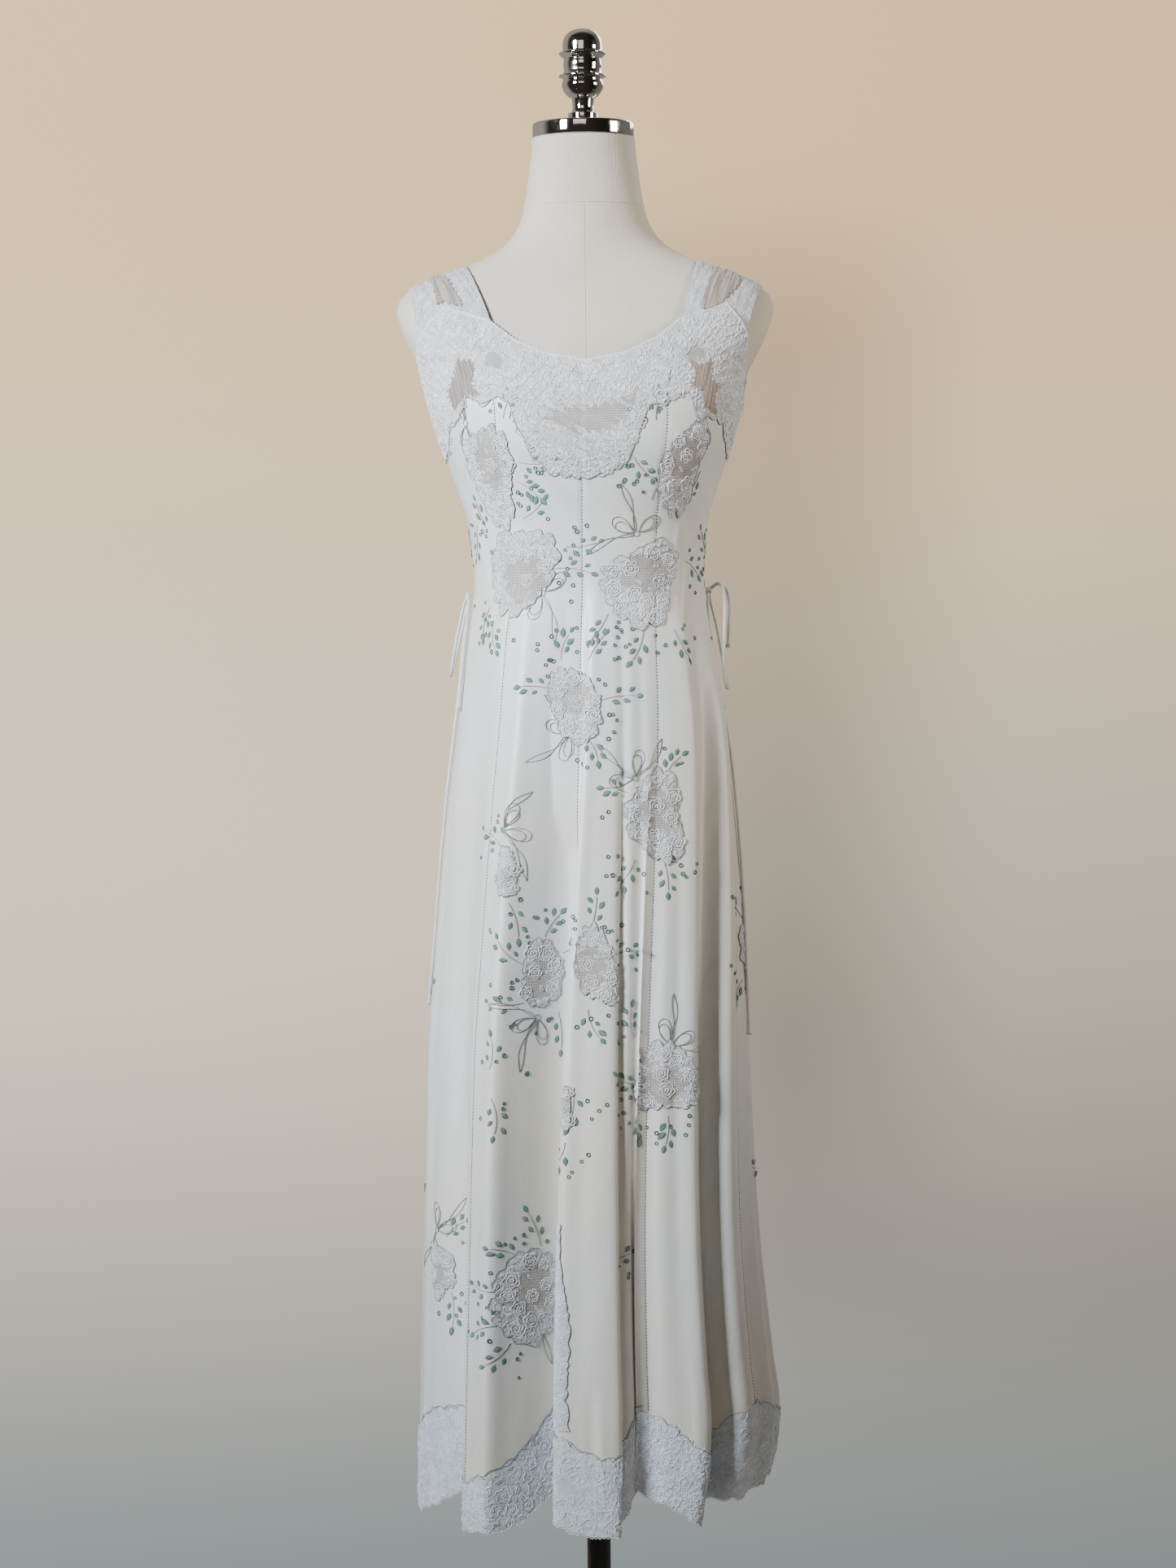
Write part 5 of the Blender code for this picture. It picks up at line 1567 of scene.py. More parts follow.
# Net inserts, by the corners that show in the image
NET_COLUMNS, NET_RINGS = 44, 6
Corner = namedtuple("Corner", "column row")
BUST_NETS = {
    "net_bust_left": table(
        Corner,
        (563, 445), (581, 447), (578, 470), (590, 485), (572, 487), (560, 502), (550, 481), (558, 458),
    ),
    "net_bust_right": table(
        Corner,
        (849, 447), (862, 451), (874, 446), (874, 462), (882, 474), (877, 488), (880, 506), (866, 496),
        (862, 480), (850, 474), (855, 460),
    ),
}
STRAP_NETS = {
    "net_strap_left": table(
        Corner,
        (529, 344), (546, 341), (558, 358), (568, 374), (541, 373), (534, 360),
    ),
    "net_strap_right": table(
        Corner,
        (884, 333), (903, 336), (907, 349), (890, 368), (864, 378), (873, 345),
    ),
}


def middle_place(places):
    return tuple(np.mean(np.array(places), axis=0))


def flat_outline(centre, places):
    """Flat positions of places on the cloth, about a centre."""
    stations, heights = np.array(places).T
    across = arc_at(stations, heights) - arc_at(np.full(len(stations), centre[0]), heights)
    return np.stack([across, heights - centre[1]], axis=-1)


def net_place(corners):
    """The middle place and the jagged flat outline of a net insert."""
    places = [cloth_at(corner.column, corner.row) for corner in corners]
    centre = middle_place(places)
    return centre, closed_curve(flat_outline(centre, places), 56, 0.0030, 7)


def yoke_flower_top(station):
    """Up to where flowers stand in the yoke: over its lower edge, and lower than its open net."""
    return edge_height(YOKE_EDGE, station) + 0.022


# Lace medallions. Front ones by their extent in the image, the others by place and half size on the cloth.
Medallion = namedtuple("Medallion", "left right top bottom tilt lobes")
FRONT_MEDALLIONS = table(
    Medallion,
    (573, 632, 522, 643, 8, 13), (600, 677, 640, 759, -12, 12), (812, 868, 522, 632, -6, 12),
    (742, 837, 667, 768, 10, 13), (677, 736, 813, 920, 14, 12), (765, 843, 952, 1058, 12, 12),
    (611, 632, 1034, 1108, 4, 9), (641, 694, 1154, 1241, -10, 11), (708, 759, 1136, 1237, 12, 12),
    (776, 860, 1276, 1370, 8, 13), (688, 701, 1335, 1387, 0, 7), (525, 557, 1520, 1599, 10, 10),
    (615, 686, 1534, 1652, -24, 13),
)
HiddenMedallion = namedtuple("HiddenMedallion", "station height half_width half_height tilt lobes")
HIDDEN_MEDALLIONS = table(
    HiddenMedallion,
    (15.4, 1.190, 0.026, 0.050, 8, 12), (17.2, 1.150, 0.034, 0.046, -10, 12),
    (20.6, 1.170, 0.034, 0.044, 12, 13), (23.6, 1.120, 0.036, 0.048, -8, 12),
    (26.6, 1.200, 0.028, 0.050, 10, 13), (16.4, 0.985, 0.034, 0.044, 14, 12),
    (19.3, 0.950, 0.032, 0.046, -6, 12), (22.4, 0.930, 0.036, 0.042, 9, 11),
    (25.3, 0.980, 0.030, 0.046, -12, 12), (14.9, 0.800, 0.030, 0.042, 6, 11),
    (17.9, 0.770, 0.036, 0.042, -14, 12), (21.0, 0.745, 0.034, 0.044, 10, 13),
    (24.1, 0.770, 0.034, 0.046, -7, 12), (27.1, 0.780, 0.030, 0.042, 12, 12),
    (16.3, 0.590, 0.034, 0.046, 10, 12), (19.7, 0.560, 0.036, 0.044, -9, 13),
    (22.8, 0.540, 0.034, 0.046, 12, 12), (25.9, 0.580, 0.036, 0.046, -11, 12),
    (18.2, 0.420, 0.030, 0.042, 8, 11), (24.4, 0.410, 0.032, 0.044, -8, 12),
)


MEDALLION_COLUMNS, MEDALLION_RINGS, MEDALLION_CANDIDATES = 112, 5, 1400
MEDALLION_LIFT, MEDALLION_THICKNESS, MEDALLION_THREAD_LIFT = 0.0010, 0.0005, 0.0011


def medallion_outline(half_width, half_height, tilt, lobes, seed):
    """A lobed flat outline, fuller than an ellipse and a little lopsided."""
    random = np.random.default_rng(seed)
    angle = circle_angles(MEDALLION_COLUMNS)
    wander = random.uniform(0.0, ANY_TURN, 4)
    ripple = np.abs(np.sin(0.5 * lobes * angle + wander[0] + 0.9 * np.sin(2 * angle + wander[1]))) ** 0.6
    size = 1.0 + 0.6 * np.sin(3 * angle + wander[2])
    reach = 0.83 + 0.16 * ripple * size
    reach = reach + 0.09 * np.sin(2 * angle + wander[2]) + 0.08 * np.sin(3 * angle + wander[3])
    reach += 0.025 * np.sin(23 * angle + wander[0])
    spread = (np.abs(np.cos(angle)) ** 2.3 + np.abs(np.sin(angle)) ** 2.3) ** (-1 / 2.3)
    across = half_width * reach * spread * np.cos(angle)
    up = half_height * reach * spread * np.sin(angle)
    return turned_line(across, up, math.radians(tilt))


def medallion_openness(outline, random):
    """How open a medallion's net is at flat places: a rounded region to one side of its middle."""
    reach = np.abs(outline).max(axis=0)
    aim = random.uniform(0, 2 * math.pi)
    middle = reach * 0.22 * np.array([math.cos(aim), math.sin(aim)])
    size = reach * random.uniform((0.90, 0.70), (1.15, 0.95))
    return lambda flat: bump(np.hypot(*((flat - middle) / size).T))


def medallion_lacework(place, outline, openness, random):
    """Flower and curl motifs that fill a medallion round its open net, in which one flower may stand."""
    reach = np.abs(outline).max(axis=0)
    candidates = random.uniform(-reach, reach, (MEDALLION_CANDIDATES, 2))
    candidates = candidates[inside_line(candidates / 0.90, outline)]
    closed = candidates[openness(candidates) < 0.34]
    flowers = strewn(closed[inside_line(closed / 0.80, outline)], 0.0150)
    bare = candidates[openness(candidates) > 0.55]
    flowers = np.vstack([flowers, strewn(bare, 0.0185, flowers)[:3]])
    curls = np.vstack([strewn(closed, 0.0058), strewn(bare, 0.0125)[:5]])
    near = np.min(np.hypot(*(curls[:, None] - flowers[None]).transpose(2, 0, 1)), axis=1)
    curls = curls[near > 0.0086]

    def placed(spots):
        heights = place[1] + spots[:, 1]
        return list(zip(station_at(arc_at(place[0], heights) + spots[:, 0], heights), heights))

    return flower_motifs(placed(flowers), random, 0.0080), curl_motifs(placed(curls), random, 0.0062)


def medallion_designs():
    """(place, flat outline) of every medallion."""
    designs = []
    for number, row in enumerate(FRONT_MEDALLIONS):
        column, line = 0.5 * (row.left + row.right), 0.5 * (row.top + row.bottom)
        place = cloth_at(column, line)
        left, right = cloth_at(row.left + 2, line), cloth_at(row.right - 2, line)
        top, bottom = cloth_at(column, row.top), cloth_at(column, row.bottom)
        half_width = 0.5 * float(arc_at(right[0], place[1]) - arc_at(left[0], place[1]))
        half_height = 0.5 * (top[1] - bottom[1])
        plain = 0.5 * (row.right - row.left) * PIXEL_SIZE
        half_width = min(max(half_width, plain), 1.3 * plain)
        designs.append((place, medallion_outline(half_width, half_height, row.tilt, row.lobes, 40 + number)))
    for number, row in enumerate(HIDDEN_MEDALLIONS):
        outline = medallion_outline(row.half_width, row.half_height, row.tilt, row.lobes, 80 + number)
        designs.append(((row.station, row.height), outline))
    return designs


# Bows drawn in outline thread: where their knots are, and the way their first loop and tails point, in
# degrees up from the cloth's right
Bow = namedtuple("Bow", "column row first_loop second_loop first_tail second_tail")
FRONT_BOWS = table(
    Bow,
    (571, 522, 250, 100, 280, 75), (866, 516, 80, 290, 60, 250), (782, 657, 150, 35, 200, 110),
    (667, 731, 40, 250, 290, 130), (700, 901, 160, 255, 125, 215), (780, 957, 185, 80, 50, 140),
    (617, 1021, 65, 345, 60, 300), (661, 1250, 205, 285, 165, 250), (823, 1285, 105, 25, 85, 0),
    (536, 1511, 15, 95, 40, 230), (668, 1611, 70, 330, 110, 280),
)
HiddenBow = namedtuple("HiddenBow", "station height first_loop second_loop first_tail second_tail")
HIDDEN_BOWS = table(
    HiddenBow,
    (16.3, 1.085, 160, 255, 125, 215), (18.9, 1.120, 185, 80, 50, 140), (22.3, 1.060, 65, 345, 60, 300),
    (25.2, 1.110, 205, 285, 165, 250), (17.8, 0.890, 105, 25, 85, 0), (20.9, 0.865, 15, 95, 40, 230),
    (23.9, 0.880, 150, 35, 200, 110), (27.0, 0.900, 160, 255, 125, 215), (16.3, 0.700, 65, 345, 60, 300),
    (19.5, 0.670, 185, 80, 50, 140), (22.6, 0.660, 205, 285, 165, 250), (25.6, 0.690, 105, 25, 85, 0),
    (18.1, 0.500, 15, 95, 40, 230), (21.3, 0.470, 150, 35, 200, 110), (24.5, 0.500, 65, 345, 60, 300),
)


def bow_lines(bow, seed):
    """Flat (line, closed) drawings of a bow: two double loops, two ribbon tails and the ring of its knot."""
    random = np.random.default_rng(seed)
    lines = []
    t = np.linspace(0.0, 1.0, 26)[:-1]
    for way in (bow.first_loop, bow.second_loop):
        for size, turn in ((1.0, 0.0), (0.80, random.uniform(-0.22, 0.22))):
            length, width = 0.0265 * size, 0.0165 * size
            across = 0.003 + length * 0.5 * (1 - np.cos(2 * math.pi * t))
            up = 0.5 * width * np.sin(2 * math.pi * t) * ((across - 0.003) / length) ** 0.45
            lines.append((turned_line(across, up, math.radians(way) + turn), True))
    s = np.linspace(0.0, 1.0, 22)
    lengths = random.uniform(0.042, 0.052), random.uniform(0.046, 0.056)
    for way, length in zip((bow.first_tail, bow.second_tail), lengths):
        bend = random.uniform(-0.006, 0.006)
        across, middle = 0.004 + length * s, bend * np.sin(math.pi * s * 1.2)
        width = (0.0008 + 0.0028 * s**0.7) * np.cos(math.pi * 1.5 * s)
        one, two = middle + width, middle - width
        line = np.concatenate([np.stack([across, one], -1), np.stack([across, two], -1)[::-1]])
        lines.append((turned_line(line[:, 0], line[:, 1], math.radians(way)), True))
    ring = circle_angles(14)
    lines.append((np.stack([0.0028 * np.cos(ring), 0.0028 * np.sin(ring)], -1), True))
    return lines


def turned_line(across, up, angle):
    """Flat points turned by an angle."""
    cosine, sine = math.cos(angle), math.sin(angle)
    return np.stack([across * cosine - up * sine, across * sine + up * cosine], axis=-1)


# Leaf sprigs: where a sprig's stem starts and the way it grows, in degrees up from the cloth's right
Sprig = namedtuple("Sprig", "column row way leaves")
FRONT_SPRIGS = table(
    Sprig,
    (618, 520, 85, 5), (806, 520, 95, 5), (778, 560, 300, 3), (800, 620, 80, 4), (634, 592, 330, 5),
    (633, 566, 340, 4), (640, 640, 20, 3), (600, 655, 120, 4), (585, 640, 260, 4), (603, 745, 230, 4),
    (690, 672, 350, 4), (676, 700, 10, 4), (606, 765, 260, 4), (748, 752, 250, 4), (790, 770, 270, 4),
    (828, 772, 290, 4), (840, 690, 350, 3), (862, 575, 260, 3), (690, 815, 100, 4), (722, 815, 70, 4),
    (680, 850, 160, 4), (736, 860, 20, 4), (718, 905, 320, 4), (818, 955, 75, 5), (775, 975, 150, 4),
    (782, 1050, 250, 4), (815, 1056, 290, 4), (616, 1045, 130, 3), (622, 1105, 300, 3), (668, 1156, 70, 4),
    (724, 1145, 70, 4), (648, 1190, 160, 4), (690, 1175, 30, 3), (648, 1232, 200, 4), (722, 1236, 270, 4),
    (684, 1240, 290, 4), (756, 1175, 15, 3), (780, 1278, 120, 4), (782, 1330, 190, 4), (790, 1366, 240, 4),
    (820, 1368, 280, 4), (703, 1336, 280, 3), (600, 1345, 300, 4), (600, 1318, 70, 3), (694, 1400, 270, 4),
    (548, 1522, 60, 4), (554, 1585, 290, 4), (640, 1545, 140, 4), (618, 1585, 190, 4), (616, 1630, 180, 4),
    (630, 1650, 250, 4), (664, 1536, 100, 4), (756, 1560, 40, 4),
)


def grown_sprig(way, leaves, seed):
    """A sprig's flat stem, the (position, direction, weight) of its leaves, and its dots."""
    random = np.random.default_rng(seed)
    length = random.uniform(0.026, 0.038)
    bend = random.uniform(0.3, 0.8) * random.choice([-1, 1])
    s = np.linspace(0.0, 1.0, 12)
    heading = math.radians(way) + bend * s
    step = length / 11
    stem = np.stack([np.cumsum(np.cos(heading)) * step, np.cumsum(np.sin(heading)) * step], axis=-1)
    shapes, dots = [], []
    for number in range(leaves + 1):
        share = 1.0 - 0.72 * number / leaves
        at = stem[int(round(share * 11))]
        side = 0 if number == 0 else (1 if number % 2 else -1)
        aim = heading[int(round(share * 11))] + side * random.uniform(0.35, 0.75)
        off, toward = (0.0058, aim) if side == 0 else (0.0070, aim + side * 0.5)
        spot = at + off * np.array([math.cos(toward), math.sin(toward)])
        shapes.append((spot, aim, random.uniform(0.85, 1.15)))
    for _ in range(7):
        aim = math.radians(way) + random.uniform(-1.3, 1.3)
        reach = random.uniform(0.010, 0.040)
        spot = reach * np.array([math.cos(aim), math.sin(aim)])
        if min(np.linalg.norm(spot - shape[0]) for shape in shapes) > 0.0068:
            dots.append((spot, random.uniform(0, ANY_TURN), random.uniform(0.85, 1.2)))
    return stem, shapes, dots


def cloth_spot(place, flat, angle, weight, lift):
    """A spot on the cloth for a shape that points along an angle of the flat design."""
    ahead = np.array([math.cos(angle), math.sin(angle)]) * 0.002
    across = np.array([flat[0], flat[0] + ahead[0], flat[0] - ahead[1]])
    up = np.array([flat[1], flat[1] + ahead[1], flat[1] + ahead[0]])
    centre, front, side = spread_on_cloth(place, across, up, lift)
    along = unit(front - centre)
    return Spot(centre, unit(np.cross(along, side - centre)), along, weight)


def leaf_template():
    """A satin-stitched leaf of unit length along X: domed, pointed at both ends."""
    points, uvs, faces = [], [], []
    steps, across = 8, (-1.0, -0.55, 0.0, 0.55, 1.0)
    for i in range(steps + 1):
        t = i / steps
        half = 0.29 * math.sin(math.pi * min(max(t, 0.02), 0.98)) ** 0.85
        for c in across:
            points.append((t - 0.5, c * half, 0.085 * (1.0 - c * c) * math.sin(math.pi * t) ** 0.5))
            uvs.append((t, 0.5 + 0.5 * c))
    width = len(across)
    for i in range(steps):
        for c in range(width - 1):
            a = i * width + c
            faces.append([a, a + width, a + width + 1, a + 1])
    rim = [i * width for i in range(steps + 1)] + [i * width + width - 1 for i in range(steps, -1, -1)]
    faces.append(rim)
    return new_mesh("leaf", points, faces, uvs, 60.0)


LOOP_SIDES = 4


def loop_points(turns, radius, width, height, shift=0.0):
    """Points of a small tube that runs round a flat circle through its turns."""
    points = []
    for turn in turns:
        for side in range(LOOP_SIDES):
            tilt = 2 * math.pi * side / LOOP_SIDES
            reach = radius + width * math.cos(tilt)
            place = (reach * math.cos(turn), reach * math.sin(turn) + shift, height * math.sin(tilt))
            points.append(place)
    return points


def loop_faces(rows, closed):
    """Faces between the rows of a small tube; a closed one joins its last row to its first."""
    sides, faces = LOOP_SIDES, []
    for i in range(rows if closed else rows - 1):
        k = (i + 1) % rows
        for j in range(sides):
            m = (j + 1) % sides
            faces.append([i * sides + j, k * sides + j, k * sides + m, i * sides + m])
    return faces


def ring_template():
    """A stitched ring of unit width, lying flat."""
    around = 10
    points = loop_points([2 * math.pi * i / around for i in range(around)], 0.36, 0.13, 0.12)
    return new_mesh("ring", points, loop_faces(around, True), np.array(points)[:, :2], 80.0)


def stitch_template():
    """One stitch of unit length along X, with tapered ends."""
    points, faces, sides = [(-0.5, 0.0, 0.0)], [], 4
    for x in (-0.3, 0.3):
        for j in range(sides):
            tilt = 2 * math.pi * j / sides
            points.append((x, 0.24 * math.cos(tilt), 0.24 * math.sin(tilt)))
    points.append((0.5, 0.0, 0.0))
    for j in range(sides):
        k = (j + 1) % sides
        faces += [[0, 1 + k, 1 + j], [1 + j, 1 + k, 1 + sides + k, 1 + sides + j]]
        faces.append([1 + sides + j, 1 + sides + k, 1 + 2 * sides])
    return new_mesh("stitch", points, faces, np.array(points)[:, :2], 80.0)


def picot_template():
    """A half ring of thread of unit width, standing up from an edge along X."""
    steps = 6
    points = loop_points([math.pi * i / steps for i in range(steps + 1)], 0.40, 0.10, 0.10, -0.05)
    ends = list(range(LOOP_SIDES)), list(range(steps * LOOP_SIDES, len(points)))[::-1]
    faces = loop_faces(steps + 1, False) + list(ends)
    return new_mesh("picot", points, faces, np.array(points)[:, :2], 80.0)


def edge_spots(stations, heights, lift, pitch, downward):
    """Spots at an even pitch along an edge of the cloth."""
    points = cloth_points(stations, heights, lift)
    length = travelled(points)
    places = np.arange(pitch / 2, length[-1], pitch)
    chosen = np.interp(places, length, stations)
    levels = np.interp(places, length, heights)
    centre = cloth_points(chosen, levels, lift)
    along = unit(points_along(places + 0.001, length, points) - points_along(places - 0.001, length, points))
    _, facing = dress_directions(chosen, levels)
    if downward:
        along = -along
    facing = unit(facing - along * np.sum(facing * along, axis=-1, keepdims=True))
    return [Spot(c, f, a, 1.0) for c, f, a in zip(centre, facing, along)]


# Turned pieces

CAP_RADIUS, CAP_BOTTOM, CAP_THICKNESS = 0.0533, 1.6561, 0.0163
POLE_RADIUS = 0.0125
BASE_RADIUS, BASE_THICKNESS = 0.160, 0.014
PART_GAP = 0.0003
Turn = namedtuple("Turn", "radius height")
FINIAL_PROFILE = table(
    Turn,
    (0.0000, 0.0984), (0.0085, 0.0976), (0.0160, 0.0935), (0.0200, 0.0870), (0.0207, 0.0800),
    (0.0207, 0.0745), (0.0248, 0.0728), (0.0248, 0.0712), (0.0194, 0.0666), (0.0204, 0.0605),
    (0.0194, 0.0550), (0.0206, 0.0510), (0.0250, 0.0494), (0.0250, 0.0477), (0.0200, 0.0455),
    (0.0222, 0.0405), (0.0214, 0.0347), (0.0165, 0.0275), (0.0116, 0.0250), (0.0108, 0.0160),
    (0.0118, 0.0110), (0.0155, 0.0095), (0.0155, 0.0000), (0.0000, 0.0000),
)
CAP_PROFILE = table(
    Turn,
    (0.0000, CAP_THICKNESS), (CAP_RADIUS - 0.0030, CAP_THICKNESS),
    (CAP_RADIUS - 0.0006, CAP_THICKNESS - 0.0010), (CAP_RADIUS, CAP_THICKNESS - 0.0030),
    (CAP_RADIUS, 0.0012), (CAP_RADIUS - 0.0010, 0.0000), (0.0000, 0.0000),
)
BASE_PROFILE = table(
    Turn,
    (0.0000, BASE_THICKNESS), (0.0300, BASE_THICKNESS), (BASE_RADIUS - 0.0200, 0.0090),
    (BASE_RADIUS - 0.0030, 0.0065), (BASE_RADIUS, 0.0040), (BASE_RADIUS, 0.0000), (0.0000, 0.0000),
)


def rounded_profile(profile, radius):
    """A profile whose corners are eased: gentle bends over half their sides, sharp ones by a radius."""
    points = np.array(profile, float)
    outline, gentle = [points[0]], 0.9
    for before, corner, after in zip(points, points[1:], points[2:]):
        back, ahead = before - corner, after - corner
        cosine = back @ ahead / (np.linalg.norm(back) * np.linalg.norm(ahead))
        turn = math.pi - math.acos(np.clip(cosine, -1, 1))
        if turn < gentle:
            ease = [0.5, 0.5]
        else:
            ease = [min(0.42, radius / np.linalg.norm(side)) for side in (back, ahead)]
        start, end = corner + back * ease[0], corner + ahead * ease[1]
        for t in np.linspace(0.0, 1.0, 6):
            outline.append((1 - t) ** 2 * start + 2 * t * (1 - t) * corner + t * t * end)
    outline.append(points[-1])
    return np.array(outline)


def turned_mesh(name, profile, foot, segments=72):
    """A solid turned about Z from a profile that runs from the top of the axis down its outer side."""
    angle = circle_angles(segments)
    ring = np.stack([np.cos(angle), np.sin(angle)], axis=-1)
    inner = profile[1:-1]
    points = [(0.0, 0.0, foot + profile[0][1]), (0.0, 0.0, foot + profile[-1][1])]
    for radius, height in inner:
        points += [(radius * x, radius * y, foot + height) for x, y in ring]
    faces = []
    last = 2 + (len(inner) - 1) * segments
    for i in range(segments):
        j = (i + 1) % segments
        faces += [[0, 2 + i, 2 + j], [1, last + j, last + i]]
        for row in range(len(inner) - 1):
            a, b = 2 + row * segments, 2 + (row + 1) * segments
            faces.append([a + i, b + i, b + j, a + j])
    return new_mesh(name, points, faces, None, 40.0)


# Side ties

TIE_RADIUS = 0.00175
TIE_POINTS = 40
TIE_LEAD = 0.002
KNOT_RADIUS = 0.0048
KNOT_LIFT = 0.0061
Lay = namedtuple("Lay", "station height lift")
KNOTS = {
    "tie_left_knot": Lay(0.06, 1.1760, KNOT_LIFT),
    "tie_right_knot": Lay(14.04, 1.1790, KNOT_LIFT),
}
Tie = namedtuple("Tie", "name knot is_loop lays")
TIES = [
    Tie("tie_left_loop", "tie_left_knot", True, table(
        Lay,
        (0.22, 1.1690, 0.0090), (0.42, 1.1560, 0.0100), (0.56, 1.1300, 0.0115), (0.56, 1.1060, 0.0130),
        (0.38, 1.0920, 0.0135), (0.16, 1.0980, 0.0115), (0.04, 1.1200, 0.0090), (0.01, 1.1450, 0.0070),
        (0.03, 1.1640, 0.0062),
    )),
    Tie("tie_left_tail_long", "tie_left_knot", False, table(
        Lay,
        (-0.16, 1.1680, 0.0050), (-0.24, 1.1300, 0.0040), (-0.20, 1.0700, 0.0034), (-0.05, 0.9800, 0.0032),
        (0.10, 0.9000, 0.0032), (0.20, 0.8200, 0.0032), (0.22, 0.7500, 0.0032),
    )),
    Tie("tie_left_tail_short", "tie_left_knot", False, table(
        Lay,
        (0.34, 1.1780, 0.0056), (0.66, 1.1640, 0.0050), (0.82, 1.1300, 0.0040), (0.84, 1.0950, 0.0036),
        (0.80, 1.0600, 0.0034),
    )),
    Tie("tie_right_loop", "tie_right_knot", True, table(
        Lay,
        (13.98, 1.1840, 0.0120), (13.94, 1.1870, 0.0170), (13.90, 1.1830, 0.0215), (13.88, 1.1650, 0.0225),
        (13.86, 1.1300, 0.0170), (13.84, 1.0950, 0.0110), (13.92, 1.0760, 0.0095), (14.14, 1.0760, 0.0090),
        (14.24, 1.0950, 0.0085), (14.20, 1.1300, 0.0090), (14.12, 1.1560, 0.0080), (14.06, 1.1680, 0.0068),
    )),
    Tie("tie_right_tail_long", "tie_right_knot", False, table(
        Lay,
        (13.84, 1.1740, 0.0056), (13.74, 1.1450, 0.0042), (13.78, 1.0900, 0.0036), (14.02, 1.0200, 0.0032),
        (14.30, 0.9400, 0.0032), (14.50, 0.8500, 0.0032), (14.58, 0.7700, 0.0032), (14.60, 0.7160, 0.0032),
    )),
    Tie("tie_right_tail_short", "tie_right_knot", False, table(
        Lay,
        (14.24, 1.1840, 0.0110), (14.34, 1.1860, 0.0180), (14.42, 1.1780, 0.0250), (14.48, 1.1600, 0.0260),
        (14.50, 1.1400, 0.0215), (14.50, 1.1200, 0.0170),
    )),
]


def lay_point(lay):
    """A point of a tie's middle line, off the outer face of the cloth."""
    point = dress_points(lay.station, lay.height)
    _, outward = dress_directions(np.float64(lay.station), np.float64(lay.height))
    return point + outward * lay.lift


def smooth_route(points, count):
    """Evenly spaced points of a smooth curve through a route."""
    points = np.array(points)
    steps = np.linalg.norm(np.diff(points, axis=0), axis=1)
    pace = np.concatenate([[0.0], np.cumsum(np.sqrt(steps))])
    tangents = np.gradient(points, pace, axis=0)
    fine = []
    for row in range(len(points) - 1):
        span = pace[row + 1] - pace[row]
        leaving, arriving = tangents[row] * span, tangents[row + 1] * span
        for t in np.linspace(0.0, 1.0, 24, endpoint=row == len(points) - 2):
            fine.append(eased(points[row], points[row + 1], leaving, arriving, t))
    fine = np.array(fine)
    length = travelled(fine)
    return points_along(np.linspace(0.0, length[-1], count), length, fine)


def tie_route(tie):
    """Points of a tie's middle line, from the face of its knot on, and back to it where it is a loop."""
    points = [lay_point(lay) for lay in tie.lays]
    knot = lay_point(KNOTS[tie.knot])
    reach = KNOT_RADIUS + PART_GAP
    leads = []
    for near in (points[0], points[-1]):
        way = (near - knot) / np.linalg.norm(near - knot)
        leads.append((knot + way * reach, knot + way * (reach + TIE_LEAD)))
    points.insert(0, leads[0][1])
    if not tie.is_loop:
        return np.vstack([leads[0][0], smooth_route(points, TIE_POINTS - 1)])
    points.append(leads[1][1])
    return np.vstack([leads[0][0], smooth_route(points, TIE_POINTS - 2), leads[1][0]])


def tube_curve(name, points, radius, closed):
    """A round tube along points."""
    curve = bpy.data.curves.new(name, "CURVE")
    curve.dimensions = "3D"
    curve.bevel_depth = radius
    curve.bevel_resolution = 3
    curve.use_fill_caps = not closed
    spline = curve.splines.new("POLY")
    spline.points.add(len(points) - 1)
    weighted = np.concatenate([points, np.ones((len(points), 1))], axis=1)
    spline.points.foreach_set("co", weighted.ravel())
    spline.use_cyclic_u = closed
    spline.use_smooth = True
    return curve


def knot_mesh(name, centre, radius, thickness, facing):
    """A pulled-tight knot of satin tube: a trefoil of one closed tube about a point."""
    turns = np.linspace(0.0, 2 * math.pi, 49)[:-1]
    across, up = np.sin(turns) + 2 * np.sin(2 * turns), np.cos(turns) - 2 * np.cos(2 * turns)
    path = np.stack([across, up, -1.15 * np.sin(3 * turns)], axis=-1)
    path *= (radius - thickness) / 3.0
    turn = Vector(facing).to_track_quat("Z", "Y").to_matrix()
    path = path @ np.array(turn).T + centre
    carrier = bpy.data.objects.new(name + "_path", tube_curve(name, path, thickness, True))
    bpy.context.scene.collection.objects.link(carrier)
    graph = bpy.context.evaluated_depsgraph_get()
    mesh = bpy.data.meshes.new_from_object(carrier.evaluated_get(graph))
    mesh.shade_smooth()
    bpy.data.objects.remove(carrier, do_unlink=True)
    return mesh


# Operators: each builds one group of pieces


class PieceBuilder:
    """What every building operator shares."""

    bl_options = {"REGISTER", "UNDO"}


class SLIPDRESS_OT_camera(PieceBuilder, bpy.types.Operator):
    """Place the camera in front of the dress"""

    bl_idname = "slip_dress.place_camera"
    bl_label = "Place camera"

    def execute(self, context):
        data = bpy.data.cameras.new("camera")
        data.sensor_fit = "AUTO"
        data.sensor_width = CAMERA_SENSOR
        data.lens = CAMERA_LENS
        data.clip_end = 60.0
        camera = bpy.data.objects.new("camera", data)
        right, up, forward = camera_axes()
        axes = Matrix((right, up, -forward)).transposed().to_4x4()
        camera.matrix_world = Matrix.Translation(CAMERA_PLACE) @ axes
        context.scene.collection.objects.link(camera)
        context.scene.camera = camera
        return {"FINISHED"}


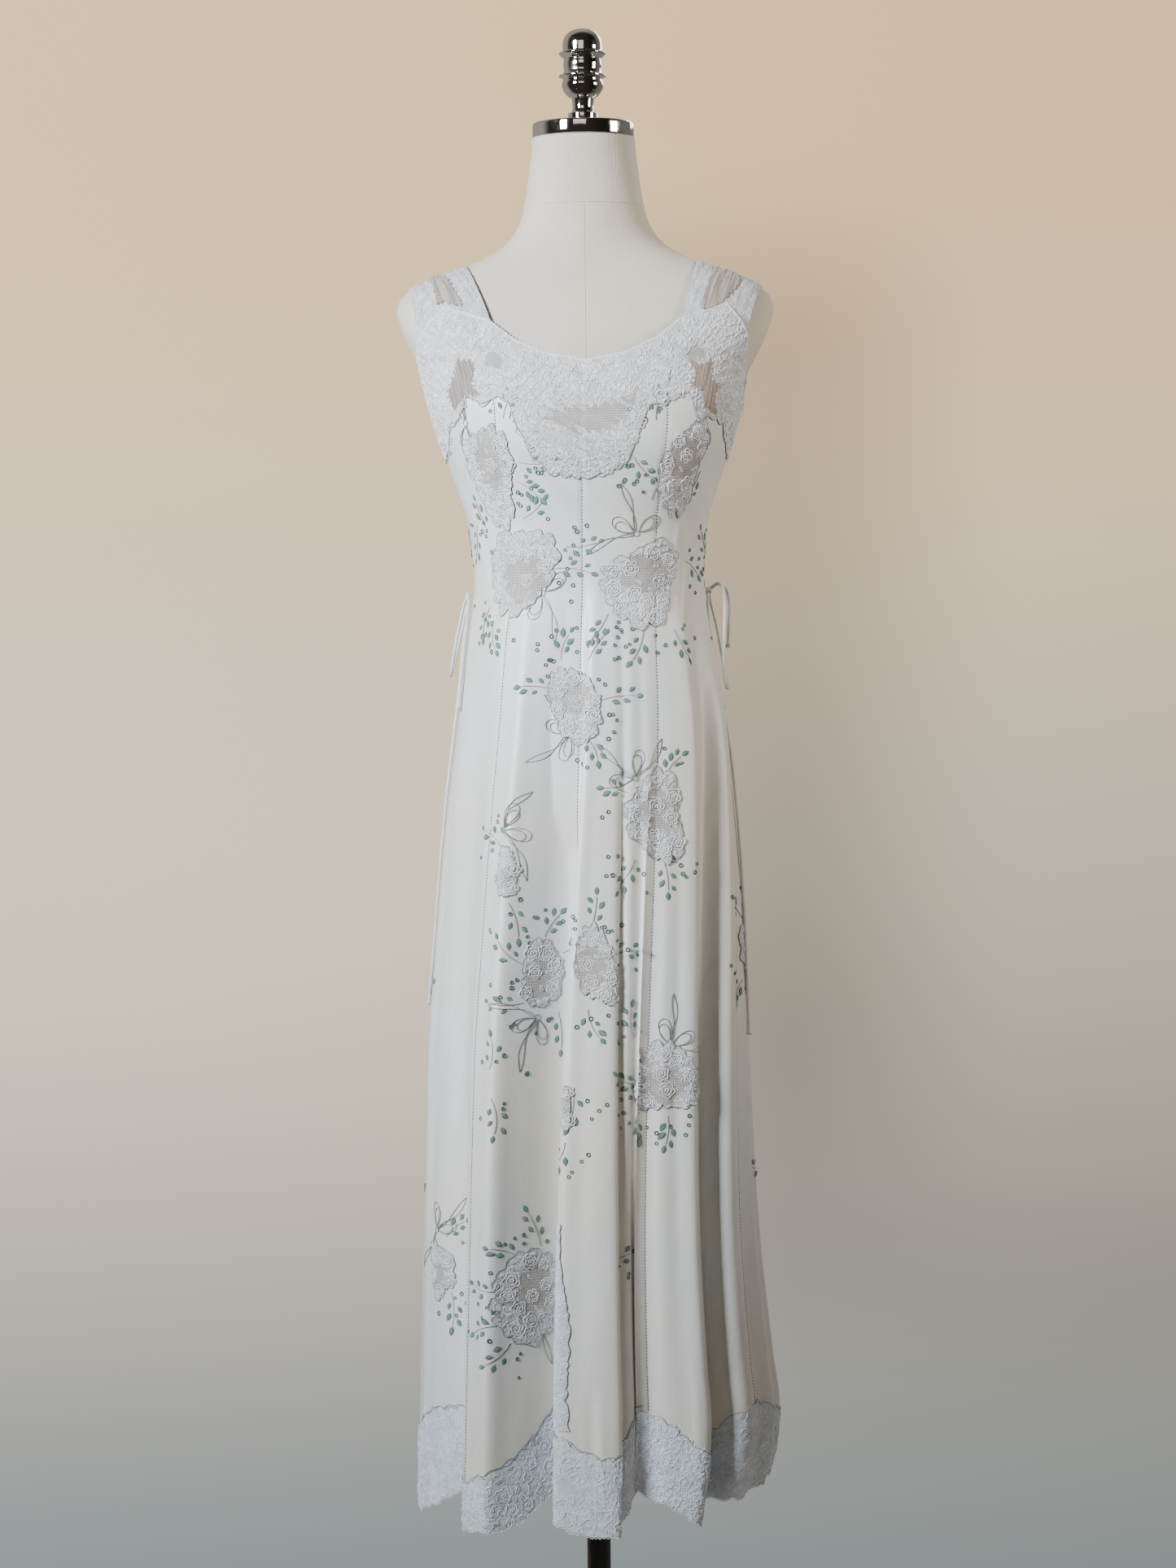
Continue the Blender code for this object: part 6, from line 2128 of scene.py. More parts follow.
class SLIPDRESS_OT_ties(PieceBuilder, bpy.types.Operator):
    """Build the spaghetti ties at the sides of the waist, with their knots"""

    bl_idname = "slip_dress.build_ties"
    bl_label = "Side ties"

    def execute(self, context):
        material = shared_material("satin_tube", lambda: tie_material(dress_colour("tie_colour")))
        for tie in TIES:
            self.build_tie(tie, material)
        for name, lay in KNOTS.items():
            facing = dress_directions(np.float64(lay.station), np.float64(lay.height))[1]
            size = (KNOT_RADIUS + 0.0009, TIE_RADIUS)
            mesh = knot_mesh(name + "_tied", lay_point(lay), *size, facing)
            add_piece(name + "_tied", mesh, material, "tie_satin", [name])
        return {"FINISHED"}

    def build_tie(self, tie, material):
        points = tie_route(tie)
        curve = tube_curve(tie.name + "_tube", points, TIE_RADIUS, False)
        piece = add_piece(tie.name + "_tube", curve, material, "tie_satin", [tie.name])
        if tie.is_loop:
            return
        way = points[-1] - points[-2]
        name = tie.name + "_end"
        mesh = knot_mesh(name, points[-1] + unit(way) * 0.0012, 0.0034, 0.0013, unit(way))
        end = add_piece(name, mesh, material, "tie_satin")


FORM_COLUMNS, FORM_STEP = 112, 0.006  # points round the torso, and how far apart its rings are


class SLIPDRESS_OT_form(PieceBuilder, bpy.types.Operator):
    """Build the padded torso with its neck and shoulder stubs"""

    bl_idname = "slip_dress.build_form"
    bl_label = "Dress form"

    def execute(self, context):
        settings = context.scene.dress_form
        fine = np.linspace(FORM_SECTIONS[0].height, FORM_SECTIONS[-1].height, 3000)
        half = form_section(fine)[0]
        length = np.concatenate([[0.0], np.cumsum(np.hypot(np.diff(fine), np.diff(half)))])
        heights = np.interp(np.arange(0.0, length[-1], FORM_STEP), length, fine)
        heights = np.append(heights, FORM_SECTIONS[-1].height)
        columns = FORM_COLUMNS
        angle = circle_angles(columns)
        grid = []
        for height in heights:
            reach, front, back, squareness = form_section(np.float64(height))
            across, outward, _ = section_points(angle, reach, reach, front, back, squareness)
            grid.append(np.stack([across, outward, np.full(columns, height)], axis=-1))
        points = np.concatenate(grid)
        faces = []
        for row in range(len(heights) - 1):
            for i in range(columns):
                j = (i + 1) % columns
                a, b = row * columns, (row + 1) * columns
                faces.append([a + i, a + j, b + j, b + i])
        faces.append(list(range(columns))[::-1])
        last = (len(heights) - 1) * columns
        faces.append([last + i for i in range(columns)])
        mesh = new_mesh("form_torso_linen", points, faces, None, 40.0)
        material = shared_material("linen_cover", lambda: linen_material(tuple(settings.linen_colour)))
        add_piece("form_torso_linen", mesh, material, "linen", ["form_torso"])
        add_threads("form_seams", self.seam_lines(), settings.seam_width, material, 6)
        return {"FINISHED"}

    def seam_lines(self):
        """The welt round the foot of the neck, and one down the middle of the front and of the back."""
        around, down = circle_angles(160), np.linspace(NECK_SEAM, SEAM_FOOT, 60)
        neck = form_points(around, np.full(len(around), NECK_SEAM))
        front, back = (form_points(np.full(len(down), angle), down) for angle in (0.0, math.pi))
        return [(neck, True, 1.0), (front, False, 1.0), (back, False, 1.0)]


class SLIPDRESS_OT_stand(PieceBuilder, bpy.types.Operator):
    """Build the neck plate, the finial, the pole and the base"""

    bl_idname = "slip_dress.build_stand"
    bl_label = "Plate, finial and stand"

    def execute(self, context):
        chrome = shared_material("polished_chrome", chrome_material)
        black = shared_material("powder_coat", black_material)
        cap_foot = CAP_BOTTOM + PART_GAP
        finial_foot = CAP_BOTTOM + CAP_THICKNESS + 2 * PART_GAP
        pole_foot, pole_top = BASE_THICKNESS + PART_GAP, FORM_SECTIONS[0].height - PART_GAP
        pole = table(
            Turn,
            (0.0, pole_top), (POLE_RADIUS - 0.001, pole_top), (POLE_RADIUS, pole_top - 0.001),
            (POLE_RADIUS, pole_foot + 0.001), (POLE_RADIUS - 0.0005, pole_foot), (0.0, pole_foot),
        )
        pieces = [
            ("neck_cap", CAP_PROFILE, cap_foot, 0.0008, chrome, "chrome"),
            ("finial", FINIAL_PROFILE, finial_foot, 0.0006, chrome, "chrome"),
            ("stand_pole", pole, 0.0, 0.0004, black, "black_steel"),
            ("stand_base", BASE_PROFILE, 0.0, 0.0015, black, "black_steel"),
        ]
        for name, profile, foot, ease, material, slot in pieces:
            mesh = turned_mesh(name + "_turned", rounded_profile(profile, ease), foot)
            add_piece(name + "_turned", mesh, material, slot, [name])
        return {"FINISHED"}


class SLIPDRESS_OT_gores(PieceBuilder, bpy.types.Operator):
    """Build the eight satin gores"""

    bl_idname = "slip_dress.build_gores"
    bl_label = "Satin gores"

    def execute(self, context):
        for panel in GORES:
            build_panel(
                panel,
                GORE_LEVEL,
                lambda station: edge_height(YOKE_EDGE, station) + LACE_OVERLAP,
                lambda station: ring_steady("lace_height", station) - LACE_OVERLAP,
                0.0,
                SATIN_THICKNESS,
                satin(),
                "satin",
            )
        return {"FINISHED"}


class SLIPDRESS_OT_yokes(PieceBuilder, bpy.types.Operator):
    """Build the lace yoke, front and back, and the net inserts at the bust"""

    bl_idname = "slip_dress.build_yokes"
    bl_label = "Lace yoke"

    def execute(self, context):
        for panel in YOKES:
            build_panel(
                panel,
                YOKE_LEVEL,
                yoke_top,
                yoke_bottom,
                LACE_LIFT,
                LACE_THICKNESS,
                yoke_lace(),
                "lace",
                yoke_openness,
            )
        colours = {"net_bust_left": (0.30, 0.265, 0.24), "net_bust_right": (0.34, 0.26, 0.21)}
        for name, corners in BUST_NETS.items():
            self.build_net(name, corners, colours[name])
        return {"FINISHED"}

    def build_net(self, name, corners, colour):
        centre, outline = net_place(corners)
        surface = cloth_surface(centre)
        parts = patch_parts(surface, outline, NET_RINGS, LACE_LIFT + 0.0006, 0.0004)
        mesh = joined_patches(name + "_gathered", [parts])
        material = shared_material(name, lambda: net_material(name, colour, 0.0022))
        piece = add_piece(name + "_gathered", mesh, material, "net", [name])
        width, length = np.ptp(outline, axis=0)
        float(0.99 * abs(polygon_area(outline)))


# The straps' nets are drawn flat on a strap of this width and length, and gathered from a fuller cut
STRAP_WIDTH, STRAP_LENGTH, NET_FULLNESS = 0.08, 0.2, 1.15
STRAP_ROWS, STRAP_COLUMNS = 81, 37


class SLIPDRESS_OT_straps(PieceBuilder, bpy.types.Operator):
    """Build the gathered lace straps with their net inserts"""

    bl_idname = "slip_dress.build_straps"
    bl_label = "Straps"

    def execute(self, context):
        for strap in STRAPS:
            along = np.linspace(0.0, 1.0, STRAP_ROWS)[:, None]
            share = np.linspace(0.0, 1.0, STRAP_COLUMNS)[None, :]
            if strap.front_inner > strap.front_outer:
                share = share[:, ::-1]
            lifts = (0.0, -LACE_THICKNESS)
            outer, inner = (strap_points(strap, along, share, lift)[::-1] for lift in lifts)
            points, faces = grid_shell(outer, inner)
            width, length, _ = cut_size(outer)
            flat = np.broadcast_arrays(share * width, along[::-1] * length)
            flat = np.stack(flat, axis=-1).reshape(-1, 2)
            mesh = new_mesh(strap.name + "_gathered", points, faces, np.concatenate([flat, flat]))
            piece = add_piece(strap.name + "_gathered", mesh, gathered_lace(), "lace", [strap.name])
            self.build_net(strap, piece)
        return {"FINISHED"}

    def build_net(self, strap, strap_piece):
        name = strap.name.replace("strap", "net_strap")
        steps = np.linspace(0.0, 0.6, 121), np.linspace(0.0, 1.0, 61)
        along, share = np.meshgrid(*steps, indexing="ij")
        columns, rows, _ = seen_at(strap_points(strap, along, share))
        places = []
        for corner in STRAP_NETS[name]:
            pick = np.argmin(np.hypot(columns - corner.column, rows - corner.row))
            places.append((share.flat[pick] * STRAP_WIDTH, along.flat[pick] * STRAP_LENGTH))
        outline = closed_curve(places, NET_COLUMNS, 0.0016, 11)
        sign = -1.0 if strap.front_inner > strap.front_outer else 1.0
        if sign < 0:
            outline = outline[::-1]

        def surface(across, up, lift):
            return strap_points(strap, up / STRAP_LENGTH, across / STRAP_WIDTH, lift)

        parts = patch_parts(surface, outline, NET_RINGS, 0.0014, 0.0004)
        mesh = joined_patches(name + "_gathered", [parts])
        material = shared_material("net_strap", lambda: net_material("net_strap", (0.38, 0.32, 0.27), 0.0024))
        piece = add_piece(name + "_gathered", mesh, material, "net", [name])
        rings = parts[0][1 : 1 + NET_RINGS * NET_COLUMNS].reshape(NET_RINGS, NET_COLUMNS, 3)
        length, width = (float(size) * NET_FULLNESS for size in np.sort(np.ptp(rings[-1], axis=0))[::-1][:2])
        layer = sum(face.area for face in mesh.polygons) / 2


class SLIPDRESS_OT_hem_laces(PieceBuilder, bpy.types.Operator):
    """Build the lace border of the hem and the lace strip on the centre fold"""

    bl_idname = "slip_dress.build_hem_laces"
    bl_label = "Hem lace"

    def execute(self, context):
        for panel in HEM_LACES:
            build_panel(
                panel,
                HEM_LEVEL,
                hem_lace_top,
                hem_bottom,
                LACE_LIFT,
                LACE_THICKNESS,
                border_lace(),
                "lace",
                hem_openness,
            )
        strip = Panel("lace_strip_centre", 5 + 2 / 3, 6 + 1 / 3)
        stations, heights = panel_places(
            strip.first,
            strip.last,
            lambda station: np.full(len(station), STRIP_TOP),
            lambda station: np.full(len(station), STRIP_BOTTOM),
            0.0022,
            STRIP_LEVEL,
            0.004,
        )
        narrowing = 1.0 - 0.35 * soft_step(0.40, 0.53, heights)
        scallop = np.abs(np.sin(heights * 235.0 + 1.6 * np.sin(heights * 83.0))) ** 0.6
        edge = narrowing * (0.86 + 0.10 * scallop + 0.04 * np.sin(heights * 47.0))
        stations = strip.first + (stations - strip.first) * edge
        lift = LACE_LIFT + 0.0003
        mesh = cloth_shell(strip.name + "_cloth", stations, heights, lift, LACE_THICKNESS)
        piece = add_piece(strip.name + "_cloth", mesh, border_lace(), "lace", [strip.name])
        cloth_points(stations, heights, lift)
        line = cloth_points(stations[:, -1], heights[:, -1], lift + 0.0001)
        add_threads("strip_outline", [(line, False, 1.0)], dress_settings().outline_width, outline_thread())
        return {"FINISHED"}


BOW_SEED, SPRIG_SEED, MEDALLION_SEED = 300, 500, 600
LACEWORK_SEED, HIDDEN_SPRIG_SEED = 71, 77
LEAF_SEED, DOT_SEED, STITCH_SEED, PICOT_SEED = 21, 22, 31, 41
FLAT_THREAD_LIFT, LEAF_LIFT, DOT_LIFT = 0.0005, 0.0002, 0.0004
SCALE_ROWS, SCALE_PITCH, SCALE_ROW_DEPTH = 12, 0.0084, 0.0063


class SLIPDRESS_OT_medallions(PieceBuilder, bpy.types.Operator):
    """Lay the lobed lace medallions on the satin and outline them"""

    bl_idname = "slip_dress.build_medallions"
    bl_label = "Lace medallions"

    def execute(self, context):
        settings = dress_settings()
        parts, paths, flowers, curls = [], [], [], []
        for number, (place, outline) in enumerate(medallion_designs()):
            random = np.random.default_rng(MEDALLION_SEED + number)
            centre = (float(arc_at(*place)), place[1])
            openness = medallion_openness(outline, random)
            patch = (outline, MEDALLION_RINGS, MEDALLION_LIFT, MEDALLION_THICKNESS, centre, openness)
            parts.append(patch_parts(cloth_surface(place), *patch))
            laid = spread_on_cloth(place, outline[:, 0], outline[:, 1], MEDALLION_THREAD_LIFT)
            paths.append((laid, True, 1.0))
            some = medallion_lacework(place, outline, openness, random)
            flowers += some[0]
            curls += some[1]
        mesh = joined_patches("lace_medallions", parts)
        add_piece("lace_medallions", mesh, medallion_lace(), "lace")
        add_threads("medallion_outlines", paths, settings.outline_width, outline_thread(), 4)
        width, lift = settings.cord_width, MEDALLION_THREAD_LIFT
        add_threads("medallion_flowers", laid_paths(flowers, lift), width * 1.2, lace_thread(), 3)
        add_threads("medallion_curls", laid_paths(curls, lift), width, lace_thread(), 3)
        return {"FINISHED"}


class SLIPDRESS_OT_lacework(PieceBuilder, bpy.types.Operator):
    """Raise the cord of the yoke's and the hem's flowers, curls and scales"""

    bl_idname = "slip_dress.build_lacework"
    bl_label = "Raised lacework"

    def execute(self, context):
        width = dress_settings().cord_width
        random = np.random.default_rng(LACEWORK_SEED)
        nets = [net_place(corners) for corners in BUST_NETS.values()]
        around_yoke = (YOKE_LEVEL, yoke_flower_top, yoke_bottom, yoke_openness)
        yoke = band_lacework(*around_yoke, random, 0.0068, 0.0070, nets) + self.scales(random, nets)
        add_threads("yoke_lacework", laid_paths(yoke, LACE_LIFT + 0.0001), width, lace_thread(), 3)
        hem = band_lacework(HEM_LEVEL, hem_lace_top, hem_bottom, hem_openness, random, 0.0078, 0.0072)
        add_threads("hem_lacework", laid_paths(hem, LACE_LIFT + 0.0001), width, hem_thread(), 3)
        return {"FINISHED"}

    def scales(self, random, nets):
        """Rows of scales under the neck edge."""
        start, end = (float(arc_at(station, YOKE_LEVEL)) for station in (0, AROUND))
        motifs = []
        for row in range(SCALE_ROWS):
            arcs = np.arange(SCALE_PITCH / 2 * (row % 2), end - start, SCALE_PITCH)
            arcs = arcs + random.uniform(-0.0012, 0.0012)
            arcs = arcs + random.uniform(-0.0010, 0.0010, len(arcs))
            stations = station_at(start + arcs, np.full(len(arcs), YOKE_LEVEL))
            heights = yoke_top(stations) - 0.005 - SCALE_ROW_DEPTH * row
            heights = heights + random.uniform(-0.0008, 0.0008, len(arcs))
            floor = np.maximum(yoke_flower_top(stations) + 0.001, yoke_bottom(stations) + 0.004)
            keep = (heights > floor) & (yoke_openness(stations, heights) < SHUT_BELOW)
            keep &= off_the_nets(stations, heights, nets)
            for station, height in zip(stations[keep], heights[keep]):
                line = scale_line(0.0082 * random.uniform(0.85, 1.15), 0.0052, random.uniform(-0.5, 0.5))
                motifs.append(((station, height), line, False))
        return motifs


class SLIPDRESS_OT_embroidery(PieceBuilder, bpy.types.Operator):
    """Embroider the bows, the sprigs of leaves and the ring dots"""

    bl_idname = "slip_dress.build_embroidery"
    bl_label = "Embroidery"

    def execute(self, context):
        settings = dress_settings()
        lines, leaves, rings = [], [], []
        for number, bow in enumerate(FRONT_BOWS + HIDDEN_BOWS):
            place = cloth_at(bow.column, bow.row) if isinstance(bow, Bow) else (bow.station, bow.height)
            for line, closed in bow_lines(bow, BOW_SEED + number):
                lines.append((spread_on_cloth(place, *line.T, FLAT_THREAD_LIFT), closed, 1.0))
        sprigs = [(cloth_at(row.column, row.row), row.way, row.leaves) for row in FRONT_SPRIGS]
        sprigs += self.hidden_sprigs()
        for number, (place, way, count) in enumerate(sprigs):
            stem, shapes, dots = grown_sprig(way, count, SPRIG_SEED + number)
            lines.append((spread_on_cloth(place, *stem.T, FLAT_THREAD_LIFT), False, 0.95))
            leaves += [cloth_spot(place, *shape, LEAF_LIFT) for shape in shapes]
            rings += [cloth_spot(place, *dot, DOT_LIFT) for dot in dots]
        add_threads("bows_and_stems", lines, settings.bow_width, drawing_thread(), 3)
        colours = dress_colour("leaf_colour"), dress_colour("leaf_rim_colour")
        leaf = shared_material("satin_stitch", lambda: leaf_material(*colours))
        add_scattered("sprig_leaves", leaves, leaf_template(), settings.leaf_length, 0.08, LEAF_SEED, leaf)
        thread = dress_thread("ring_thread", "leaf_rim_colour", 0.35)
        add_scattered("ring_dots", rings, ring_template(), settings.dot_size, 0.1, DOT_SEED, thread)
        return {"FINISHED"}

    def hidden_sprigs(self):
        """Sprigs round the medallions that the front view doesn't show."""
        random = np.random.default_rng(HIDDEN_SPRIG_SEED)
        sprigs = []
        for row in HIDDEN_MEDALLIONS:
            for turn in np.arange(4) * 90.0 + random.uniform(15, 75):
                aim = math.radians(turn)
                up = row.half_height * math.sin(aim)
                height = row.height + up
                arc = float(arc_at(row.station, height)) + row.half_width * math.cos(aim)
                sprigs.append(((float(station_at(arc, height)), height), turn, int(random.integers(3, 6))))
        return sprigs


UNDER_STRAPS = 1.4615  # the neck edge has no loops above this height, where the straps cover it


class SLIPDRESS_OT_edges(PieceBuilder, bpy.types.Operator):
    """Sew the seams, outline the lace edges and loop the picots"""

    bl_idname = "slip_dress.build_edges"
    bl_label = "Seams and edges"

    def execute(self, context):
        settings = dress_settings()
        outlines = [
            (self.lace_edge(YOKE_EDGE_LEVEL, 0.0022, yoke_bottom), True, 1.0),
            (self.lace_edge(HEM_LEVEL, 0.0026, hem_lace_top), True, 1.0),
        ]
        add_threads("lace_outlines", outlines, settings.outline_width, outline_thread())
        around = np.linspace(0.0, AROUND, 1400)[:-1]
        rolled = cloth_points(around, yoke_top(around), LACE_LIFT - 0.0002)
        white = lace_thread()
        add_threads("rolled_edge", [(rolled, True, 1.0)], settings.rolled_width, white, 6)
        stitches = []
        for seam in SEAMS:
            top = float(edge_height(YOKE_EDGE, np.float64(seam)))
            bottom = float(ring_steady("lace_height", np.float64(seam)))
            heights = np.arange(top, bottom, -settings.stitch_pitch)
            stations = np.full(len(heights), float(seam))
            points = cloth_points(stations, heights, 0.0002)
            ahead = cloth_points(stations, heights - 0.002, 0.0002)
            _, facing = dress_directions(stations, heights)
            stitches += [Spot(p, f, a, 1.0) for p, f, a in zip(points, facing, unit(ahead - points))]
        size, thread = settings.stitch_length, drawing_thread()
        add_scattered("seam_stitches", stitches, stitch_template(), size, 0.1, STITCH_SEED, thread)
        pitch, lift = settings.picot_pitch, LACE_LIFT - 0.0002
        stations = np.linspace(0.0, AROUND, 1400)
        picots = edge_spots(stations, yoke_top(stations), lift, pitch, False)
        picots = [spot for spot in picots if spot.point[2] <= UNDER_STRAPS]
        ends = (float(arc_at(station, HEM_EDGE_LEVEL)) for station in (0, AROUND))
        stations = station_at(np.linspace(*ends, 2800), HEM_EDGE_LEVEL)
        picots += edge_spots(stations, hem_bottom(stations), lift, pitch, True)
        add_scattered("picots", picots, picot_template(), pitch, 0.12, PICOT_SEED, white)
        return {"FINISHED"}

    def lace_edge(self, level, step, height):
        """Points along an edge of the lace, spaced at a level."""
        start, end = (float(arc_at(station, level)) for station in (0, AROUND))
        stations = station_at(np.arange(0.0, end, step) + start, level)
        return cloth_points(stations, height(stations), LACE_LIFT + 0.0001)


# Rectangular lights, each aimed at a height over the middle of the stand
Lamp = namedtuple("Lamp", "name place aim width height colour spread")
LAMPS = [
    Lamp("key", (-2.84, -2.8, 2.5), 1.48, 1.0, 1.2, (0.87, 0.93, 1.0), 48),
    Lamp("front", (-0.6, -4.2, 2.9), 1.3, 2.2, 1.2, (1.0, 0.92, 0.80), 180),
    Lamp("side", (3.2, -0.9, 1.9), 1.45, 1.0, 1.0, (1.0, 0.93, 0.84), 44),
    Lamp("back", (1.6, 3.2, 2.9), 1.2, 2.4, 1.6, (1.0, 0.95, 0.88), 180),
]
FLOOR_RADIUS, FLOOR_COLUMNS = 0.62, 96


class SLIPDRESS_OT_stage(PieceBuilder, bpy.types.Operator):
    """Set the floor, the lights and the surroundings"""

    bl_idname = "slip_dress.build_stage"
    bl_label = "Stage and lights"

    def execute(self, context):
        settings = context.scene.dress_stage
        self.build_floor(context, settings)
        for lamp in LAMPS:
            self.add_light(lamp, getattr(settings, lamp.name + "_power"))
        self.build_world(context, settings)
        return {"FINISHED"}

    def build_floor(self, context, settings):
        radius, count = FLOOR_RADIUS, FLOOR_COLUMNS
        angle = circle_angles(count)
        points = [(radius * math.cos(a), radius * math.sin(a), z) for z in (0.0, -0.01) for a in angle]
        faces = [list(range(count)), list(range(count, 2 * count))[::-1]]
        faces += [[i, count + i, count + (i + 1) % count, (i + 1) % count] for i in range(count)]
        mesh = new_mesh("floor", points, faces, None, 30.0)
        floor = bpy.data.objects.new("floor", mesh)
        context.scene.collection.objects.link(floor)
        material, tree, shader = new_material("floor_paint", 0.85)
        solid = texture_source(tree, "Object")
        colour = tuple(settings.floor_colour)
        paint = mixed_colour(tree, noise(tree, solid, 12.0), colour, toned(colour, 0.94))
        tree.links.new(paint, shader.inputs["Base Color"])
        mesh.materials.append(material)

    def add_light(self, lamp, power):
        data = bpy.data.lights.new(lamp.name, "AREA")
        data.shape = "RECTANGLE"
        data.size, data.size_y = lamp.width, lamp.height
        data.energy = power
        data.color = lamp.colour
        data.spread = math.radians(lamp.spread)
        light = bpy.data.objects.new(lamp.name, data)
        way = Vector((0.0, 0.0, lamp.aim)) - Vector(lamp.place)
        light.visible_camera = False
        turn = way.to_track_quat("-Z", "Y").to_matrix().to_4x4()
        light.matrix_world = Matrix.Translation(lamp.place) @ turn
        bpy.context.scene.collection.objects.link(light)

    def build_world(self, context, settings):
        world = bpy.data.worlds.new("studio")
        context.scene.world = world
        world.use_nodes = True
        tree = world.node_tree
        back = tree.nodes["Background"]
        output = tree.nodes["World Output"]
        path = tree.nodes.new("ShaderNodeLightPath")
        parts = tree.nodes.new("ShaderNodeSeparateXYZ")
        tree.links.new(texture_source(tree, "Generated"), parts.inputs["Vector"])
        front = remap(tree, parts.outputs["Y"], -0.15, 0.35)
        room = mixed_colour(tree, front, (0.08, 0.07, 0.06), (0.95, 0.88, 0.78))
        aside, up = parts.outputs["X"], parts.outputs["Z"]
        right = mixed_colour(tree, remap(tree, aside, 0.0, 0.8), WHITE, (0.45, 0.45, 0.45))
        tree.links.new(mixed_colour(tree, 1.0, room, right, "MULTIPLY"), back.inputs["Color"])
        back.inputs["Strength"].default_value = 0.36
        seen = tree.nodes.new("ShaderNodeBackground")
        # Painted shade on the backdrop seen by the camera: darker and bluer towards the bottom.
        gains = ((0.22, 0.36, 0.68), (0.84, 1.02, 1.42))
        low, middle = (tuple(v * g for v, g in zip(settings.backdrop_colour, gain)) for gain in gains)
        tone = mixed_colour(tree, remap(tree, up, -0.22, -0.04), low, middle)
        tone = mixed_colour(tree, remap(tree, up, -0.05, 0.14), tone, tuple(settings.backdrop_colour))
        for share, shade in self.painted_backdrop_shades(tree, aside, up):
            shaded_part = mixed_colour(tree, share, WHITE, shade)
            tone = mixed_colour(tree, 1.0, tone, shaded_part, "MULTIPLY")
        tree.links.new(tone, seen.inputs["Color"])
        mix = tree.nodes.new("ShaderNodeMixShader")
        tree.links.new(path.outputs["Is Camera Ray"], mix.inputs[0])
        tree.links.new(back.outputs["Background"], mix.inputs[1])
        tree.links.new(seen.outputs["Background"], mix.inputs[2])
        tree.links.new(mix.outputs["Shader"], output.inputs["Surface"])

    def painted_backdrop_shades(self, tree, aside, up):
        """The backdrop's painted shades (share, colour): darker away from the key light, darker low down on
        the right, and the dress's painted shadow just to its right.
        """
        low = product(tree, remap(tree, up, -0.10, 0.06, 1.0, 0.0), remap(tree, up, -0.20, -0.13))
        low = product(tree, low, remap(tree, aside, -0.02, 0.05))
        # The dress's painted shadow on the backdrop, in a band just to its right.
        right = remap(tree, aside, 0.045, 0.105, 1.0, 0.0)
        painted_dress_shadow = product(tree, remap(tree, aside, -0.02, 0.03), right)
        level = product(tree, remap(tree, up, 0.07, 0.12, 1.0, 0.0), remap(tree, up, -0.165, -0.075))
        away = remap(tree, aside, -0.16, 0.20)
        return [
            (away, (0.80, 0.79, 0.76)),
            (low, (0.66, 0.67, 0.70)),
            (product(tree, painted_dress_shadow, level), (0.62, 0.62, 0.62)),
        ]


# Settings and panel


def colour_setting(name, description, default):
    return FloatVectorProperty(
        name=name, description=description, subtype="COLOR", size=3, min=0.0, max=2.0, default=default
    )


def length_setting(name, description, default):
    return FloatProperty(
        name=name, description=description, unit="LENGTH", precision=5, min=0.0001, default=default
    )


def power_setting(name, description, default):
    return FloatProperty(name=name, description=description, unit="POWER", default=default)


class DressSettings(bpy.types.PropertyGroup):
    satin_colour: colour_setting("Satin", "Colour of the satin", (0.82, 0.808, 0.775))
    lace_colour: colour_setting("Lace", "Colour of the lace's threads", (0.835, 0.84, 0.872))
    hem_lace_colour: colour_setting("Hem lace", "Colour of the hem lace's threads", (0.88, 0.925, 1.0))
    # The ground colours are what shows through the lace, painted darker as the lining or form in shade under
    # it.
    net_ground_colour: colour_setting("Net ground", "Colour seen through open net", (0.33, 0.30, 0.265))
    hem_ground_colour: colour_setting("Hem ground", "Colour seen through the hem lace", (0.62, 0.66, 0.77))
    outline_colour: colour_setting("Outline thread", "Colour of the lace edges' thread", (0.27, 0.32, 0.30))
    thread_colour: colour_setting("Drawing thread", "Colour of bows, stems and seams", (0.17, 0.21, 0.19))
    leaf_colour: colour_setting("Leaves", "Colour of the satin-stitched leaves", (0.17, 0.32, 0.26))
    leaf_rim_colour: colour_setting("Leaf rims", "Colour of leaf rims and ring dots", (0.045, 0.12, 0.09))
    tie_colour: colour_setting("Ties", "Colour of the side ties", (0.72, 0.70, 0.67))
    across_step: length_setting("Cloth step across", "Spacing of the satin's points across", 0.0032)
    up_step: length_setting("Cloth step up", "Spacing of the satin's points up", 0.009)
    lace_step: length_setting("Lace step", "Spacing of the lace's points", 0.0026)
    outline_width: length_setting("Outline", "Thickness of the thread round lace edges", 0.0008)
    rolled_width: length_setting("Rolled edge", "Thickness of the rolled top edge", 0.0015)
    cord_width: length_setting("Lace cord", "Thickness of the cord of lace flowers", 0.0012)
    bow_width: length_setting("Bow thread", "Thickness of the thread of bows and stems", 0.00075)
    leaf_length: length_setting("Leaf", "Length of a leaf", 0.0088)
    dot_size: length_setting("Ring dot", "Width of a ring dot", 0.0046)
    stitch_length: length_setting("Seam stitch", "Length of a seam's stitch", 0.0026)
    stitch_pitch: length_setting("Stitch spacing", "From one seam stitch to the next", 0.0033)
    picot_pitch: length_setting("Picot spacing", "From one edge loop to the next", 0.0042)


class FormSettings(bpy.types.PropertyGroup):
    linen_colour: colour_setting("Linen", "Colour of the dress form's cover", (0.68, 0.61, 0.50))
    seam_width: length_setting("Form seam", "Thickness of the welts of the form's seams", 0.0010)


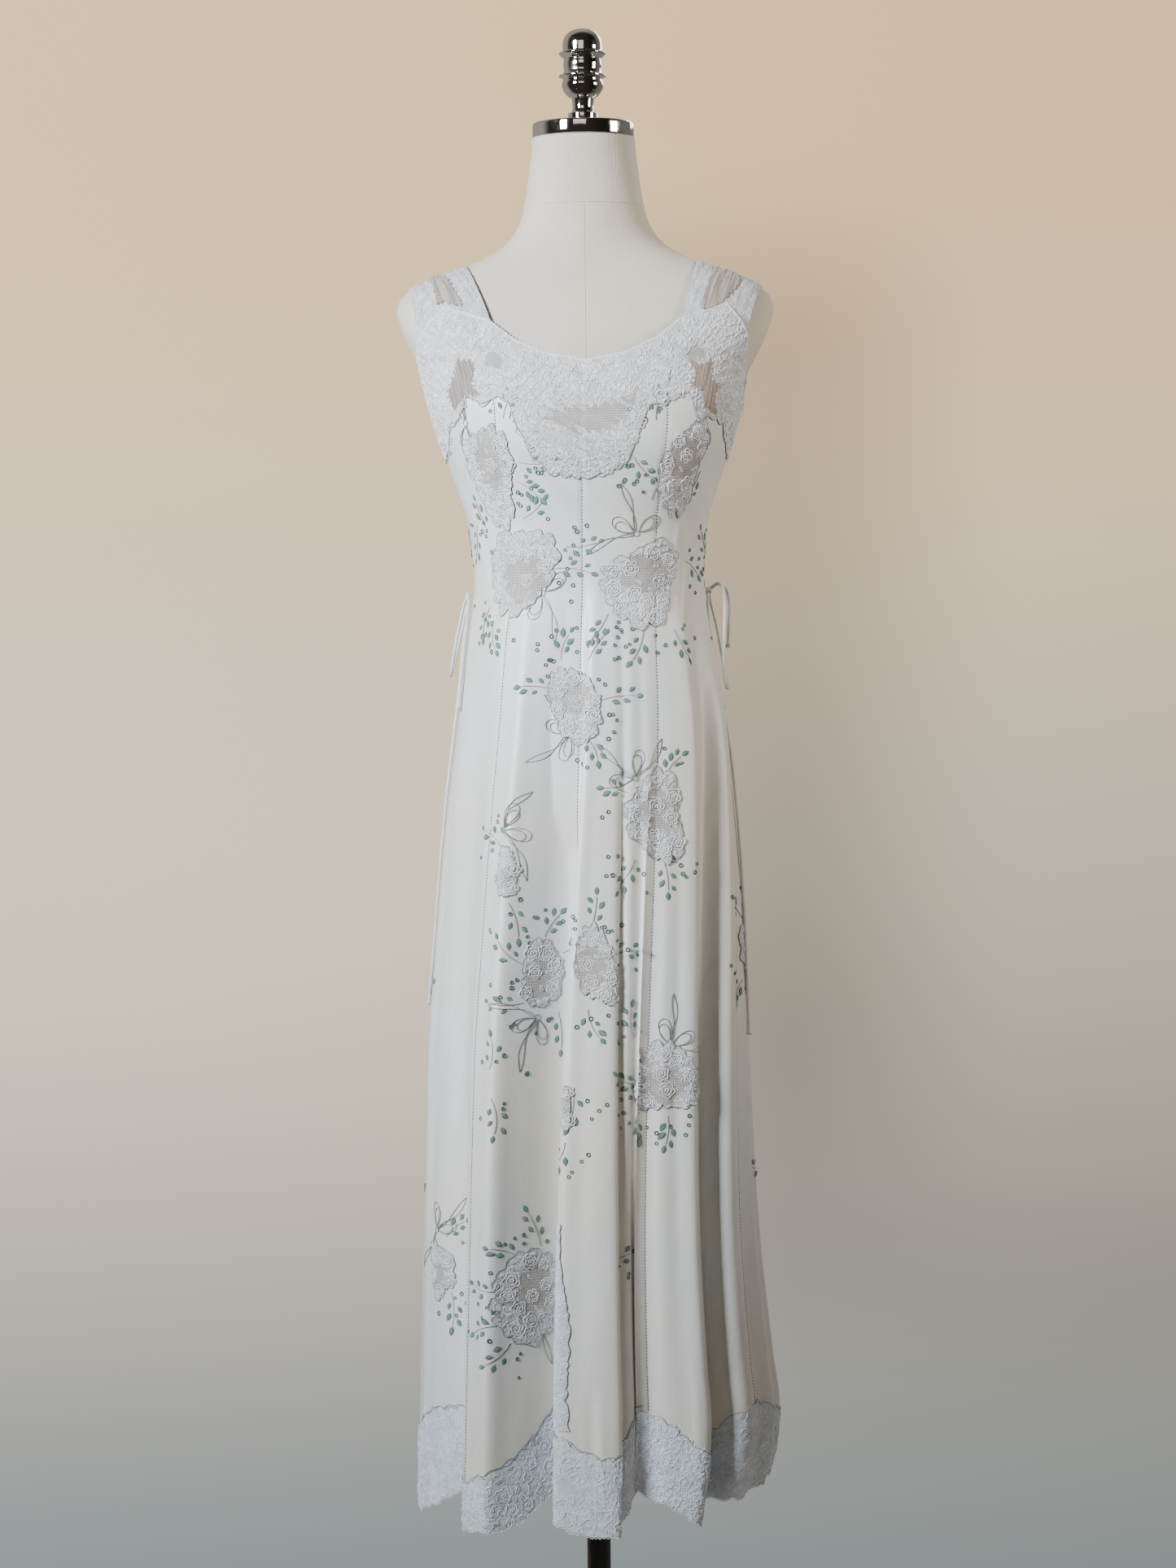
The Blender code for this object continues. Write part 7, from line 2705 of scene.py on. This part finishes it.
class StageSettings(bpy.types.PropertyGroup):
    backdrop_colour: colour_setting("Backdrop", "Colour behind the dress", (1.45, 1.02, 0.56))
    floor_colour: colour_setting("Floor", "Colour of the floor", (0.72, 0.68, 0.60))
    key_power: power_setting("Key", "Power of the main light", 39.0)
    front_power: power_setting("Front", "Power of the front light", 8.0)
    side_power: power_setting("Side", "Power of the side light", 6.0)
    back_power: power_setting("Back", "Power of the back light", 45.0)


BUILDERS = (
    SLIPDRESS_OT_camera,
    SLIPDRESS_OT_ties,
    SLIPDRESS_OT_form,
    SLIPDRESS_OT_stand,
    SLIPDRESS_OT_gores,
    SLIPDRESS_OT_yokes,
    SLIPDRESS_OT_straps,
    SLIPDRESS_OT_hem_laces,
    SLIPDRESS_OT_medallions,
    SLIPDRESS_OT_lacework,
    SLIPDRESS_OT_embroidery,
    SLIPDRESS_OT_edges,
    SLIPDRESS_OT_stage,
)


class SLIPDRESS_PT_build(bpy.types.Panel):
    """Lists the settings and the building steps"""

    bl_label = "Slip dress"
    bl_idname = "SLIPDRESS_PT_build"
    bl_space_type = "VIEW_3D"
    bl_region_type = "UI"
    bl_category = "Slip dress"

    def draw(self, context):
        scene = context.scene
        for group in (scene.slip_dress, scene.dress_form, scene.dress_stage):
            box = self.layout.box()
            for label in group.__annotations__:
                box.prop(group, label)
        column = self.layout.column(align=True)
        for builder in BUILDERS:
            column.operator(builder.bl_idname)


CLASSES = (DressSettings, FormSettings, StageSettings, *BUILDERS, SLIPDRESS_PT_build)


def register():
    for each in CLASSES:
        bpy.utils.register_class(each)
    bpy.types.Scene.slip_dress = PointerProperty(type=DressSettings)
    bpy.types.Scene.dress_form = PointerProperty(type=FormSettings)
    bpy.types.Scene.dress_stage = PointerProperty(type=StageSettings)


def unregister():
    del bpy.types.Scene.slip_dress
    del bpy.types.Scene.dress_form
    del bpy.types.Scene.dress_stage
    for each in reversed(CLASSES):
        bpy.utils.unregister_class(each)


def main():
    register()
    for thing in [thing for thing in bpy.data.objects if thing.type in {"CAMERA", "LIGHT"}]:
        bpy.data.objects.remove(thing, do_unlink=True)
    for builder in BUILDERS:
        group, name = builder.bl_idname.split(".")
        getattr(getattr(bpy.ops, group), name)()


if __name__ == "__main__":
    main()
